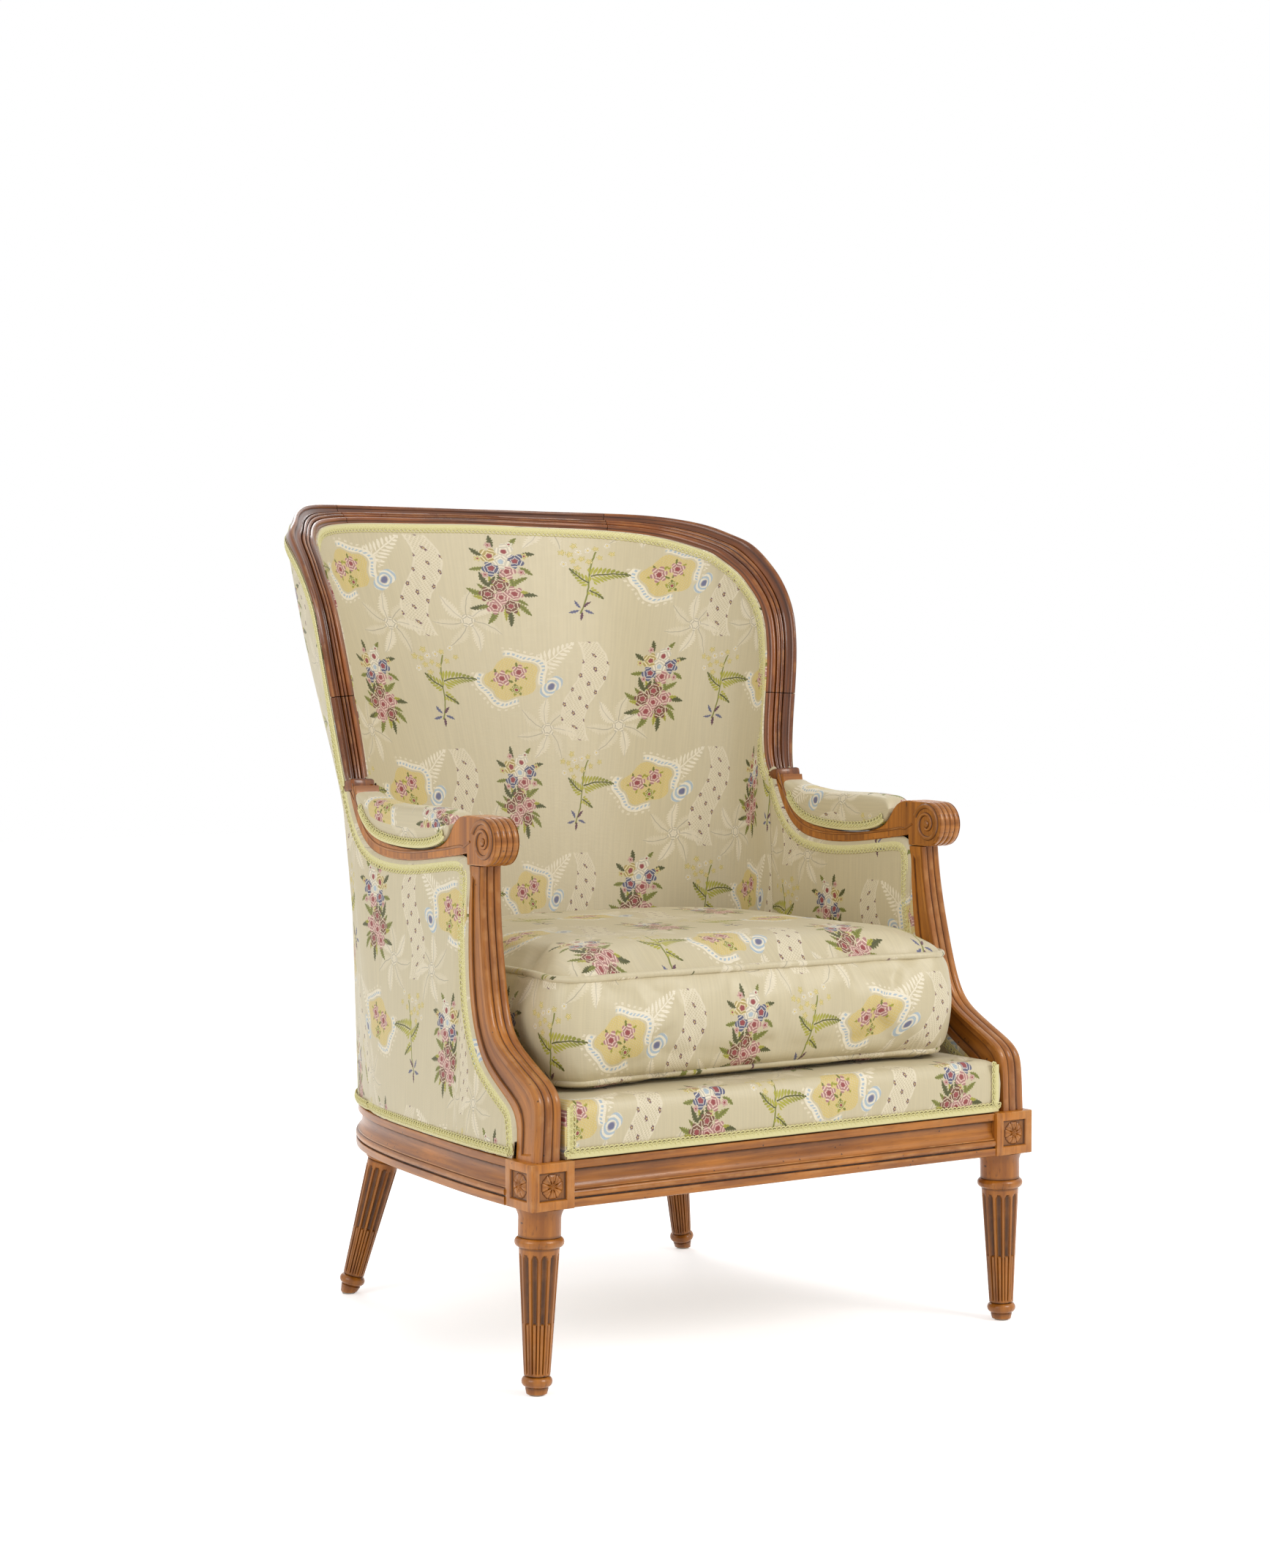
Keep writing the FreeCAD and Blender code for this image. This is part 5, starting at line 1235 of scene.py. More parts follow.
@dataclass
class Arms:
    """Scrolled arms on console supports, with pads and upholstered sides."""

    inner: float = 297.0
    outer: float = 328.5
    scroll: tuple = (108.0, 589.0, 27.0)
    post_front: tuple = (
        (117.6, 561.0), (113.0, 509.0), (103.0, 457.0), (89.0, 405.0), (71.0, 376.0), (46.0, 360.0), (20.0, 347.0),
        (0.0, 337.0), (-12.5, 328.0), (-19.5, 317.0), (-21.8, 300.0), (-22.0, 278.0), (-22.0, 254.0),
    )
    post_back: tuple = (
        (142.6, 561.0), (140.0, 508.0), (136.0, 455.0), (125.5, 404.0), (104.0, 360.0), (76.0, 334.0), (50.0, 318.5),
        (34.0, 308.0), (25.0, 299.0), (20.5, 290.0), (18.5, 281.0), (18.0, 268.0), (18.0, 254.0),
    )
    post_inner: tuple = ((254.0, 309.5), (561.0, 298.3))
    post_outer: tuple = ((254.0, 342.0), (561.0, 325.0))
    under: tuple = ((143.0, 575.0), (186.0, 568.5), (259.0, 560.5), (318.0, 560.0), (361.0, 568.0), (391.0, 590.0),
                    (410.0, 621.0), (418.0, 640.0))
    top: tuple = (
        (400.0, 640.0), (395.0, 622.0), (381.0, 600.0), (352.0, 582.0), (300.0, 573.5), (246.0, 573.0), (205.0, 579.0),
        (184.0, 590.0), (173.0, 604.0),
    )
    # Covers: depth and height of the top edge, then the plan of the foot inside and outside
    stations: tuple = (
        ((20.5, 272.0), (309.0, 21.0), (343.0, 21.0)), ((29.0, 300.5), (308.8, 29.0), (343.5, 29.0)),
        ((47.0, 314.5), (308.5, 47.0), (344.0, 47.0)), ((77.0, 332.5), (308.0, 77.0), (344.0, 77.0)),
        ((105.0, 357.5), (307.0, 105.0), (343.5, 105.0)), ((127.5, 403.0), (306.0, 128.0), (342.8, 128.0)),
        ((138.0, 455.0), (305.5, 140.0), (342.2, 140.0)), ((142.5, 508.0), (305.2, 147.0), (341.8, 147.0)),
        ((145.0, 558.5), (305.0, 155.0), (341.4, 155.0)), ((186.0, 565.0), (304.0, 190.0), (339.0, 190.0)),
        ((259.0, 557.0), (301.5, 259.0), (333.2, 259.0)), ((318.0, 556.5), (298.0, 312.0), (327.6, 312.0)),
        ((362.0, 564.5), (294.5, 350.0), (322.4, 348.0)), ((393.0, 586.5), (292.0, 370.0), (318.8, 364.0)),
        ((412.5, 617.5), (290.0, 385.0), (316.0, 376.0)), ((420.0, 640.0), (288.8, 395.0), (314.1, 382.5)),
        ((432.0, 641.0), (289.5, 411.0), (308.0, 401.0)),
    )
    pads: tuple = (
        (178.0, 600.0, 606.0), (186.0, 590.0, 618.0), (205.0, 580.0, 621.5), (246.0, 574.0, 622.5), (
            300.0, 574.5, 622.0),
        (344.0, 580.5, 625.0), (372.0, 593.5, 629.0), (388.0, 611.0, 632.5), (394.0, 622.0, 633.0),
    )

    # Sunk panel on a support's side as (share back, sunk or not, recess)
    panel: tuple = (
        (0.1, 0, 0.0), (0.24, 0, -0.2), (0.26, 1, 0.9), (0.34, 1, 0.15), (0.5, 1, 0.0), (0.66, 1, 0.15), (0.74, 1, 0.9),
        (0.76, 0, -0.2), (0.97, 0, 0.0),
    )

    def __post_init__(self) -> None:
        """Start with no covers laid."""
        self.faces: dict[tuple[Side, bool], np.ndarray] = {}

    def cover_x(self, side: Side, inside: bool, depth: float, height: float) -> float:
        """How far out an arm cover's face lies at one place of its side view."""
        spots = self.faces[side, inside].reshape(-1, 3)
        far = np.hypot(spots[:, 1] - depth, spots[:, 2] - height)
        near = np.argsort(far)[:4]
        weights = 1.0 / (far[near] + 0.3)
        return float(abs(spots[near, 0] @ weights / weights.sum()))

    def support(self, side: Side, finish: Finishes) -> None:
        """Console support: three reeds in front, sunk panels at its sides."""
        front, back = Curve(self.post_front), Curve(self.post_back)
        sections, marks = [], []
        steps = np.linspace(0, front.last, 121)
        reeds = np.linspace(0, 1, 25)
        for step in steps:
            fore, rear = front.at(step), back.at(step)
            widths = [(between(self.post_inner, z), between(self.post_outer, z)) for z in (fore[1], rear[1])]
            way = unit(np.array([rear[0] - fore[0], rear[1] - fore[1]]))
            length = float(np.hypot(*(rear - fore)))
            spots, recess = [], []

            def add(share_x: float, share_deep: float, sink_deep: float, sink_x: float, mark: float) -> None:
                """One point by its shares across and back, sunk from the faces."""
                x_fore = widths[0][0] + (widths[0][1] - widths[0][0]) * share_x
                x_rear = widths[1][0] + (widths[1][1] - widths[1][0]) * share_x
                deep = share_deep * length + sink_deep
                x = x_fore + (x_rear - x_fore) * share_deep + sink_x
                spots.append((side.value * x, fore[0] + way[0] * deep, fore[1] + way[1] * deep))
                recess.append(mark)

            for t in reeds:
                phase = (t * 3) % 1.0 if t < 1 else 1.0
                bow = math.sin(math.pi * phase)
                sink = 2.6 * (1 - bow**0.55)
                add(t, 0.0, sink + (1.2 if t in (0.0, 1.0) else 0.0), 0.0,
                    0.95 if bow < 0.12 and 0 < t < 1 else -0.35 * bow)
            ends = 262.0 < fore[1] and rear[1] < 546.0
            sink = 2.2 if ends else 0.0
            for share, part, mark in self.panel:
                add(1.0, share, 0.0, -sink * part, mark if ends else 0.0)
            add(1.0, 1.0, 0.0, -0.6, 0.2)
            add(0.0, 1.0, 0.0, 0.6, 0.2)
            for share, part, mark in reversed(self.panel):
                add(0.0, share, 0.0, sink * part, mark if ends else 0.0)
            sections.append(spots)
            marks.append(recess)
        obj = sweep(f"console_{side.word}", place(np.array(sections)), np.array(marks), sharp=34.0)
        dress(obj, finish.rail_wood, nodes=(f"arm_support_{side.word}",))

    def _outline(self) -> tuple[np.ndarray, np.ndarray]:
        """Side outline of the arm as depth and height, and where its roll is."""
        depth, height, radius = self.scroll
        angles = np.radians(np.linspace(90, 270, 49))
        roll = np.stack([depth + np.cos(angles) * radius, height + np.sin(angles) * radius], axis=1)
        low = np.array([[depth + 16, height - radius], [142.0, height - radius], [143.0, 568.0]])
        under = Curve(self.under).many(np.linspace(0, len(self.under) - 1, 50))
        top = Curve(self.top).many(np.linspace(0, len(self.top) - 1, 50))
        neck = np.array([[166.0, 610.5], [158.0, 614.8], [148.0, 616.6], [138.0, 616.9], [124.0, 616.6]])
        line = np.concatenate([roll, low, under, top, neck])
        rolled = np.concatenate([np.ones(len(roll)), np.full(len(low), 0.4), np.zeros(len(under) + len(top)),
                                 np.linspace(0.3, 1, len(neck))])
        return line, rolled

    def arm(self, side: Side, finish: Finishes) -> None:
        """Arm whose roll is reeded across its front."""
        line, rolled = self._outline()
        along = unit(np.roll(line, -1, axis=0) - np.roll(line, 1, axis=0))
        inward = np.stack([-along[:, 1], along[:, 0]], axis=1)
        middle = line.mean(axis=0)
        if float(((middle - line) * inward).sum()) < 0:
            inward = -inward
        shares = np.concatenate([[0.0, 0.015], np.linspace(0.03, 0.97, 37), [0.985, 1.0]])
        sections, marks = [], []
        for t in shares:
            bow = abs(math.sin(math.pi * 4 * (t - 0.03) / 0.94)) if 0.03 <= t <= 0.97 else 0.0
            groove = 1.9 * (1 - bow**0.5) if 0.03 <= t <= 0.97 else 0.7
            edge = 1.1 if t in (0.0, 1.0) else 0.0
            sink = groove * rolled + edge + (0.0 if 0.01 < t < 0.99 else 0.2)
            spots = line + inward * sink[:, None]
            x = side.value * (self.inner + (self.outer - self.inner) * t)
            sections.append(np.column_stack([np.full(len(spots), x), spots]))
            marks.append(np.where(rolled > 0.3, 0.95 if bow < 0.2 and 0.03 < t < 0.97 else -0.35 * bow, 0.0))
        obj = sweep(f"arm_wood_{side.word}", place(np.array(sections)), np.array(marks), sharp=40.0)
        dress(obj, finish.rail_wood, nodes=(f"arm_{side.word}",))
        for face, x, out in (("outer", self.outer, 1.0), ("inner", self.inner, -1.0)):
            self._volute(f"volute_{face}_{side.word}", side.value * x, side.value * out, finish)
            self._fillet(f"arm_fillet_{face}_{side.word}", side.value * x, side.value * out, finish)

    def _volute(self, name: str, x: float, out: float, finish: Finishes) -> None:
        """Carved spiral that ends in a round eye."""
        depth, height, _ = self.scroll
        turns = np.linspace(0, 1, 110)
        angle = math.pi * 0.12 + turns * math.pi * 3.5
        reach = 23.6 * (1 - turns) ** 0.9 + 5.2 * turns
        line = np.stack([depth + np.cos(angle) * reach, height + np.sin(angle) * reach], axis=1)
        self._bead(name, line, x, out, 3.2 - 1.4 * turns, 2.3, finish)
        ring = np.linspace(0, 2 * math.pi, 25)[:-1]
        sections = []
        for share, lift in ((1.0, -0.3), (0.95, 0.9), (0.7, 1.7), (0.35, 2.1), (0.05, 2.2)):
            sections.append(np.column_stack([np.full(24, x + out * lift), depth + np.cos(ring) * 4.4 * share,
                                             height + np.sin(ring) * 4.4 * share]))
        eye = sweep(name + "_eye", place(np.array(sections)),
                    np.array([[0.9] * 24, [0.3] * 24, [-0.3] * 24, [-0.4] * 24, [-0.4] * 24]))
        dress(eye, finish.rail_wood)

    def _fillet(self, name: str, x: float, out: float, finish: Finishes) -> None:
        """Thin raised line along the arm's side, from the scroll to the collar."""
        under = Curve(self.under).many(np.linspace(0.25, len(self.under) - 1.15, 60))
        along = unit(np.gradient(under, axis=0))
        line = under + np.stack([-along[:, 1], along[:, 0]], axis=1) * 9.6
        start = np.array([[136.0, 588.0], [150.0, 581.5]])
        self._bead(name, np.concatenate([start, line[2:]]), x, out, np.full(len(line), 1.5), 1.0, finish)

    @staticmethod
    def _bead(name: str, line: np.ndarray, x: float, out: float, half: np.ndarray, lift: float,
              finish: Finishes) -> None:
        """Half-round bead along a line on the side of the arm."""
        along = unit(np.gradient(line, axis=0))
        across = np.stack([-along[:, 1], along[:, 0]], axis=1)
        sections, marks = [], []
        profile = ((-1.25, -0.4, 1.0), (-1.0, 0.1, 0.9), (-0.7, 0.7, 0.1), (-0.3, 0.96, -0.4), (0.3, 0.96, -0.4),
                   (0.7, 0.7, 0.1), (1.0, 0.1, 0.9), (1.25, -0.4, 1.0))
        for place_on, way, wide in zip(line, across, half):
            spots = [(x + out * rise * lift, *(place_on + way * share * wide)) for share, rise, _ in profile]
            sections.append(spots)
            marks.append([mark for _, _, mark in profile])
        dress(sweep(name, place(np.array(sections)), np.array(marks)), finish.rail_wood)

    def collar(self, side: Side, finish: Finishes) -> None:
        """Raised band where the wing stands on the arm."""
        sections, marks = [], []
        outline = ((295.0, 428.0), (295.0, 418.0), (296.5, 412.5), (300.0, 410.5), (326.0, 406.0), (330.0, 408.0),
                   (331.0, 413.0), (331.0, 423.0))
        middle = np.mean(outline, axis=0)
        for z, grow, mark in ((634.0, -2.5, 0.8), (635.0, -0.6, 0.2), (637.0, 0.2, -0.3), (641.0, 0.4, -0.3),
                              (645.0, 0.2, -0.3), (647.0, -0.6, 0.2), (648.0, -2.5, 0.8)):
            spots = []
            for spot in outline:
                away = unit(np.array(spot) - middle)
                x, depth = np.array(spot) + away * grow
                spots.append((side.value * x, depth + (z - 640.0) * 0.15, z + (depth - 410.0) * -0.2))
            sections.append(spots)
            marks.append([mark] * len(outline))
        dress(sweep(f"collar_{side.word}", place(np.array(sections)), np.array(marks)), finish.frame_wood)

    def side_cover(self, side: Side, inside: bool, finish: Finishes) -> None:
        """Silk on one face of the arm, from its support to the back."""
        tops = Curve([s[0] for s in self.stations])
        feet = Curve([s[1] if inside else s[2] for s in self.stations])
        low = 260.0 if inside else 254.0
        face = []
        for step in np.linspace(0, tops.last, 91):
            depth, height = tops.at(step)
            run = unit(tops.at(min(step + 0.05, tops.last)) - tops.at(max(step - 0.05, 0.0)))
            foot = feet.at(step)
            table = self.post_inner if inside else self.post_outer
            rest = self.inner if inside else self.outer
            blend = min(max((depth - 143.0) / 8.0, 0.0), 1.0)
            x_top = between(table, min(height, 561.0)) * (1 - blend) + rest * blend
            t = np.linspace(0, 1, 40)
            belly = np.sin(t * math.pi) * (1.5 if inside else 1.2) * min(step / 4, 1.0) * min(
                (tops.last - step) / 3, 1.0)
            x = foot[0] + (x_top - foot[0]) * t + (-belly if inside else belly)
            line = np.column_stack([x, foot[1] + (depth - foot[1]) * t, low + (height - low) * t])
            tuck = line[-1] + [5.0 if inside else -5.0, -run[1] * 4.5, run[0] * 4.5]
            face.append(np.vstack([line, tuck]) * [side.value, 1.0, 1.0])
        word = "inside" if inside else "outside"
        grid = place(np.array(face))
        self.faces[side, inside] = np.array(face)[:, :-1]
        obj = cloth_layer(f"{word}_arm_silk_{side.word}", grid, 0.0018, (side is Side.LEFT) == inside,
                          (0.11 if inside else 0.06, 0.02 * side.value))
        nodes = [f"{word}_arm_cover_{side.word}"] + ([f"inside_arm_stuffing_{side.word}"] if inside else [])
        dress(obj, finish.silk, nodes=nodes)

    def pad(self, side: Side, finish: Finishes) -> None:
        """Stuffed pad in the hollow of the arm."""
        low = Curve([(d, a) for d, a, _ in self.pads])
        high = Curve([(d, b) for d, _, b in self.pads])
        middle = (self.inner + self.outer) / 2
        half = (self.outer - self.inner) / 2
        sections, uvs = [], []
        ring = np.linspace(0, 2 * math.pi, 41)[:-1]
        for step in np.linspace(0, low.last, 61):
            under, over = low.at(step), high.at(step)
            tall = max(over[1] - under[1], 4.0)
            spots = []
            for a in ring:
                c, s = math.cos(a), math.sin(a)
                x = middle + (half + 2.6) * math.copysign(abs(c) ** 0.55, c)
                z = under[1] + tall * 0.5 + tall * 0.5 * math.copysign(abs(s) ** (0.62 if s > 0 else 0.25), s)
                spots.append((side.value * x, under[0], z))
            sections.append(spots)
        sections = place(np.array(sections))
        along = run_lengths(sections.mean(axis=1))
        girth = run_lengths(np.vstack([sections[30], sections[30][:1]]))
        uvs = np.stack(np.meshgrid(along, girth, indexing="ij"), axis=-1)[..., ::-1] + [0.03, 0.05]
        obj = sweep(f"pad_silk_{side.word}", sections, uvs=uvs, sharp=75.0)
        dress(obj, finish.silk, nodes=(f"arm_pad_{side.word}",))

    def side_braid(self, side: Side, inside: bool) -> tuple[np.ndarray, np.ndarray, np.ndarray]:
        """Line of the braid up the support and along under the arm."""
        tops = Curve([(19.0, 257.5), *(s[0] for s in self.stations[:-1])])
        steps = np.linspace(0, tops.last - 0.05, 130)
        line = tops.many(steps)
        along = unit(np.gradient(line, axis=0))
        spots, ways, outs = [], [], []
        for (depth, height), (run_depth, run_up) in zip(line, along):
            off = -1.0 if inside else 1.0
            x = self.cover_x(side, inside, depth + run_up, height - run_depth)
            far = self.cover_x(side, inside, depth + run_up * 10, height - run_depth * 10)
            spots.append((side.value * (x + off * 0.7), depth + run_up * 1.0, height - run_depth * 1.0))
            ways.append(unit(np.array([side.value * (far - x + off * 0.3) / 9.0, run_up, -run_depth])))
            outs.append((side.value * off, 0.0, 0.0))
        return place(np.array(spots)), np.array(ways), np.array(outs)

    def pad_braid(self, side: Side, inside: bool) -> tuple[np.ndarray, np.ndarray, np.ndarray]:
        """Line of the braid along a pad's lower edge."""
        low = Curve([(d, a) for d, a, _ in self.pads[1:-1]])
        line = low.many(np.linspace(0, low.last, 60))
        along = unit(np.gradient(line, axis=0))
        x = (self.inner - 3.0) if inside else (self.outer + 3.0)
        off = -1.0 if inside else 1.0
        spots = [(side.value * x, d, h + 1.0) for d, h in line]
        ways = [(0.0, -up, run) for run, up in along]
        outs = [(side.value * off, 0.0, 0.0)] * len(line)
        return place(np.array(spots)), np.array(ways), np.array(outs)

    def build(self, finish: Finishes) -> None:
        """Make both arms."""
        for side in Side:
            self.support(side, finish)
            self.arm(side, finish)
            self.collar(side, finish)
            self.pad(side, finish)
            for inside in (True, False):
                self.side_cover(side, inside, finish)


# Seat frame: rails, blocks and legs


@dataclass
class SeatFrame:
    """Moulded rails round the seat, carved corner blocks and fluted legs."""

    plan: tuple = (
        (351.5, 27.5), (350.5, 110.0), (345.0, 190.5), (336.0, 290.7), (319.0, 393.0), (295.2, 463.0), (269.5, 508.0),
        (237.0, 547.0), (193.0, 576.0), (140.0, 595.0), (70.0, 606.0), (0.0, 609.0),
    )
    # Moulding as (sink, rise, recess)
    moulding: tuple = (
        (3.9, 50.0, 0.0), (3.1, 49.2, -0.4), (3.0, 48.0, -0.1), (3.0, 42.2, 0.0), (3.5, 41.6, -0.5), (
            5.4, 41.2, 0.9), (6.6, 40.0, 0.9),
        (7.6, 37.5, 0.3), (8.0, 34.0, 0.1), (7.9, 30.5, 0.0), (7.2, 27.0, 0.0), (6.0, 24.0, 0.0), (4.6, 21.8, 0.0), (
            3.0, 20.4, 0.1),
        (2.7, 20.2, -0.5), (2.6, 19.0, -0.3), (3.1, 18.6, 0.9), (1.4, 18.1, 0.3), (0.6, 17.2, 0.0), (
            0.15, 16.0, -0.3), (0.0, 14.6, -0.5),
        (0.15, 13.2, -0.3), (0.6, 12.0, 0.0), (1.4, 11.1, 0.2), (3.0, 10.6, 1.0), (3.0, 9.4, 1.0), (0.9, 9.0, 0.3), (
            0.4, 8.4, -0.5),
        (0.4, 5.0, 0.0), (0.4, 2.0, 0.0), (0.8, 0.7, -0.4), (1.9, 0.0, 0.0),
    )
    bottom: float = 203.0
    thickness: float = 44.0
    corner_start: float = 5.2
    corner_end: float = 8.0

    def __post_init__(self) -> None:
        """Make the plan curve, left block round to right block."""
        left = [(-x, y) for x, y in self.plan]
        right = [(x, y) for x, y in reversed(self.plan[:-1])]
        self.curve = Curve(left + right)

    def _run(self, start: float, end: float) -> tuple[np.ndarray, np.ndarray]:
        """Sections of the rail between two places of its plan."""
        count = max(int((end - start) * 14), 8)
        steps = np.linspace(start, end, count + 1)
        spots = self.curve.many(steps)
        ahead = self.curve.many(np.minimum(steps + 0.01, self.curve.last))
        behind = self.curve.many(np.maximum(steps - 0.01, 0.0))
        along = unit(ahead - behind)
        inward = np.stack([along[:, 1], -along[:, 0]], axis=1)
        return self._sections(spots, inward)

    def _sections(self, spots: np.ndarray, inward: np.ndarray) -> tuple[np.ndarray, np.ndarray]:
        """Sections of the moulding on a plan line."""
        profile = [(s, r) for s, r, _ in self.moulding] + [(self.thickness, 0.0), (self.thickness, 50.0)]
        marks = [m for _, _, m in self.moulding] + [0.2, 0.2]
        sections = [[(*(spot + way * sink), self.bottom + rise) for sink, rise in profile] for spot,
                    way in zip(spots, inward)]
        return np.array(sections), np.array([marks] * len(sections))

    def rails(self, finish: Finishes) -> None:
        """All rails, with fine joints between them."""
        last = self.curve.last
        gap = 0.006
        for name, start, end, nodes in (
            ("side_rail_left", 0.0, self.corner_start - gap, ("side_seat_rail_left",)),
            ("rail_corner_left", self.corner_start + gap, self.corner_end - gap, ()),
            ("back_rail", self.corner_end + gap, last - self.corner_end - gap, ("back_seat_rail",)),
            ("rail_corner_right", last - self.corner_end + gap, last - self.corner_start - gap, ()),
            ("side_rail_right", last - self.corner_start + gap, last, ("side_seat_rail_right",)),
        ):
            sections, marks = self._run(start, end)
            dress(sweep(name, place(sections), marks, sharp=34.0), finish.rail_wood, nodes=nodes)
        x = np.linspace(-294.9, 294.9, 31)
        spots = np.stack([x, np.full(31, -26.0)], axis=1)
        sections, marks = self._sections(spots, np.tile([0.0, 1.0], (31, 1)))
        dress(sweep("front_rail", place(sections), marks, sharp=34.0), finish.rail_wood,
              nodes=("front_seat_rail",))

    def block(self, side: Side, finish: Finishes) -> None:
        """Corner block with a sunk square and a carved flower on its two showing faces."""
        half, low, high = 27.5, 202.5, 254.0
        middle = np.array([side.value * 322.6, 0.0, (low + high) / 2])
        tall = (high - low) / 2
        spots: list[np.ndarray] = []
        faces: list[tuple[int, ...]] = []
        uvs: list[tuple[float, float]] = []
        marks: list[float] = []
        ways = (
            ((1, 0, 0), (0, 0, 1), (0, -1, 0), half, tall, True), ((1, 0, 0), (0, 0, 1), (0, 1, 0), half, tall, False),
            ((0, 1, 0), (0, 0, 1), (side.value, 0, 0), half, tall, True), (
                (0, 1, 0), (0, 0, 1), (-side.value, 0, 0), half, tall, False),
            ((1, 0, 0), (0, 1, 0), (0, 0, 1), half, half, False), ((1, 0, 0), (0, 1, 0), (0, 0, -1), half, half, False),
        )
        for right, up, out, wide, high_half, carved in ways:
            right, up, out = (np.array(v, dtype=float) for v in (right, up, out))
            reach = half if out[2] == 0 else tall
            base = len(spots)
            if carved:
                steps = [(0.0, 1.2, -0.7), (1.0, 0.25, -0.9), (2.2, 0.0, -0.25), (9.6, 0.0, -0.1), (10.4, 0.3, -0.5),
                         (11.4, 2.9, 0.9), (13.0, 3.2, 0.5), (27.0, 3.2, 0.6)]
            else:
                steps = [(0.0, 1.2, -0.3), (1.0, 0.25, -0.3), (2.2, 0.0, 0.0), (27.0, 0.0, 0.0)]
            for inset, sink, mark in steps:
                for a, b in ((-1, -1), (1, -1), (1, 1), (-1, 1)):
                    w, h = max(wide - inset, 0.0), max(high_half - inset, 0.0)
                    spots.append(middle + right * a * w + up * b * h + out * (reach - sink))
                    marks.append(mark)
            for ring in range(len(steps) - 1):
                for k in range(4):
                    m = (k + 1) % 4
                    faces.append((base + ring * 4 + k, base + ring * 4 + m, base + ring * 4 + 4 + m,
                                  base + ring * 4 + 4 + k))
            faces.append(tuple(base + (len(steps) - 1) * 4 + k for k in range(4)))
        for face in faces:
            for corner in face:
                spot = (spots[corner] - middle) / 1000
                uvs.append((float(spot[2]) + float(spot[0]) * 0.3, float(spot[1]) + float(spot[0])))
        obj = build_mesh(f"corner_block_{side.word}", place(np.array(spots)), faces, np.array(uvs), np.array(marks))
        weld = obj.modifiers.new("weld", "WELD")
        weld.merge_threshold = 0.0019
        apply_modifiers(obj)
        point_outwards(obj)
        dress(obj, finish.rail_wood)
        for face, out in (("front", np.array([0.0, -1.0, 0.0])), ("outer", np.array([float(side.value), 0.0, 0.0]))):
            self._flower(f"rosette_{face}_{side.word}", middle + out * (half - 3.3), out, finish)

    def _flower(self, name: str, middle: np.ndarray, out: np.ndarray, finish: Finishes) -> None:
        """Carved flower of eight petals over pointed leaves."""
        right = np.array([1.0, 0.0, 0.0]) if abs(out[0]) < 0.5 else np.array([0.0, 1.0, 0.0])
        up = np.array([0.0, 0.0, 1.0])
        sections, marks = [], []
        angles = np.linspace(0, 2 * math.pi, 161)[:-1]
        for share in np.linspace(1.0, 0.02, 26):
            spots, recess = [], []
            for a in angles:
                petal = abs(math.cos(4 * a))
                leaf = abs(math.sin(4 * a)) ** 3
                reach = 10.6 + 3.0 * petal**0.6 + 2.4 * leaf
                r = reach * share
                radius = r / 13.0
                crest = min(1.0, share * 2.6) * (1 - share**6)
                ridge = (petal**0.8) * 2.7 * crest + 1.0 * leaf * crest * (radius > 0.5)
                button = 2.6 * max(0.0, 1 - (r / 3.4) ** 2) ** 0.5 if r < 3.4 else 0.0
                lift = 0.3 + ridge + button - (0.4 if share == 1.0 else 0.0)
                vein = 0.5 * max(0.0, 1 - abs(math.sin(4 * a)) * 9) * crest
                spots.append(middle + right * math.cos(a) * r + up * math.sin(a) * r + out * (lift - vein))
                low = 1 - min(lift / 1.6, 1.0)
                recess.append(0.95 * low if low > 0.15 else -0.3 + vein)
            sections.append(spots)
            marks.append(recess)
        obj = sweep(name, place(np.array(sections)), np.array(marks), sharp=60.0)
        point_outwards(obj, 70.0)
        dress(obj, finish.rail_wood)

    def leg(self, name: str, foot: Row, head: Row, sizes: LegSizes, finish: Finishes, nodes: Sequence[str]) -> None:
        """Turned, tapered and fluted leg.

        Args:
            name: the piece's name.
            foot: middle of the foot on the floor.
            head: point on the axis at the leg's top.
            sizes: its turnings.
            finish: the materials.
            nodes: the solids that it replaces.
        """
        profile = sizes.profile()
        start, end = np.array(foot, dtype=float), np.array(head, dtype=float)
        axis = unit(end - start)
        right = unit(np.cross(np.array([0.0, 1.0, 0.0]), axis))
        fore = np.cross(axis, right)
        angles = np.linspace(0, 2 * math.pi, 193)[:-1]
        sections, marks = [], []
        for radius, height, mark in profile:
            sink, tone = sizes.flute(angles, height)
            r = radius - sink
            spots = start + axis * height + right * np.cos(angles)[:, None] * r[:, None] + fore * np.sin(angles)[
                :, None] * r[:, None]
            spots[:, 2] = np.maximum(spots[:, 2], 2.0)
            sections.append(spots)
            marks.append(np.where(tone != 0, tone, mark))
        obj = sweep(name, place(np.array(sections)), np.array(marks), sharp=45.0)
        dress(obj, finish.rail_wood, nodes=nodes)

    def build(self, finish: Finishes) -> None:
        """Make rails, blocks and legs."""
        self.rails(finish)
        for side in Side:
            self.block(side, finish)
            foot = (side.value * 327.0, 0.0, 0.0)
            self.leg(f"front_leg_wood_{side.word}", foot, (side.value * 322.6, 0.0, 202.5), FRONT_LEG, finish,
                     (f"front_leg_{side.word}",))
            foot = (side.value * 253.0, 563.0, 0.0)
            self.leg(f"back_leg_wood_{side.word}", foot, (side.value * 210.0, 531.0, 203.0), BACK_LEG, finish,
                     (f"back_leg_{side.word}",))


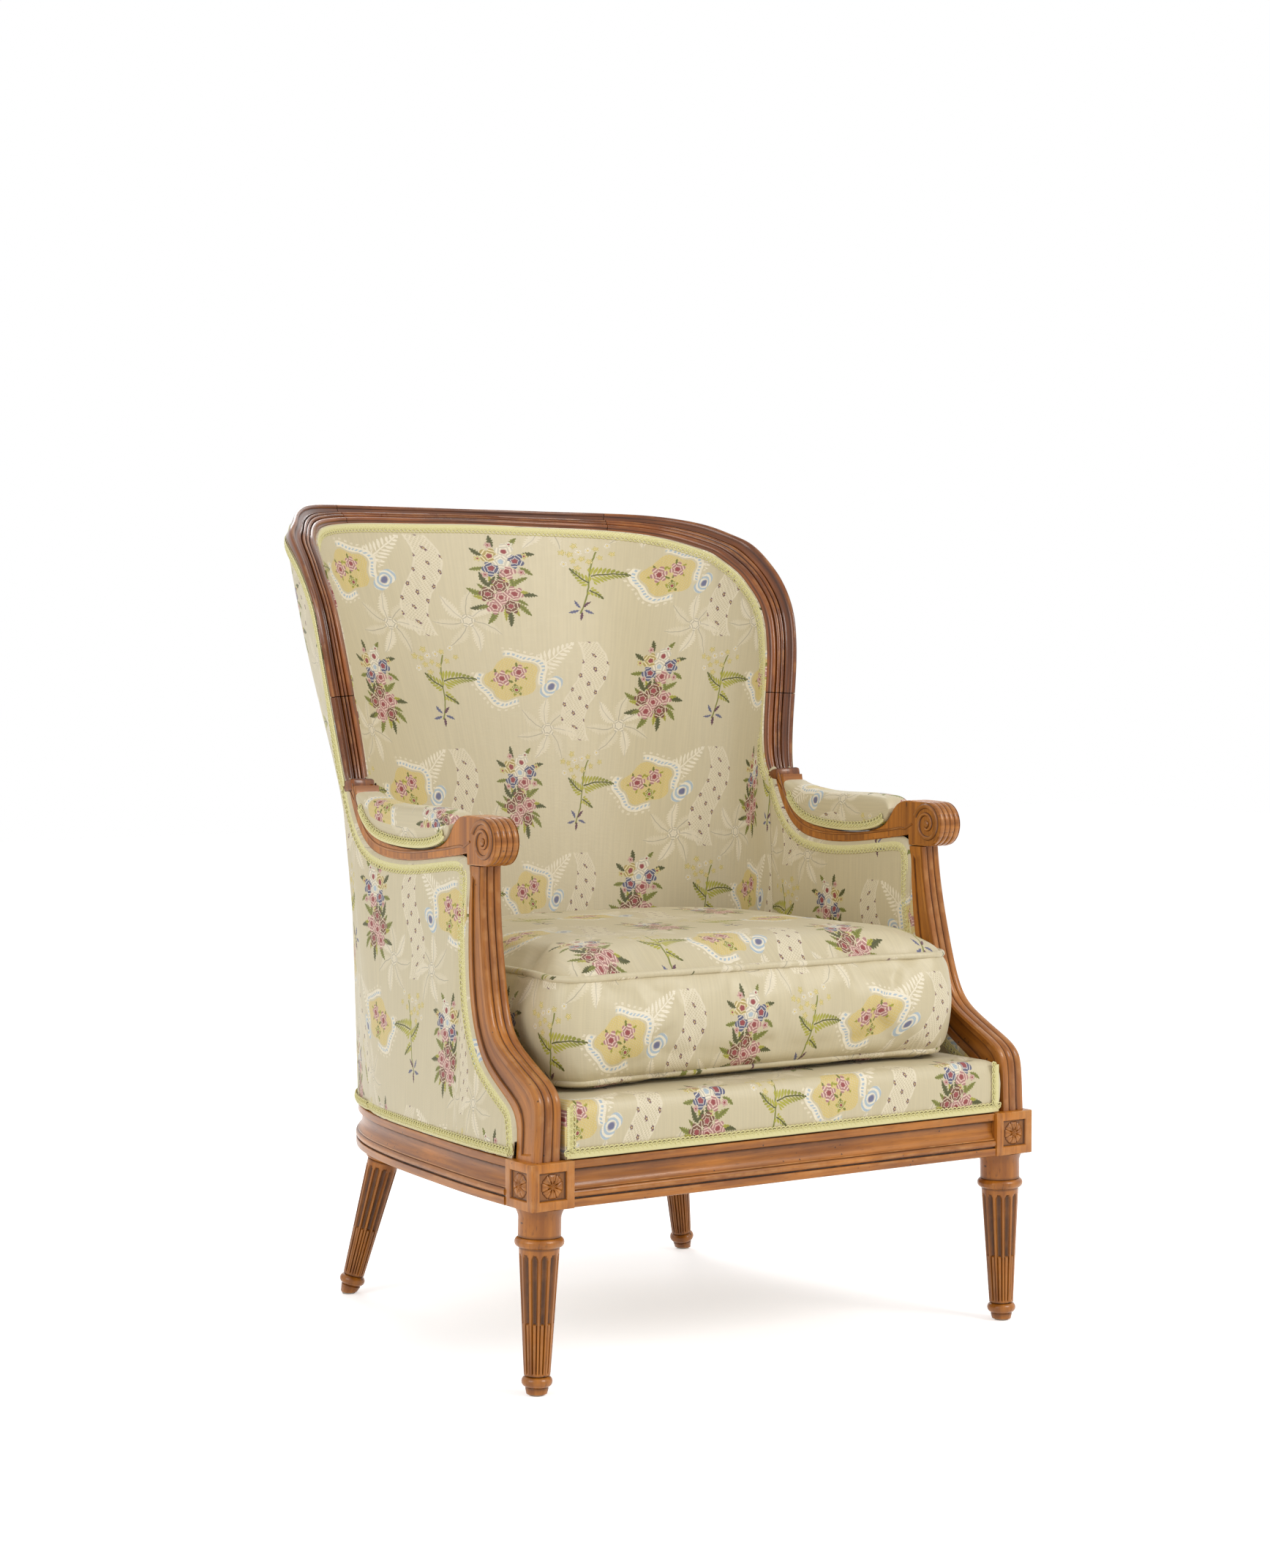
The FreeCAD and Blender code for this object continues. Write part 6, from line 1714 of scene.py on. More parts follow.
@dataclass(frozen=True)
class LegSizes:
    """Radii and heights of a leg's turnings along its axis, in millimetres."""

    plug: float
    foot: float
    foot_height: float
    shaft_low: float
    shaft_high: float
    ring: float
    ring_height: float
    neck: float
    neck_top: float
    collar: float
    length: float
    count: int = 12

    def profile(self) -> list[tuple[float, float, float]]:
        """Rows of (radius, height, recess) from foot to head."""
        rows = [(self.plug - 1.2, 0.0, -0.2), (self.plug, 1.5, -0.3), (self.plug + 1.4, self.foot_height - 7.4, 0.4)]
        for t in np.linspace(-80, 80, 13):
            a = math.radians(t)
            rows.append((self.foot - 6.0 + 6.0 * math.cos(a), self.foot_height + 6.0 * math.sin(a),
                         -0.5 * math.cos(a) ** 4 + 0.5 * (abs(t) > 70)))
        low, high = self.foot_height + 6.9, self.ring_height - 6.4
        for t in np.linspace(0, 1, 75):
            rows.append((self.shaft_low + (self.shaft_high - self.shaft_low) * t, low + (high - low) * t,
                         0.6 if t < 0.01 or t > 0.99 else 0.0))
        for t in np.linspace(-80, 80, 13):
            a = math.radians(t)
            rows.append((self.ring - 5.5 + 5.5 * math.cos(a), self.ring_height + 5.5 * math.sin(a),
                         -0.5 * math.cos(a) ** 4 + 0.5 * (abs(t) > 70)))
        rows.append((self.neck, self.ring_height + 6.0, 0.7))
        rows.append((self.neck, self.ring_height + 9.0, 0.0))
        rows.append((self.neck, self.neck_top, 0.0))
        for t in np.linspace(0.1, 1, 8):
            rows.append((self.neck + (self.collar - self.neck) * t**1.8,
                         self.neck_top + (self.length - self.neck_top) * t, 0.1 * t))
        return rows

    def flute(self, angles: np.ndarray, height: float) -> tuple[np.ndarray, np.ndarray]:
        """Sink of the flutes and its mark round the shaft at one height.

        Args:
            angles: directions round the axis.
            height: along the axis.

        Returns:
            How far each direction is cut in, and its recess.
        """
        low, high = self.foot_height + 8.5, self.ring_height - 16.0
        if not low < height < high + 3.0:
            return np.zeros_like(angles), np.zeros_like(angles)
        share = (height - low) / (high - low)
        stop = 0.43
        phase = ((angles / (2 * math.pi) * self.count) % 1.0) * 2 - 1
        width = 0.72
        end = min(max((high + 3.0 - height) / 5.0, 0.0), 1.0)
        width = width * math.sqrt(max(1 - (1 - end) ** 2, 0.0))
        if width < 0.05:
            return np.zeros_like(angles), np.zeros_like(angles)
        inside = np.abs(phase) < width
        bowl = np.sqrt(np.clip(1 - (phase / width) ** 2, 0, 1))
        start = min(max((height - low) / 2.0, 0.0), 1.0)
        # The flutes' recess marks are drawn dark by the wood as painted shade inside the flutes.
        if share > stop:
            sink = 3.1 * bowl**0.8
            tone = np.where(bowl > 0.35, 0.85 * bowl, 0.35)
        else:
            groove = np.clip(bowl * 2.4, 0, 1) * 2.0
            cable = np.clip(1 - (phase / (width * 0.72)) ** 2, 0, 1) ** 0.5 * 1.7
            sink = np.maximum(groove - cable, 0.0) * start
            tone = np.where(sink > 0.9, 0.6, -0.2 * start)
        return np.where(inside, sink, 0.0), np.where(inside, tone, np.where(np.abs(phase) > 0.9, -0.15, 0.001))


FRONT_LEG = LegSizes(
    plug=11.3, foot=16.9, foot_height=15.3, shaft_low=14.3, shaft_high=22.0, ring=26.9, ring_height=166.0, neck=23.3,
    neck_top=192.0, collar=27.0, length=202.6,
)
BACK_LEG = LegSizes(
    plug=10.6, foot=15.7, foot_height=18.0, shaft_low=12.8, shaft_high=19.6, ring=23.2, ring_height=178.0, neck=19.5,
    neck_top=196.0, collar=21.5, length=212.0,
)


# Seat, cushion and braid


@dataclass
class Seat:
    """Fixed seat: webs and hessian below, silk front and deck above."""

    plan: tuple = (
        (302.6, -20.0), (302.6, 40.0), (302.6, 110.0), (301.2, 190.0), (297.5, 290.0), (288.5, 372.0), (281.0, 418.0),
        (265.0, 454.0), (249.0, 476.0), (229.0, 493.0), (203.0, 506.0), (169.0, 516.5), (120.0, 526.5), (60.0, 532.0),
    )

    def cover(self, finish: Finishes) -> None:
        """Silk over the fixed seat, with a soft front edge."""
        right = [(x, y) for x, y in self.plan]
        ring = np.array(right + [(-x, y) for x, y in reversed(right)], dtype=float)
        fine = []
        for first, second in zip(ring, np.roll(ring, -1, axis=0)):
            steps = max(int(np.hypot(*(second - first)) / 12.0), 1)
            for k in range(steps):
                fine.append(first + (second - first) * k / steps)
        ring = np.array(fine)
        middle = np.array([0.0, 250.0])
        levels = ((313.0, -261.9), (313.0, -140.0), (313.0, -20.0), (298.0, -4.0), (254.4, -4.0), (254.4, 0.0),
                  (258.0, 0.2),
                  (272.0, 1.4), (288.0, 1.8), (300.0, 1.0), (308.0, -1.6), (313.0, -5.0), (315.4, -9.5), (316.0, -15.0),
                  (316.0, -60.0), (316.0, -140.0), (316.0, -235.0), (316.0, -261.9))
        sections, uvs = [], []
        for index, (z, grow) in enumerate(levels):
            flat = middle + (ring - middle) * (1 + grow / 262.0)
            sections.append(np.column_stack([flat, np.full(len(ring), z)]))
            ends = np.vstack([flat, flat[:1]]) / 1000
            rise = 0.06 + (ends[:, 1] + 0.02) if index > 12 else np.full(len(ends), (z - 254.0) / 1000)
            uvs.append(np.column_stack([ends[:, 0] + 0.16, rise]))
        obj = sweep("seat_silk", place(np.array(sections)), uvs=np.array(uvs) + [0.0, 0.03], sharp=80.0)
        dress(obj, finish.silk, nodes=("seat_cover", "seat_stuffing"))

    def below(self, finish: Finishes) -> None:
        """Webs and hessian seen from under the seat, woven over and under."""
        right = [(x, y) for x, y in self.plan]
        ring = np.array(right + [(-x, y) for x, y in reversed(right)], dtype=float)
        ring = np.array([0.0, 250.0]) + (ring - [0.0, 250.0]) * 0.985
        sections = [np.column_stack([ring, np.full(len(ring), z)]) for z in (257.4, 258.6)]
        obj = sweep("seat_hessian_cloth", place(np.array(sections)), sharp=60.0)
        dress(obj, finish.linen, nodes=("seat_hessian",))
        webs = []
        for index, reach in enumerate((505, 572, 590, 590, 572, 505)):
            webs.append((np.array([(index - 2.5) * 92.0, -8.0 + reach / 2]), reach, True, index))
        for index, reach in enumerate((648, 644, 632, 610, 568, 470)):
            webs.append((np.array([0.0, 62.0 + index * 86.0]), reach, False, index))
        for middle, reach, lengthwise, index in webs:
            t = np.linspace(-0.5, 0.5, 121)
            offset, half_wave = (0.0, 86.0) if lengthwise else (46.0, 92.0)
            wave = np.cos((t * reach + offset) / half_wave * math.pi + index * math.pi)
            mid = 255.6 + wave * (0.75 if lengthwise else -0.75) * np.clip((0.5 - np.abs(t)) * 12, 0, 1)
            run = np.array([0.0, 1.0]) if lengthwise else np.array([1.0, 0.0])
            across = np.array([run[1], run[0]])
            strip = []
            for share, z in zip(t, mid):
                spot = middle + run * share * reach
                a, b = spot - across * 25, spot + across * 25
                strip.append([(*a, z - 0.55), (*b, z - 0.55), (*b, z + 0.55), (*a, z + 0.55)])
            word = "long" if lengthwise else "cross"
            obj = sweep(f"web_{word}_{index + 1}", place(np.array(strip)), sharp=60.0)
            dress(obj, finish.webbing, nodes=("seat_webbing",) if (lengthwise and index == 0) else ())

    def build(self, finish: Finishes) -> None:
        """Make the fixed seat."""
        self.cover(finish)
        self.below(finish)


@dataclass
class Cushion:
    """Loose box cushion, filled with feather and piped along both seams."""

    arcs: tuple = (
        ((0.0, 17.0), (122.0, 16.0), (244.0, 14.0)), ((244.0, 14.0), (272.0, 26.0), (284.0, 54.0)),
        ((284.0, 54.0), (281.5, 190.0), (283.0, 335.0)), ((283.0, 335.0), (278.5, 395.0), (261.0, 441.0)),
        ((261.0, 441.0), (235.0, 477.0), (195.0, 501.0)), ((195.0, 501.0), (105.0, 526.0), (0.0, 532.0)),
    )
    seam_low: float = 326.0
    seam_high: float = 440.0
    pressure: float = 4.0
    cap: float = 16.0

    def outline(self, count: int) -> np.ndarray:
        """Seam line in plan, evenly spaced, from the middle of the front round to it again."""
        right: list[np.ndarray] = []
        for first, middle, last in self.arcs:
            a, b, c = (np.array(p, dtype=float) for p in (first, middle, last))
            for t in np.linspace(0, 1, 24, endpoint=False):
                right.append(a * (1 - t) * (1 - 2 * t) + b * 4 * t * (1 - t) + c * t * (2 * t - 1))
        right.append(np.array(self.arcs[-1][-1], dtype=float))
        line = np.array(right)
        left = line[::-1][1:-1] * [-1.0, 1.0]
        loop = np.vstack([line, left, line[:1]])
        lengths = run_lengths(loop)
        steps = np.linspace(0, lengths[-1], count + 1)[:-1]
        return np.stack([np.interp(steps, lengths, loop[:, k]) for k in range(2)], axis=1)

    def _shape(self) -> bpy.types.Object:
        """Sewn case before it is filled, slightly smaller than the finished cushion."""
        ring = self.outline(120)
        middle = np.array([0.0, 275.0])
        levels = [(318.5, 0.05), (319.0, 0.35), (319.5, 0.7), (321.0, 0.92), (323.5, 0.985), (327.0, 1.0)]
        levels += [(z, 1.0 + 0.022 * math.sin(math.pi * (z - 326) / 114)) for z in np.linspace(336, 430, 8)]
        levels += [(439.0, 1.0), (446.0, 0.97), (452.0, 0.89), (457.0, 0.72), (460.5, 0.45), (462.0, 0.05)]
        sections = [np.column_stack([middle + (ring - middle) * share, np.full(len(ring), z)]) for z, share in levels]
        return sweep("cushion_silk", place(np.array(sections)), sharp=180.0)

    def _fill(self, obj: bpy.types.Object) -> None:
        """Swell the case by a cloth simulation and keep it in its space."""
        remesh = obj.modifiers.new("remesh", "REMESH")
        remesh.mode = "VOXEL"
        remesh.voxel_size = 0.006
        apply_modifiers(obj)
        start = mesh_spots(obj)
        cloth = obj.modifiers.new("cloth", "CLOTH")
        cloth.settings.use_pressure = True
        cloth.settings.uniform_pressure_force = self.pressure
        cloth.settings.quality = 4
        cloth.settings.effector_weights.gravity = 0.0
        cloth.settings.tension_stiffness = 14.0
        cloth.settings.compression_stiffness = 14.0
        cloth.settings.bending_stiffness = 0.6
        cloth.point_cache.frame_start = 1
        cloth.point_cache.frame_end = 20
        for step in range(1, 21):
            bpy.context.scene.frame_set(step)
        apply_modifiers(obj)
        bpy.context.scene.frame_set(1)
        moved = mesh_spots(obj)
        shift = moved - start
        far = np.linalg.norm(shift, axis=1, keepdims=True)
        limit = self.cap / 1000
        shift *= np.minimum(1.0, limit / np.maximum(far, 1e-9))
        spots = start + shift
        spots[:, 2] = np.clip(spots[:, 2], CUSHION_BOTTOM, CUSHION_CROWN)
        x_limit = np.interp(spots[:, 1] * 1000 + CENTRE_DEPTH, CUSHION_DEPTHS, CUSHION_HALF_WIDTHS) / 1000
        spots[:, 0] = np.clip(spots[:, 0], -x_limit - 0.004, x_limit + 0.004)
        self._pull_in(spots)
        obj.data.vertices.foreach_set("co", spots.ravel())
        obj.data.update()

    def _pull_in(self, spots: np.ndarray) -> None:
        """Draw the border in along its seams and leave gentle puckers."""
        z = spots[:, 2] * 1000
        around = np.arctan2(spots[:, 0], spots[:, 1] + CENTRE_DEPTH / 1000 - CUSHION_MIDDLE)
        for seam in (self.seam_low, self.seam_high):
            near = np.exp(-(((z - seam) / 7.0) ** 2))
            pucker = 1.0 + 0.5 * np.sin(around * 61.0) * np.sin(around * 17.0 + 1.0)
            pull = near * 0.0030 * pucker
            reach = np.hypot(spots[:, 0], spots[:, 1] - (CUSHION_MIDDLE - CENTRE_DEPTH / 1000))
            spots[:, 0] -= spots[:, 0] / np.maximum(reach, 1e-6) * pull
            spots[:, 1] -= (spots[:, 1] - (CUSHION_MIDDLE - CENTRE_DEPTH / 1000)) / np.maximum(reach, 1e-6) * pull

    def _pattern(self, obj: bpy.types.Object) -> None:
        """Lay the design flat on the panels and round the border."""
        mesh = obj.data
        at = loop_spots(obj)
        centres = np.empty(len(mesh.polygons) * 3)
        mesh.polygons.foreach_get("center", centres)
        height = centres.reshape(-1, 3)[:, 2] * 1000
        totals = np.empty(len(mesh.polygons), dtype=np.int64)
        mesh.polygons.foreach_get("loop_total", totals)
        border = np.repeat((height > self.seam_low) & (height < self.seam_high), totals)
        loop = self.outline(400)
        ring = (np.vstack([loop, loop[:1]]) - [0.0, CENTRE_DEPTH]) / 1000
        lengths = run_lengths(ring)
        angles = np.arctan2(ring[:-1, 0], -(ring[:-1, 1] + 0.074))
        order = np.argsort(angles)
        spot_angles = np.arctan2(at[:, 0], -(at[:, 1] + 0.074))
        signed = np.where(lengths[:-1] > lengths[-1] / 2, lengths[:-1] - lengths[-1], lengths[:-1])
        around = np.interp(spot_angles, angles[order], signed[order])
        side = np.stack([around + 0.075, at[:, 2] - 0.30], axis=1)
        top = np.stack([at[:, 0] + 0.075, at[:, 1] + 0.349 + 0.13], axis=1)
        set_pattern(obj, np.where(border[:, None], side, top))

    def _piping(self, name: str, height: float, obj: bpy.types.Object, braid: Braid, finish: Finishes,
                node: str) -> None:
        """Covered cord laid along a seam of the filled cushion."""
        tree = BVHTree.FromObject(obj, bpy.context.evaluated_depsgraph_get())
        ring = self.outline(240)
        spots = []
        for x, depth in ring:
            start = Vector((x / 1000, (depth - CENTRE_DEPTH) / 1000, height / 1000))
            away = Vector((start.x, start.y + 0.074, 0.0)).normalized()
            hit = tree.ray_cast(start + away * 0.08, -away)[0] or start
            spots.append(hit + away * 0.0022)
        line = np.array([tuple(s) for s in spots])
        for _ in range(3):
            line = line * 0.5 + (np.roll(line, 1, axis=0) + np.roll(line, -1, axis=0)) * 0.25
        cord = braid.cord(name, line, 0.0040)
        dress(cord, finish.silk, CUSHION, (node,))

    def build(self, finish: Finishes, braid: Braid) -> None:
        """Make the cushion and its piping."""
        obj = self._shape()
        self._fill(obj)
        smooth = obj.modifiers.new("smooth", "SMOOTH")
        smooth.iterations = 3
        smooth.factor = 0.5
        apply_modifiers(obj)
        finer = obj.modifiers.new("finer", "SUBSURF")
        finer.levels = finer.render_levels = 1
        apply_modifiers(obj)
        point_outwards(obj, 180.0)
        self._pattern(obj)
        dress(obj, finish.silk, CUSHION, ("cushion_cover", "cushion_filling"))
        self._piping("piping_low", self.seam_low, obj, braid, finish, "cushion_piping_lower")
        self._piping("piping_high", self.seam_high, obj, braid, finish, "cushion_piping_upper")


@dataclass
class Braid:
    """Looped silk braid that covers the tacks, and the cushion's covered cord."""

    width: float = 0.0105
    thickness: float = 0.0014
    pitch: float = 0.0062
    loop_radius: float = 0.0027
    thread: float = 0.00075

    def __post_init__(self) -> None:
        """Build both node trees once."""
        self.loops = self._loop_tree()
        self.cords = self._cord_tree()

    @staticmethod
    def _start(name: str, spacing: str, inputs: dict[str, float]) -> tuple[Graph, Sockets, Sockets, Socket]:
        """Start a geometry tree that follows a guide.

        Args:
            name: the tree's name.
            spacing: input that says how far apart the guide's points are set.
            inputs: named sizes and their first values.

        Returns:
            The graph, what comes in, what goes out, and the evenly spaced guide.
        """
        tree = bpy.data.node_groups.new(name, "GeometryNodeTree")
        tree.interface.new_socket("Guide", in_out="INPUT", socket_type="NodeSocketGeometry")
        for word, value in inputs.items():
            tree.interface.new_socket(word, in_out="INPUT", socket_type="NodeSocketFloat").default_value = value
        tree.interface.new_socket("Finish", in_out="INPUT", socket_type="NodeSocketMaterial")
        tree.interface.new_socket("Mesh", in_out="OUTPUT", socket_type="NodeSocketGeometry")
        g = Graph(tree)
        into, out = g.node("NodeGroupInput").outputs, g.node("NodeGroupOutput").inputs
        curve = g.node("GeometryNodeMeshToCurve")
        g.plug(curve.inputs["Mesh"], into["Guide"])
        spaced = g.node("GeometryNodeResampleCurve")
        if hasattr(spaced, "mode"):
            spaced.mode = "LENGTH"
        g.plug(spaced.inputs["Curve"], curve.outputs[0])
        g.plug(spaced.inputs["Length"], into[spacing])
        return g, into, out, spaced.outputs[0]

    @staticmethod
    def _ring(g: Graph, radius: Socket, corners: int) -> Socket:
        """Circle of a given radius."""
        made = g.node("GeometryNodeCurvePrimitiveCircle", mode="RADIUS")
        g.fix(made, Resolution=corners)
        g.plug(made.inputs["Radius"], radius)
        return made.outputs[0]

    @staticmethod
    def _tube(g: Graph, path: Socket, section: Socket) -> Socket:
        """Tube along a path."""
        made = g.node("GeometryNodeCurveToMesh")
        g.plug(made.inputs["Curve"], path)
        g.plug(made.inputs["Profile Curve"], section)
        return made.outputs[0]

    @staticmethod
    def _end(g: Graph, into: Sockets, out: Sockets, shape: Socket) -> bpy.types.NodeTree:
        """Make the shape real and give it its finish."""
        real = g.node("GeometryNodeRealizeInstances")
        g.plug(real.inputs[0], shape)
        painted = g.node("GeometryNodeSetMaterial")
        g.plug(painted.inputs["Geometry"], real.outputs[0])
        g.plug(painted.inputs["Material"], into["Finish"])
        g.plug(out[0], painted.outputs[0])
        return g.tree

    def _loop_tree(self) -> bpy.types.NodeTree:
        """Loops set one after the other along a guide, lying on its surface."""
        sizes = {"Pitch": self.pitch, "Loop Radius": self.loop_radius, "Thread Radius": self.thread}
        g, into, out, points = self._start("braid loops", "Pitch", sizes)
        loop = self._tube(g, self._ring(g, into["Loop Radius"], 9), self._ring(g, into["Thread Radius"], 4))
        shaped = g.node("GeometryNodeTransform")
        g.plug(shaped.inputs["Geometry"], loop)
        g.fix(shaped, Scale=(1.35, 1.0, 1.0))
        off = g.node("GeometryNodeInputNamedAttribute", data_type="FLOAT_VECTOR")
        g.fix(off, Name="off")
        turn = g.node("FunctionNodeAxesToRotation", primary_axis="Z", secondary_axis="X")
        g.plug(turn.inputs[0], off.outputs[0])
        g.plug(turn.inputs[1], g.node("GeometryNodeInputTangent").outputs[0])
        tilt = g.node("FunctionNodeRotateRotation", rotation_space="LOCAL")
        g.plug(tilt.inputs[0], turn.outputs[0])
        tilt.inputs[1].default_value = (0.22, 0.0, 0.45)
        put = g.node("GeometryNodeInstanceOnPoints")
        for word, source in (("Points", points), ("Instance", shaped.outputs[0]), ("Rotation", tilt.outputs[0])):
            g.plug(put.inputs[word], source)
        return self._end(g, into, out, put.outputs[0])

    def _cord_tree(self) -> bpy.types.NodeTree:
        """Round cord along a guide."""
        g, into, out, points = self._start("covered cord", "Spacing", {"Radius": 0.0034, "Spacing": 0.004})
        return self._end(g, into, out, self._tube(g, points, self._ring(g, into["Radius"], 14)))

    @staticmethod
    def _guide(name: str, line: np.ndarray, off: np.ndarray | None, closed: bool) -> bpy.types.Object:
        """Row of joined points that a tree follows."""
        mesh = bpy.data.meshes.new(name)
        count = len(line)
        edges = [(i, i + 1) for i in range(count - 1)] + ([(count - 1, 0)] if closed else [])
        mesh.from_pydata([tuple(p) for p in line], edges, [])
        if off is not None:
            layer = mesh.attributes.new("off", "FLOAT_VECTOR", "POINT")
            layer.data.foreach_set("vector", off.astype(np.float32).ravel())
        obj = bpy.data.objects.new(name, mesh)
        bpy.context.scene.collection.objects.link(obj)
        return obj

    @staticmethod
    def _grow(obj: bpy.types.Object, tree: bpy.types.NodeTree, **values: object) -> None:
        """Run a tree on a guide and keep the result as a plain mesh."""
        modifier = obj.modifiers.new("grow", "NODES")
        modifier.node_group = tree
        for item in tree.interface.items_tree:
            key = item.name.replace(" ", "_")
            if item.in_out == "INPUT" and key in values:
                modifier[item.identifier] = values[key]
        apply_modifiers(obj)

    def cord(self, name: str, line: np.ndarray, radius: float) -> bpy.types.Object:
        """Closed cord with its pattern running slantwise round it."""
        obj = self._guide(name, line, None, True)
        self._grow(obj, self.cords, Radius=radius)
        at = loop_spots(obj)
        set_pattern(obj, np.stack([at[:, 0] + at[:, 1] * 0.7, at[:, 2] + at[:, 1]], axis=1))
        finish_mesh(obj, 180.0)
        return obj

    def lay(self, name: str, runs: Sequence[tuple[np.ndarray, np.ndarray, np.ndarray]], nodes: Sequence[str],
            finish: Finishes) -> None:
        """Lay the braid along lines on the cloth.

        Args:
            name: the piece's name.
            runs: for each length, its places, the ways into the cloth and off it.
            nodes: the solids that it replaces.
            finish: the materials.
        """
        for number, (line, ways, off) in enumerate(runs):
            tag = name if len(runs) == 1 else f"{name}_{number + 1}"
            sections = []
            for spot, way, out in zip(line, ways, off):
                profile = ((0.0, 0.1), (0.04, 0.75), (0.12, 1.0), (0.3, 0.8), (0.5, 1.0), (0.56, 0.55), (0.78, 0.5),
                           (0.8, 0.0), (0.0, 0.0))
                sections.append([spot + way * share * self.width + out * lift * self.thickness for share,
                                 lift in profile])
            band = sweep(tag + "_band", np.array(sections), sharp=55.0)
            dress(band, finish.braid_band, nodes=nodes if number == 0 else ())
            for row, share, radius in (("edge", 0.77, self.loop_radius), ("inner", 0.56, self.loop_radius * 0.8)):
                guide = self._guide(f"{tag}_{row}", line + ways * share * self.width + off * self.thickness * 0.75,
                                    off, False)
                self._grow(guide, self.loops, Pitch=self.pitch, Loop_Radius=radius, Thread_Radius=self.thread,
                           Finish=finish.braid_loop)
                guide.data.shade_smooth()
                dress(guide, finish.braid_loop)

    def build(self, back: Back, arms: Arms, finish: Finishes) -> None:
        """Lay all braid of the chair."""
        self.lay("braid_back_inside", [back.edge_path(True, 0.0, 26.0, 330)], ("gimp_back_inside",), finish)
        self.lay("braid_back_outside", [back.edge_path(False, 0.0, 26.0, 330)], ("gimp_back_outside",), finish)
        for side in Side:
            for inside in (True, False):
                word = "inside" if inside else "outside"
                self.lay(f"braid_arm_{word}_{side.word}", [arms.side_braid(side, inside)],
                         (f"gimp_arm_{word}_{side.word}",), finish)
            runs = [arms.pad_braid(side, inside) for inside in (True, False)]
            self.lay(f"braid_pad_{side.word}", runs, (f"gimp_pad_{side.word}",), finish)
        self.lay("braid_rail", [self._rail_line(back, arms)], ("gimp_rail",), finish)
        self.lay("braid_seat", self._seat_lines(), ("gimp_seat_front",), finish)

    @staticmethod
    def _rail_line(back: Back, arms: Arms) -> tuple[np.ndarray, np.ndarray, np.ndarray]:
        """Line where the outer covers stand on the rails."""
        right = [s[2] for s in arms.stations[1:]] + [row[1] for row in back.skin_low[1:]]
        left = [(-x, y) for x, y in right[:-1]]
        curve = Curve(left + right[::-1])
        steps = np.linspace(0, curve.last, 360)
        spots = curve.many(steps)
        along = unit(np.gradient(spots, axis=0))
        out = np.column_stack([-along[:, 1], along[:, 0], np.zeros(len(spots))])
        line = np.column_stack([spots, np.full(len(spots), 254.4)]) + out * 1.2
        ways = unit(np.tile([0.0, 0.0, 1.0], (len(spots), 1)) + out * 0.08)
        return place(line), ways, out

    @staticmethod
    def _seat_lines() -> list[tuple[np.ndarray, np.ndarray, np.ndarray]]:
        """Braid along the foot and up the ends of the seat's front."""
        x = np.linspace(-302.0, 302.0, 90)
        level = np.column_stack([x, np.full(90, -21.0), np.full(90, 254.6)])
        runs = [(place(level), np.tile([0.0, 0.0, 1.0], (90, 1)), np.tile([0.0, -1.0, 0.0], (90, 1)))]
        for side in Side:
            z = np.linspace(265.5, 311.0, 16)
            rise = np.column_stack([np.full(16, side.value * 302.0), np.full(16, -21.6), z])
            runs.append((place(rise), np.tile([-float(side.value), 0.0, 0.0], (16, 1)),
                         np.tile([0.0, -1.0, 0.0], (16, 1))))
        return runs


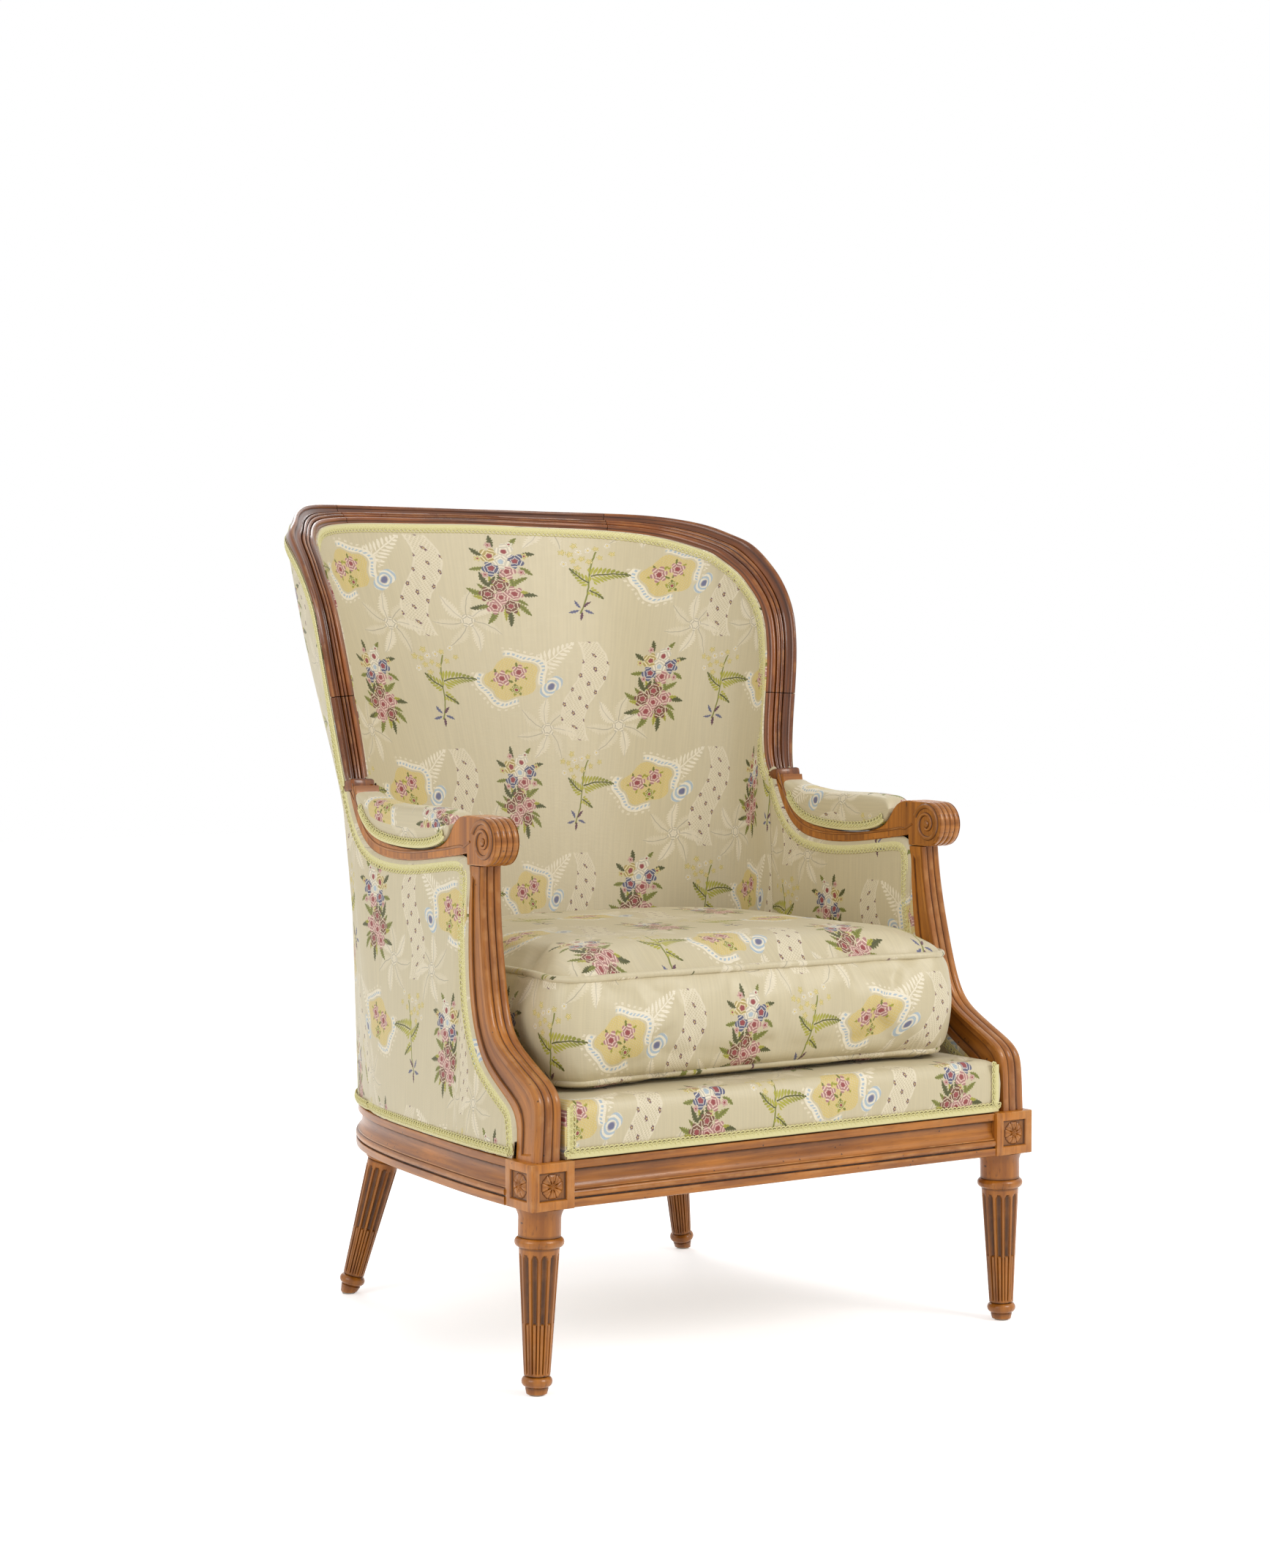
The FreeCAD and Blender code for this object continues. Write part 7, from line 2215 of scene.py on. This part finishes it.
@dataclass
class Studio:
    """Pale floor, soft lamps and the camera."""

    spot: tuple = (-1.9818, -3.0167, 0.7909)
    tilt: float = 87.549
    turn: float = -33.738
    lens: float = 67.74
    sensor: float = 36.0
    floor_half: float = 9.0
    floor_glow: float = 0.5
    room_light: float = 0.55
    # Lamps as (name, place, size, power, tint)
    lamps: tuple = (
        ("key", (1.3, -2.9, 2.7), 1.5, 62.0, (1.0, 0.985, 0.96)), (
            "side", (-3.0, -0.6, 1.9), 1.6, 30.0, (1.0, 1.0, 1.0)),
        ("rear", (0.8, 2.6, 2.4), 1.6, 26.0, (1.0, 1.0, 1.0)),
    )

    def camera(self) -> None:
        """Stand the camera where the chair was seen from."""
        data = bpy.data.cameras.new("view")
        data.sensor_fit, data.sensor_height, data.lens = "VERTICAL", self.sensor, self.lens
        obj = bpy.data.objects.new("view", data)
        bpy.context.scene.collection.objects.link(obj)
        obj.location = self.spot
        obj.rotation_euler = (math.radians(self.tilt), 0.0, math.radians(self.turn))
        bpy.context.scene.camera = obj

    @staticmethod
    def _seen(g: Graph) -> Socket:
        """One where a camera, a gloss or a glass ray looks, otherwise nothing."""
        path = g.node("ShaderNodeLightPath").outputs
        return g.larger(g.larger(path["Is Camera Ray"], path["Is Glossy Ray"]), path["Is Transmission Ray"])

    def _floor(self) -> None:
        """Plain floor that shows white but for the chair's shadow."""
        mesh = bpy.data.meshes.new("floor")
        half = self.floor_half
        mesh.from_pydata([(-half, -half, 0), (half, -half, 0), (half, half, 0), (-half, half, 0)], [], [(0, 1, 2, 3)])
        obj = bpy.data.objects.new("floor", mesh)
        bpy.context.scene.collection.objects.link(obj)
        material, g, shader = new_material("pale floor")
        spot = g.node("ShaderNodeTexCoord").outputs["Object"]
        speck = g.noise(spot, 40.0, 2.0)
        g.plug(shader.inputs["Base Color"], g.mix(speck, srgb(250, 250, 250), srgb(252, 252, 252)))
        g.fix(shader, Roughness=0.95, Specular_IOR_Level=0.0)
        glow = g.node("ShaderNodeEmission")
        g.fix(glow, Color=(1, 1, 1, 1), Strength=self.floor_glow)
        seen = g.node("ShaderNodeAddShader")
        g.plug(seen.inputs[0], shader.outputs[0])
        g.plug(seen.inputs[1], glow.outputs[0])
        pick = g.node("ShaderNodeMixShader")
        g.plug(pick.inputs[0], self._seen(g))
        g.plug(pick.inputs[1], shader.outputs[0])
        g.plug(pick.inputs[2], seen.outputs[0])
        g.plug(material.node_tree.nodes["Material Output"].inputs[0], pick.outputs[0])
        mesh.materials.append(material)

    @staticmethod
    def _lamp(name: str, spot: Row, size: float, power: float, tint: Row) -> None:
        """Square soft lamp that faces the chair."""
        data = bpy.data.lights.new(name, "AREA")
        data.shape = "SQUARE"
        data.size = size
        data.energy = power
        data.color = tint
        obj = bpy.data.objects.new(name, data)
        obj.location = spot
        way = Vector((0.0, 0.0, 0.5)) - Vector(spot)
        obj.rotation_euler = way.to_track_quat("-Z", "Y").to_euler()
        bpy.context.scene.collection.objects.link(obj)

    def build(self) -> None:
        """Set the stage."""
        self.camera()
        self._floor()
        for lamp in self.lamps:
            self._lamp(*lamp)
        world = bpy.data.worlds.new("room")
        bpy.context.scene.world = world
        world.use_nodes = True
        g = Graph(world.node_tree)
        back = world.node_tree.nodes["Background"]
        g.plug(back.inputs["Strength"], g.mul_add(self._seen(g), 1.0 - self.room_light, self.room_light))
        g.fix(back, Color=(1, 1, 1, 1))
        bpy.context.scene.view_settings.view_transform = "Standard"


def dress_hidden(finish: Finishes) -> None:
    """Give the wood and metal that stays as modelled its finish."""
    rough = ("corner_braces", "back_upright_left", "back_upright_right", "lower_back_rail")
    for name, material in [(word, finish.raw_wood) for word in rough] + [("foot_glides", finish.metal)]:
        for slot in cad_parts[name].material_slots:
            slot.material = material


def main() -> None:
    """Build the dressed chair piece by piece."""
    logging.basicConfig(level=logging.INFO, format="%(message)s")
    Studio().build()
    finish = Finishes()
    back, arms, braid = Back(), Arms(), Braid()
    back.build(finish)
    arms.build(finish)
    SeatFrame().build(finish)
    Seat().build(finish)
    Cushion().build(finish, braid)
    braid.build(back, arms, finish)
    dress_hidden(finish)


if __name__ == "__main__":
    main()
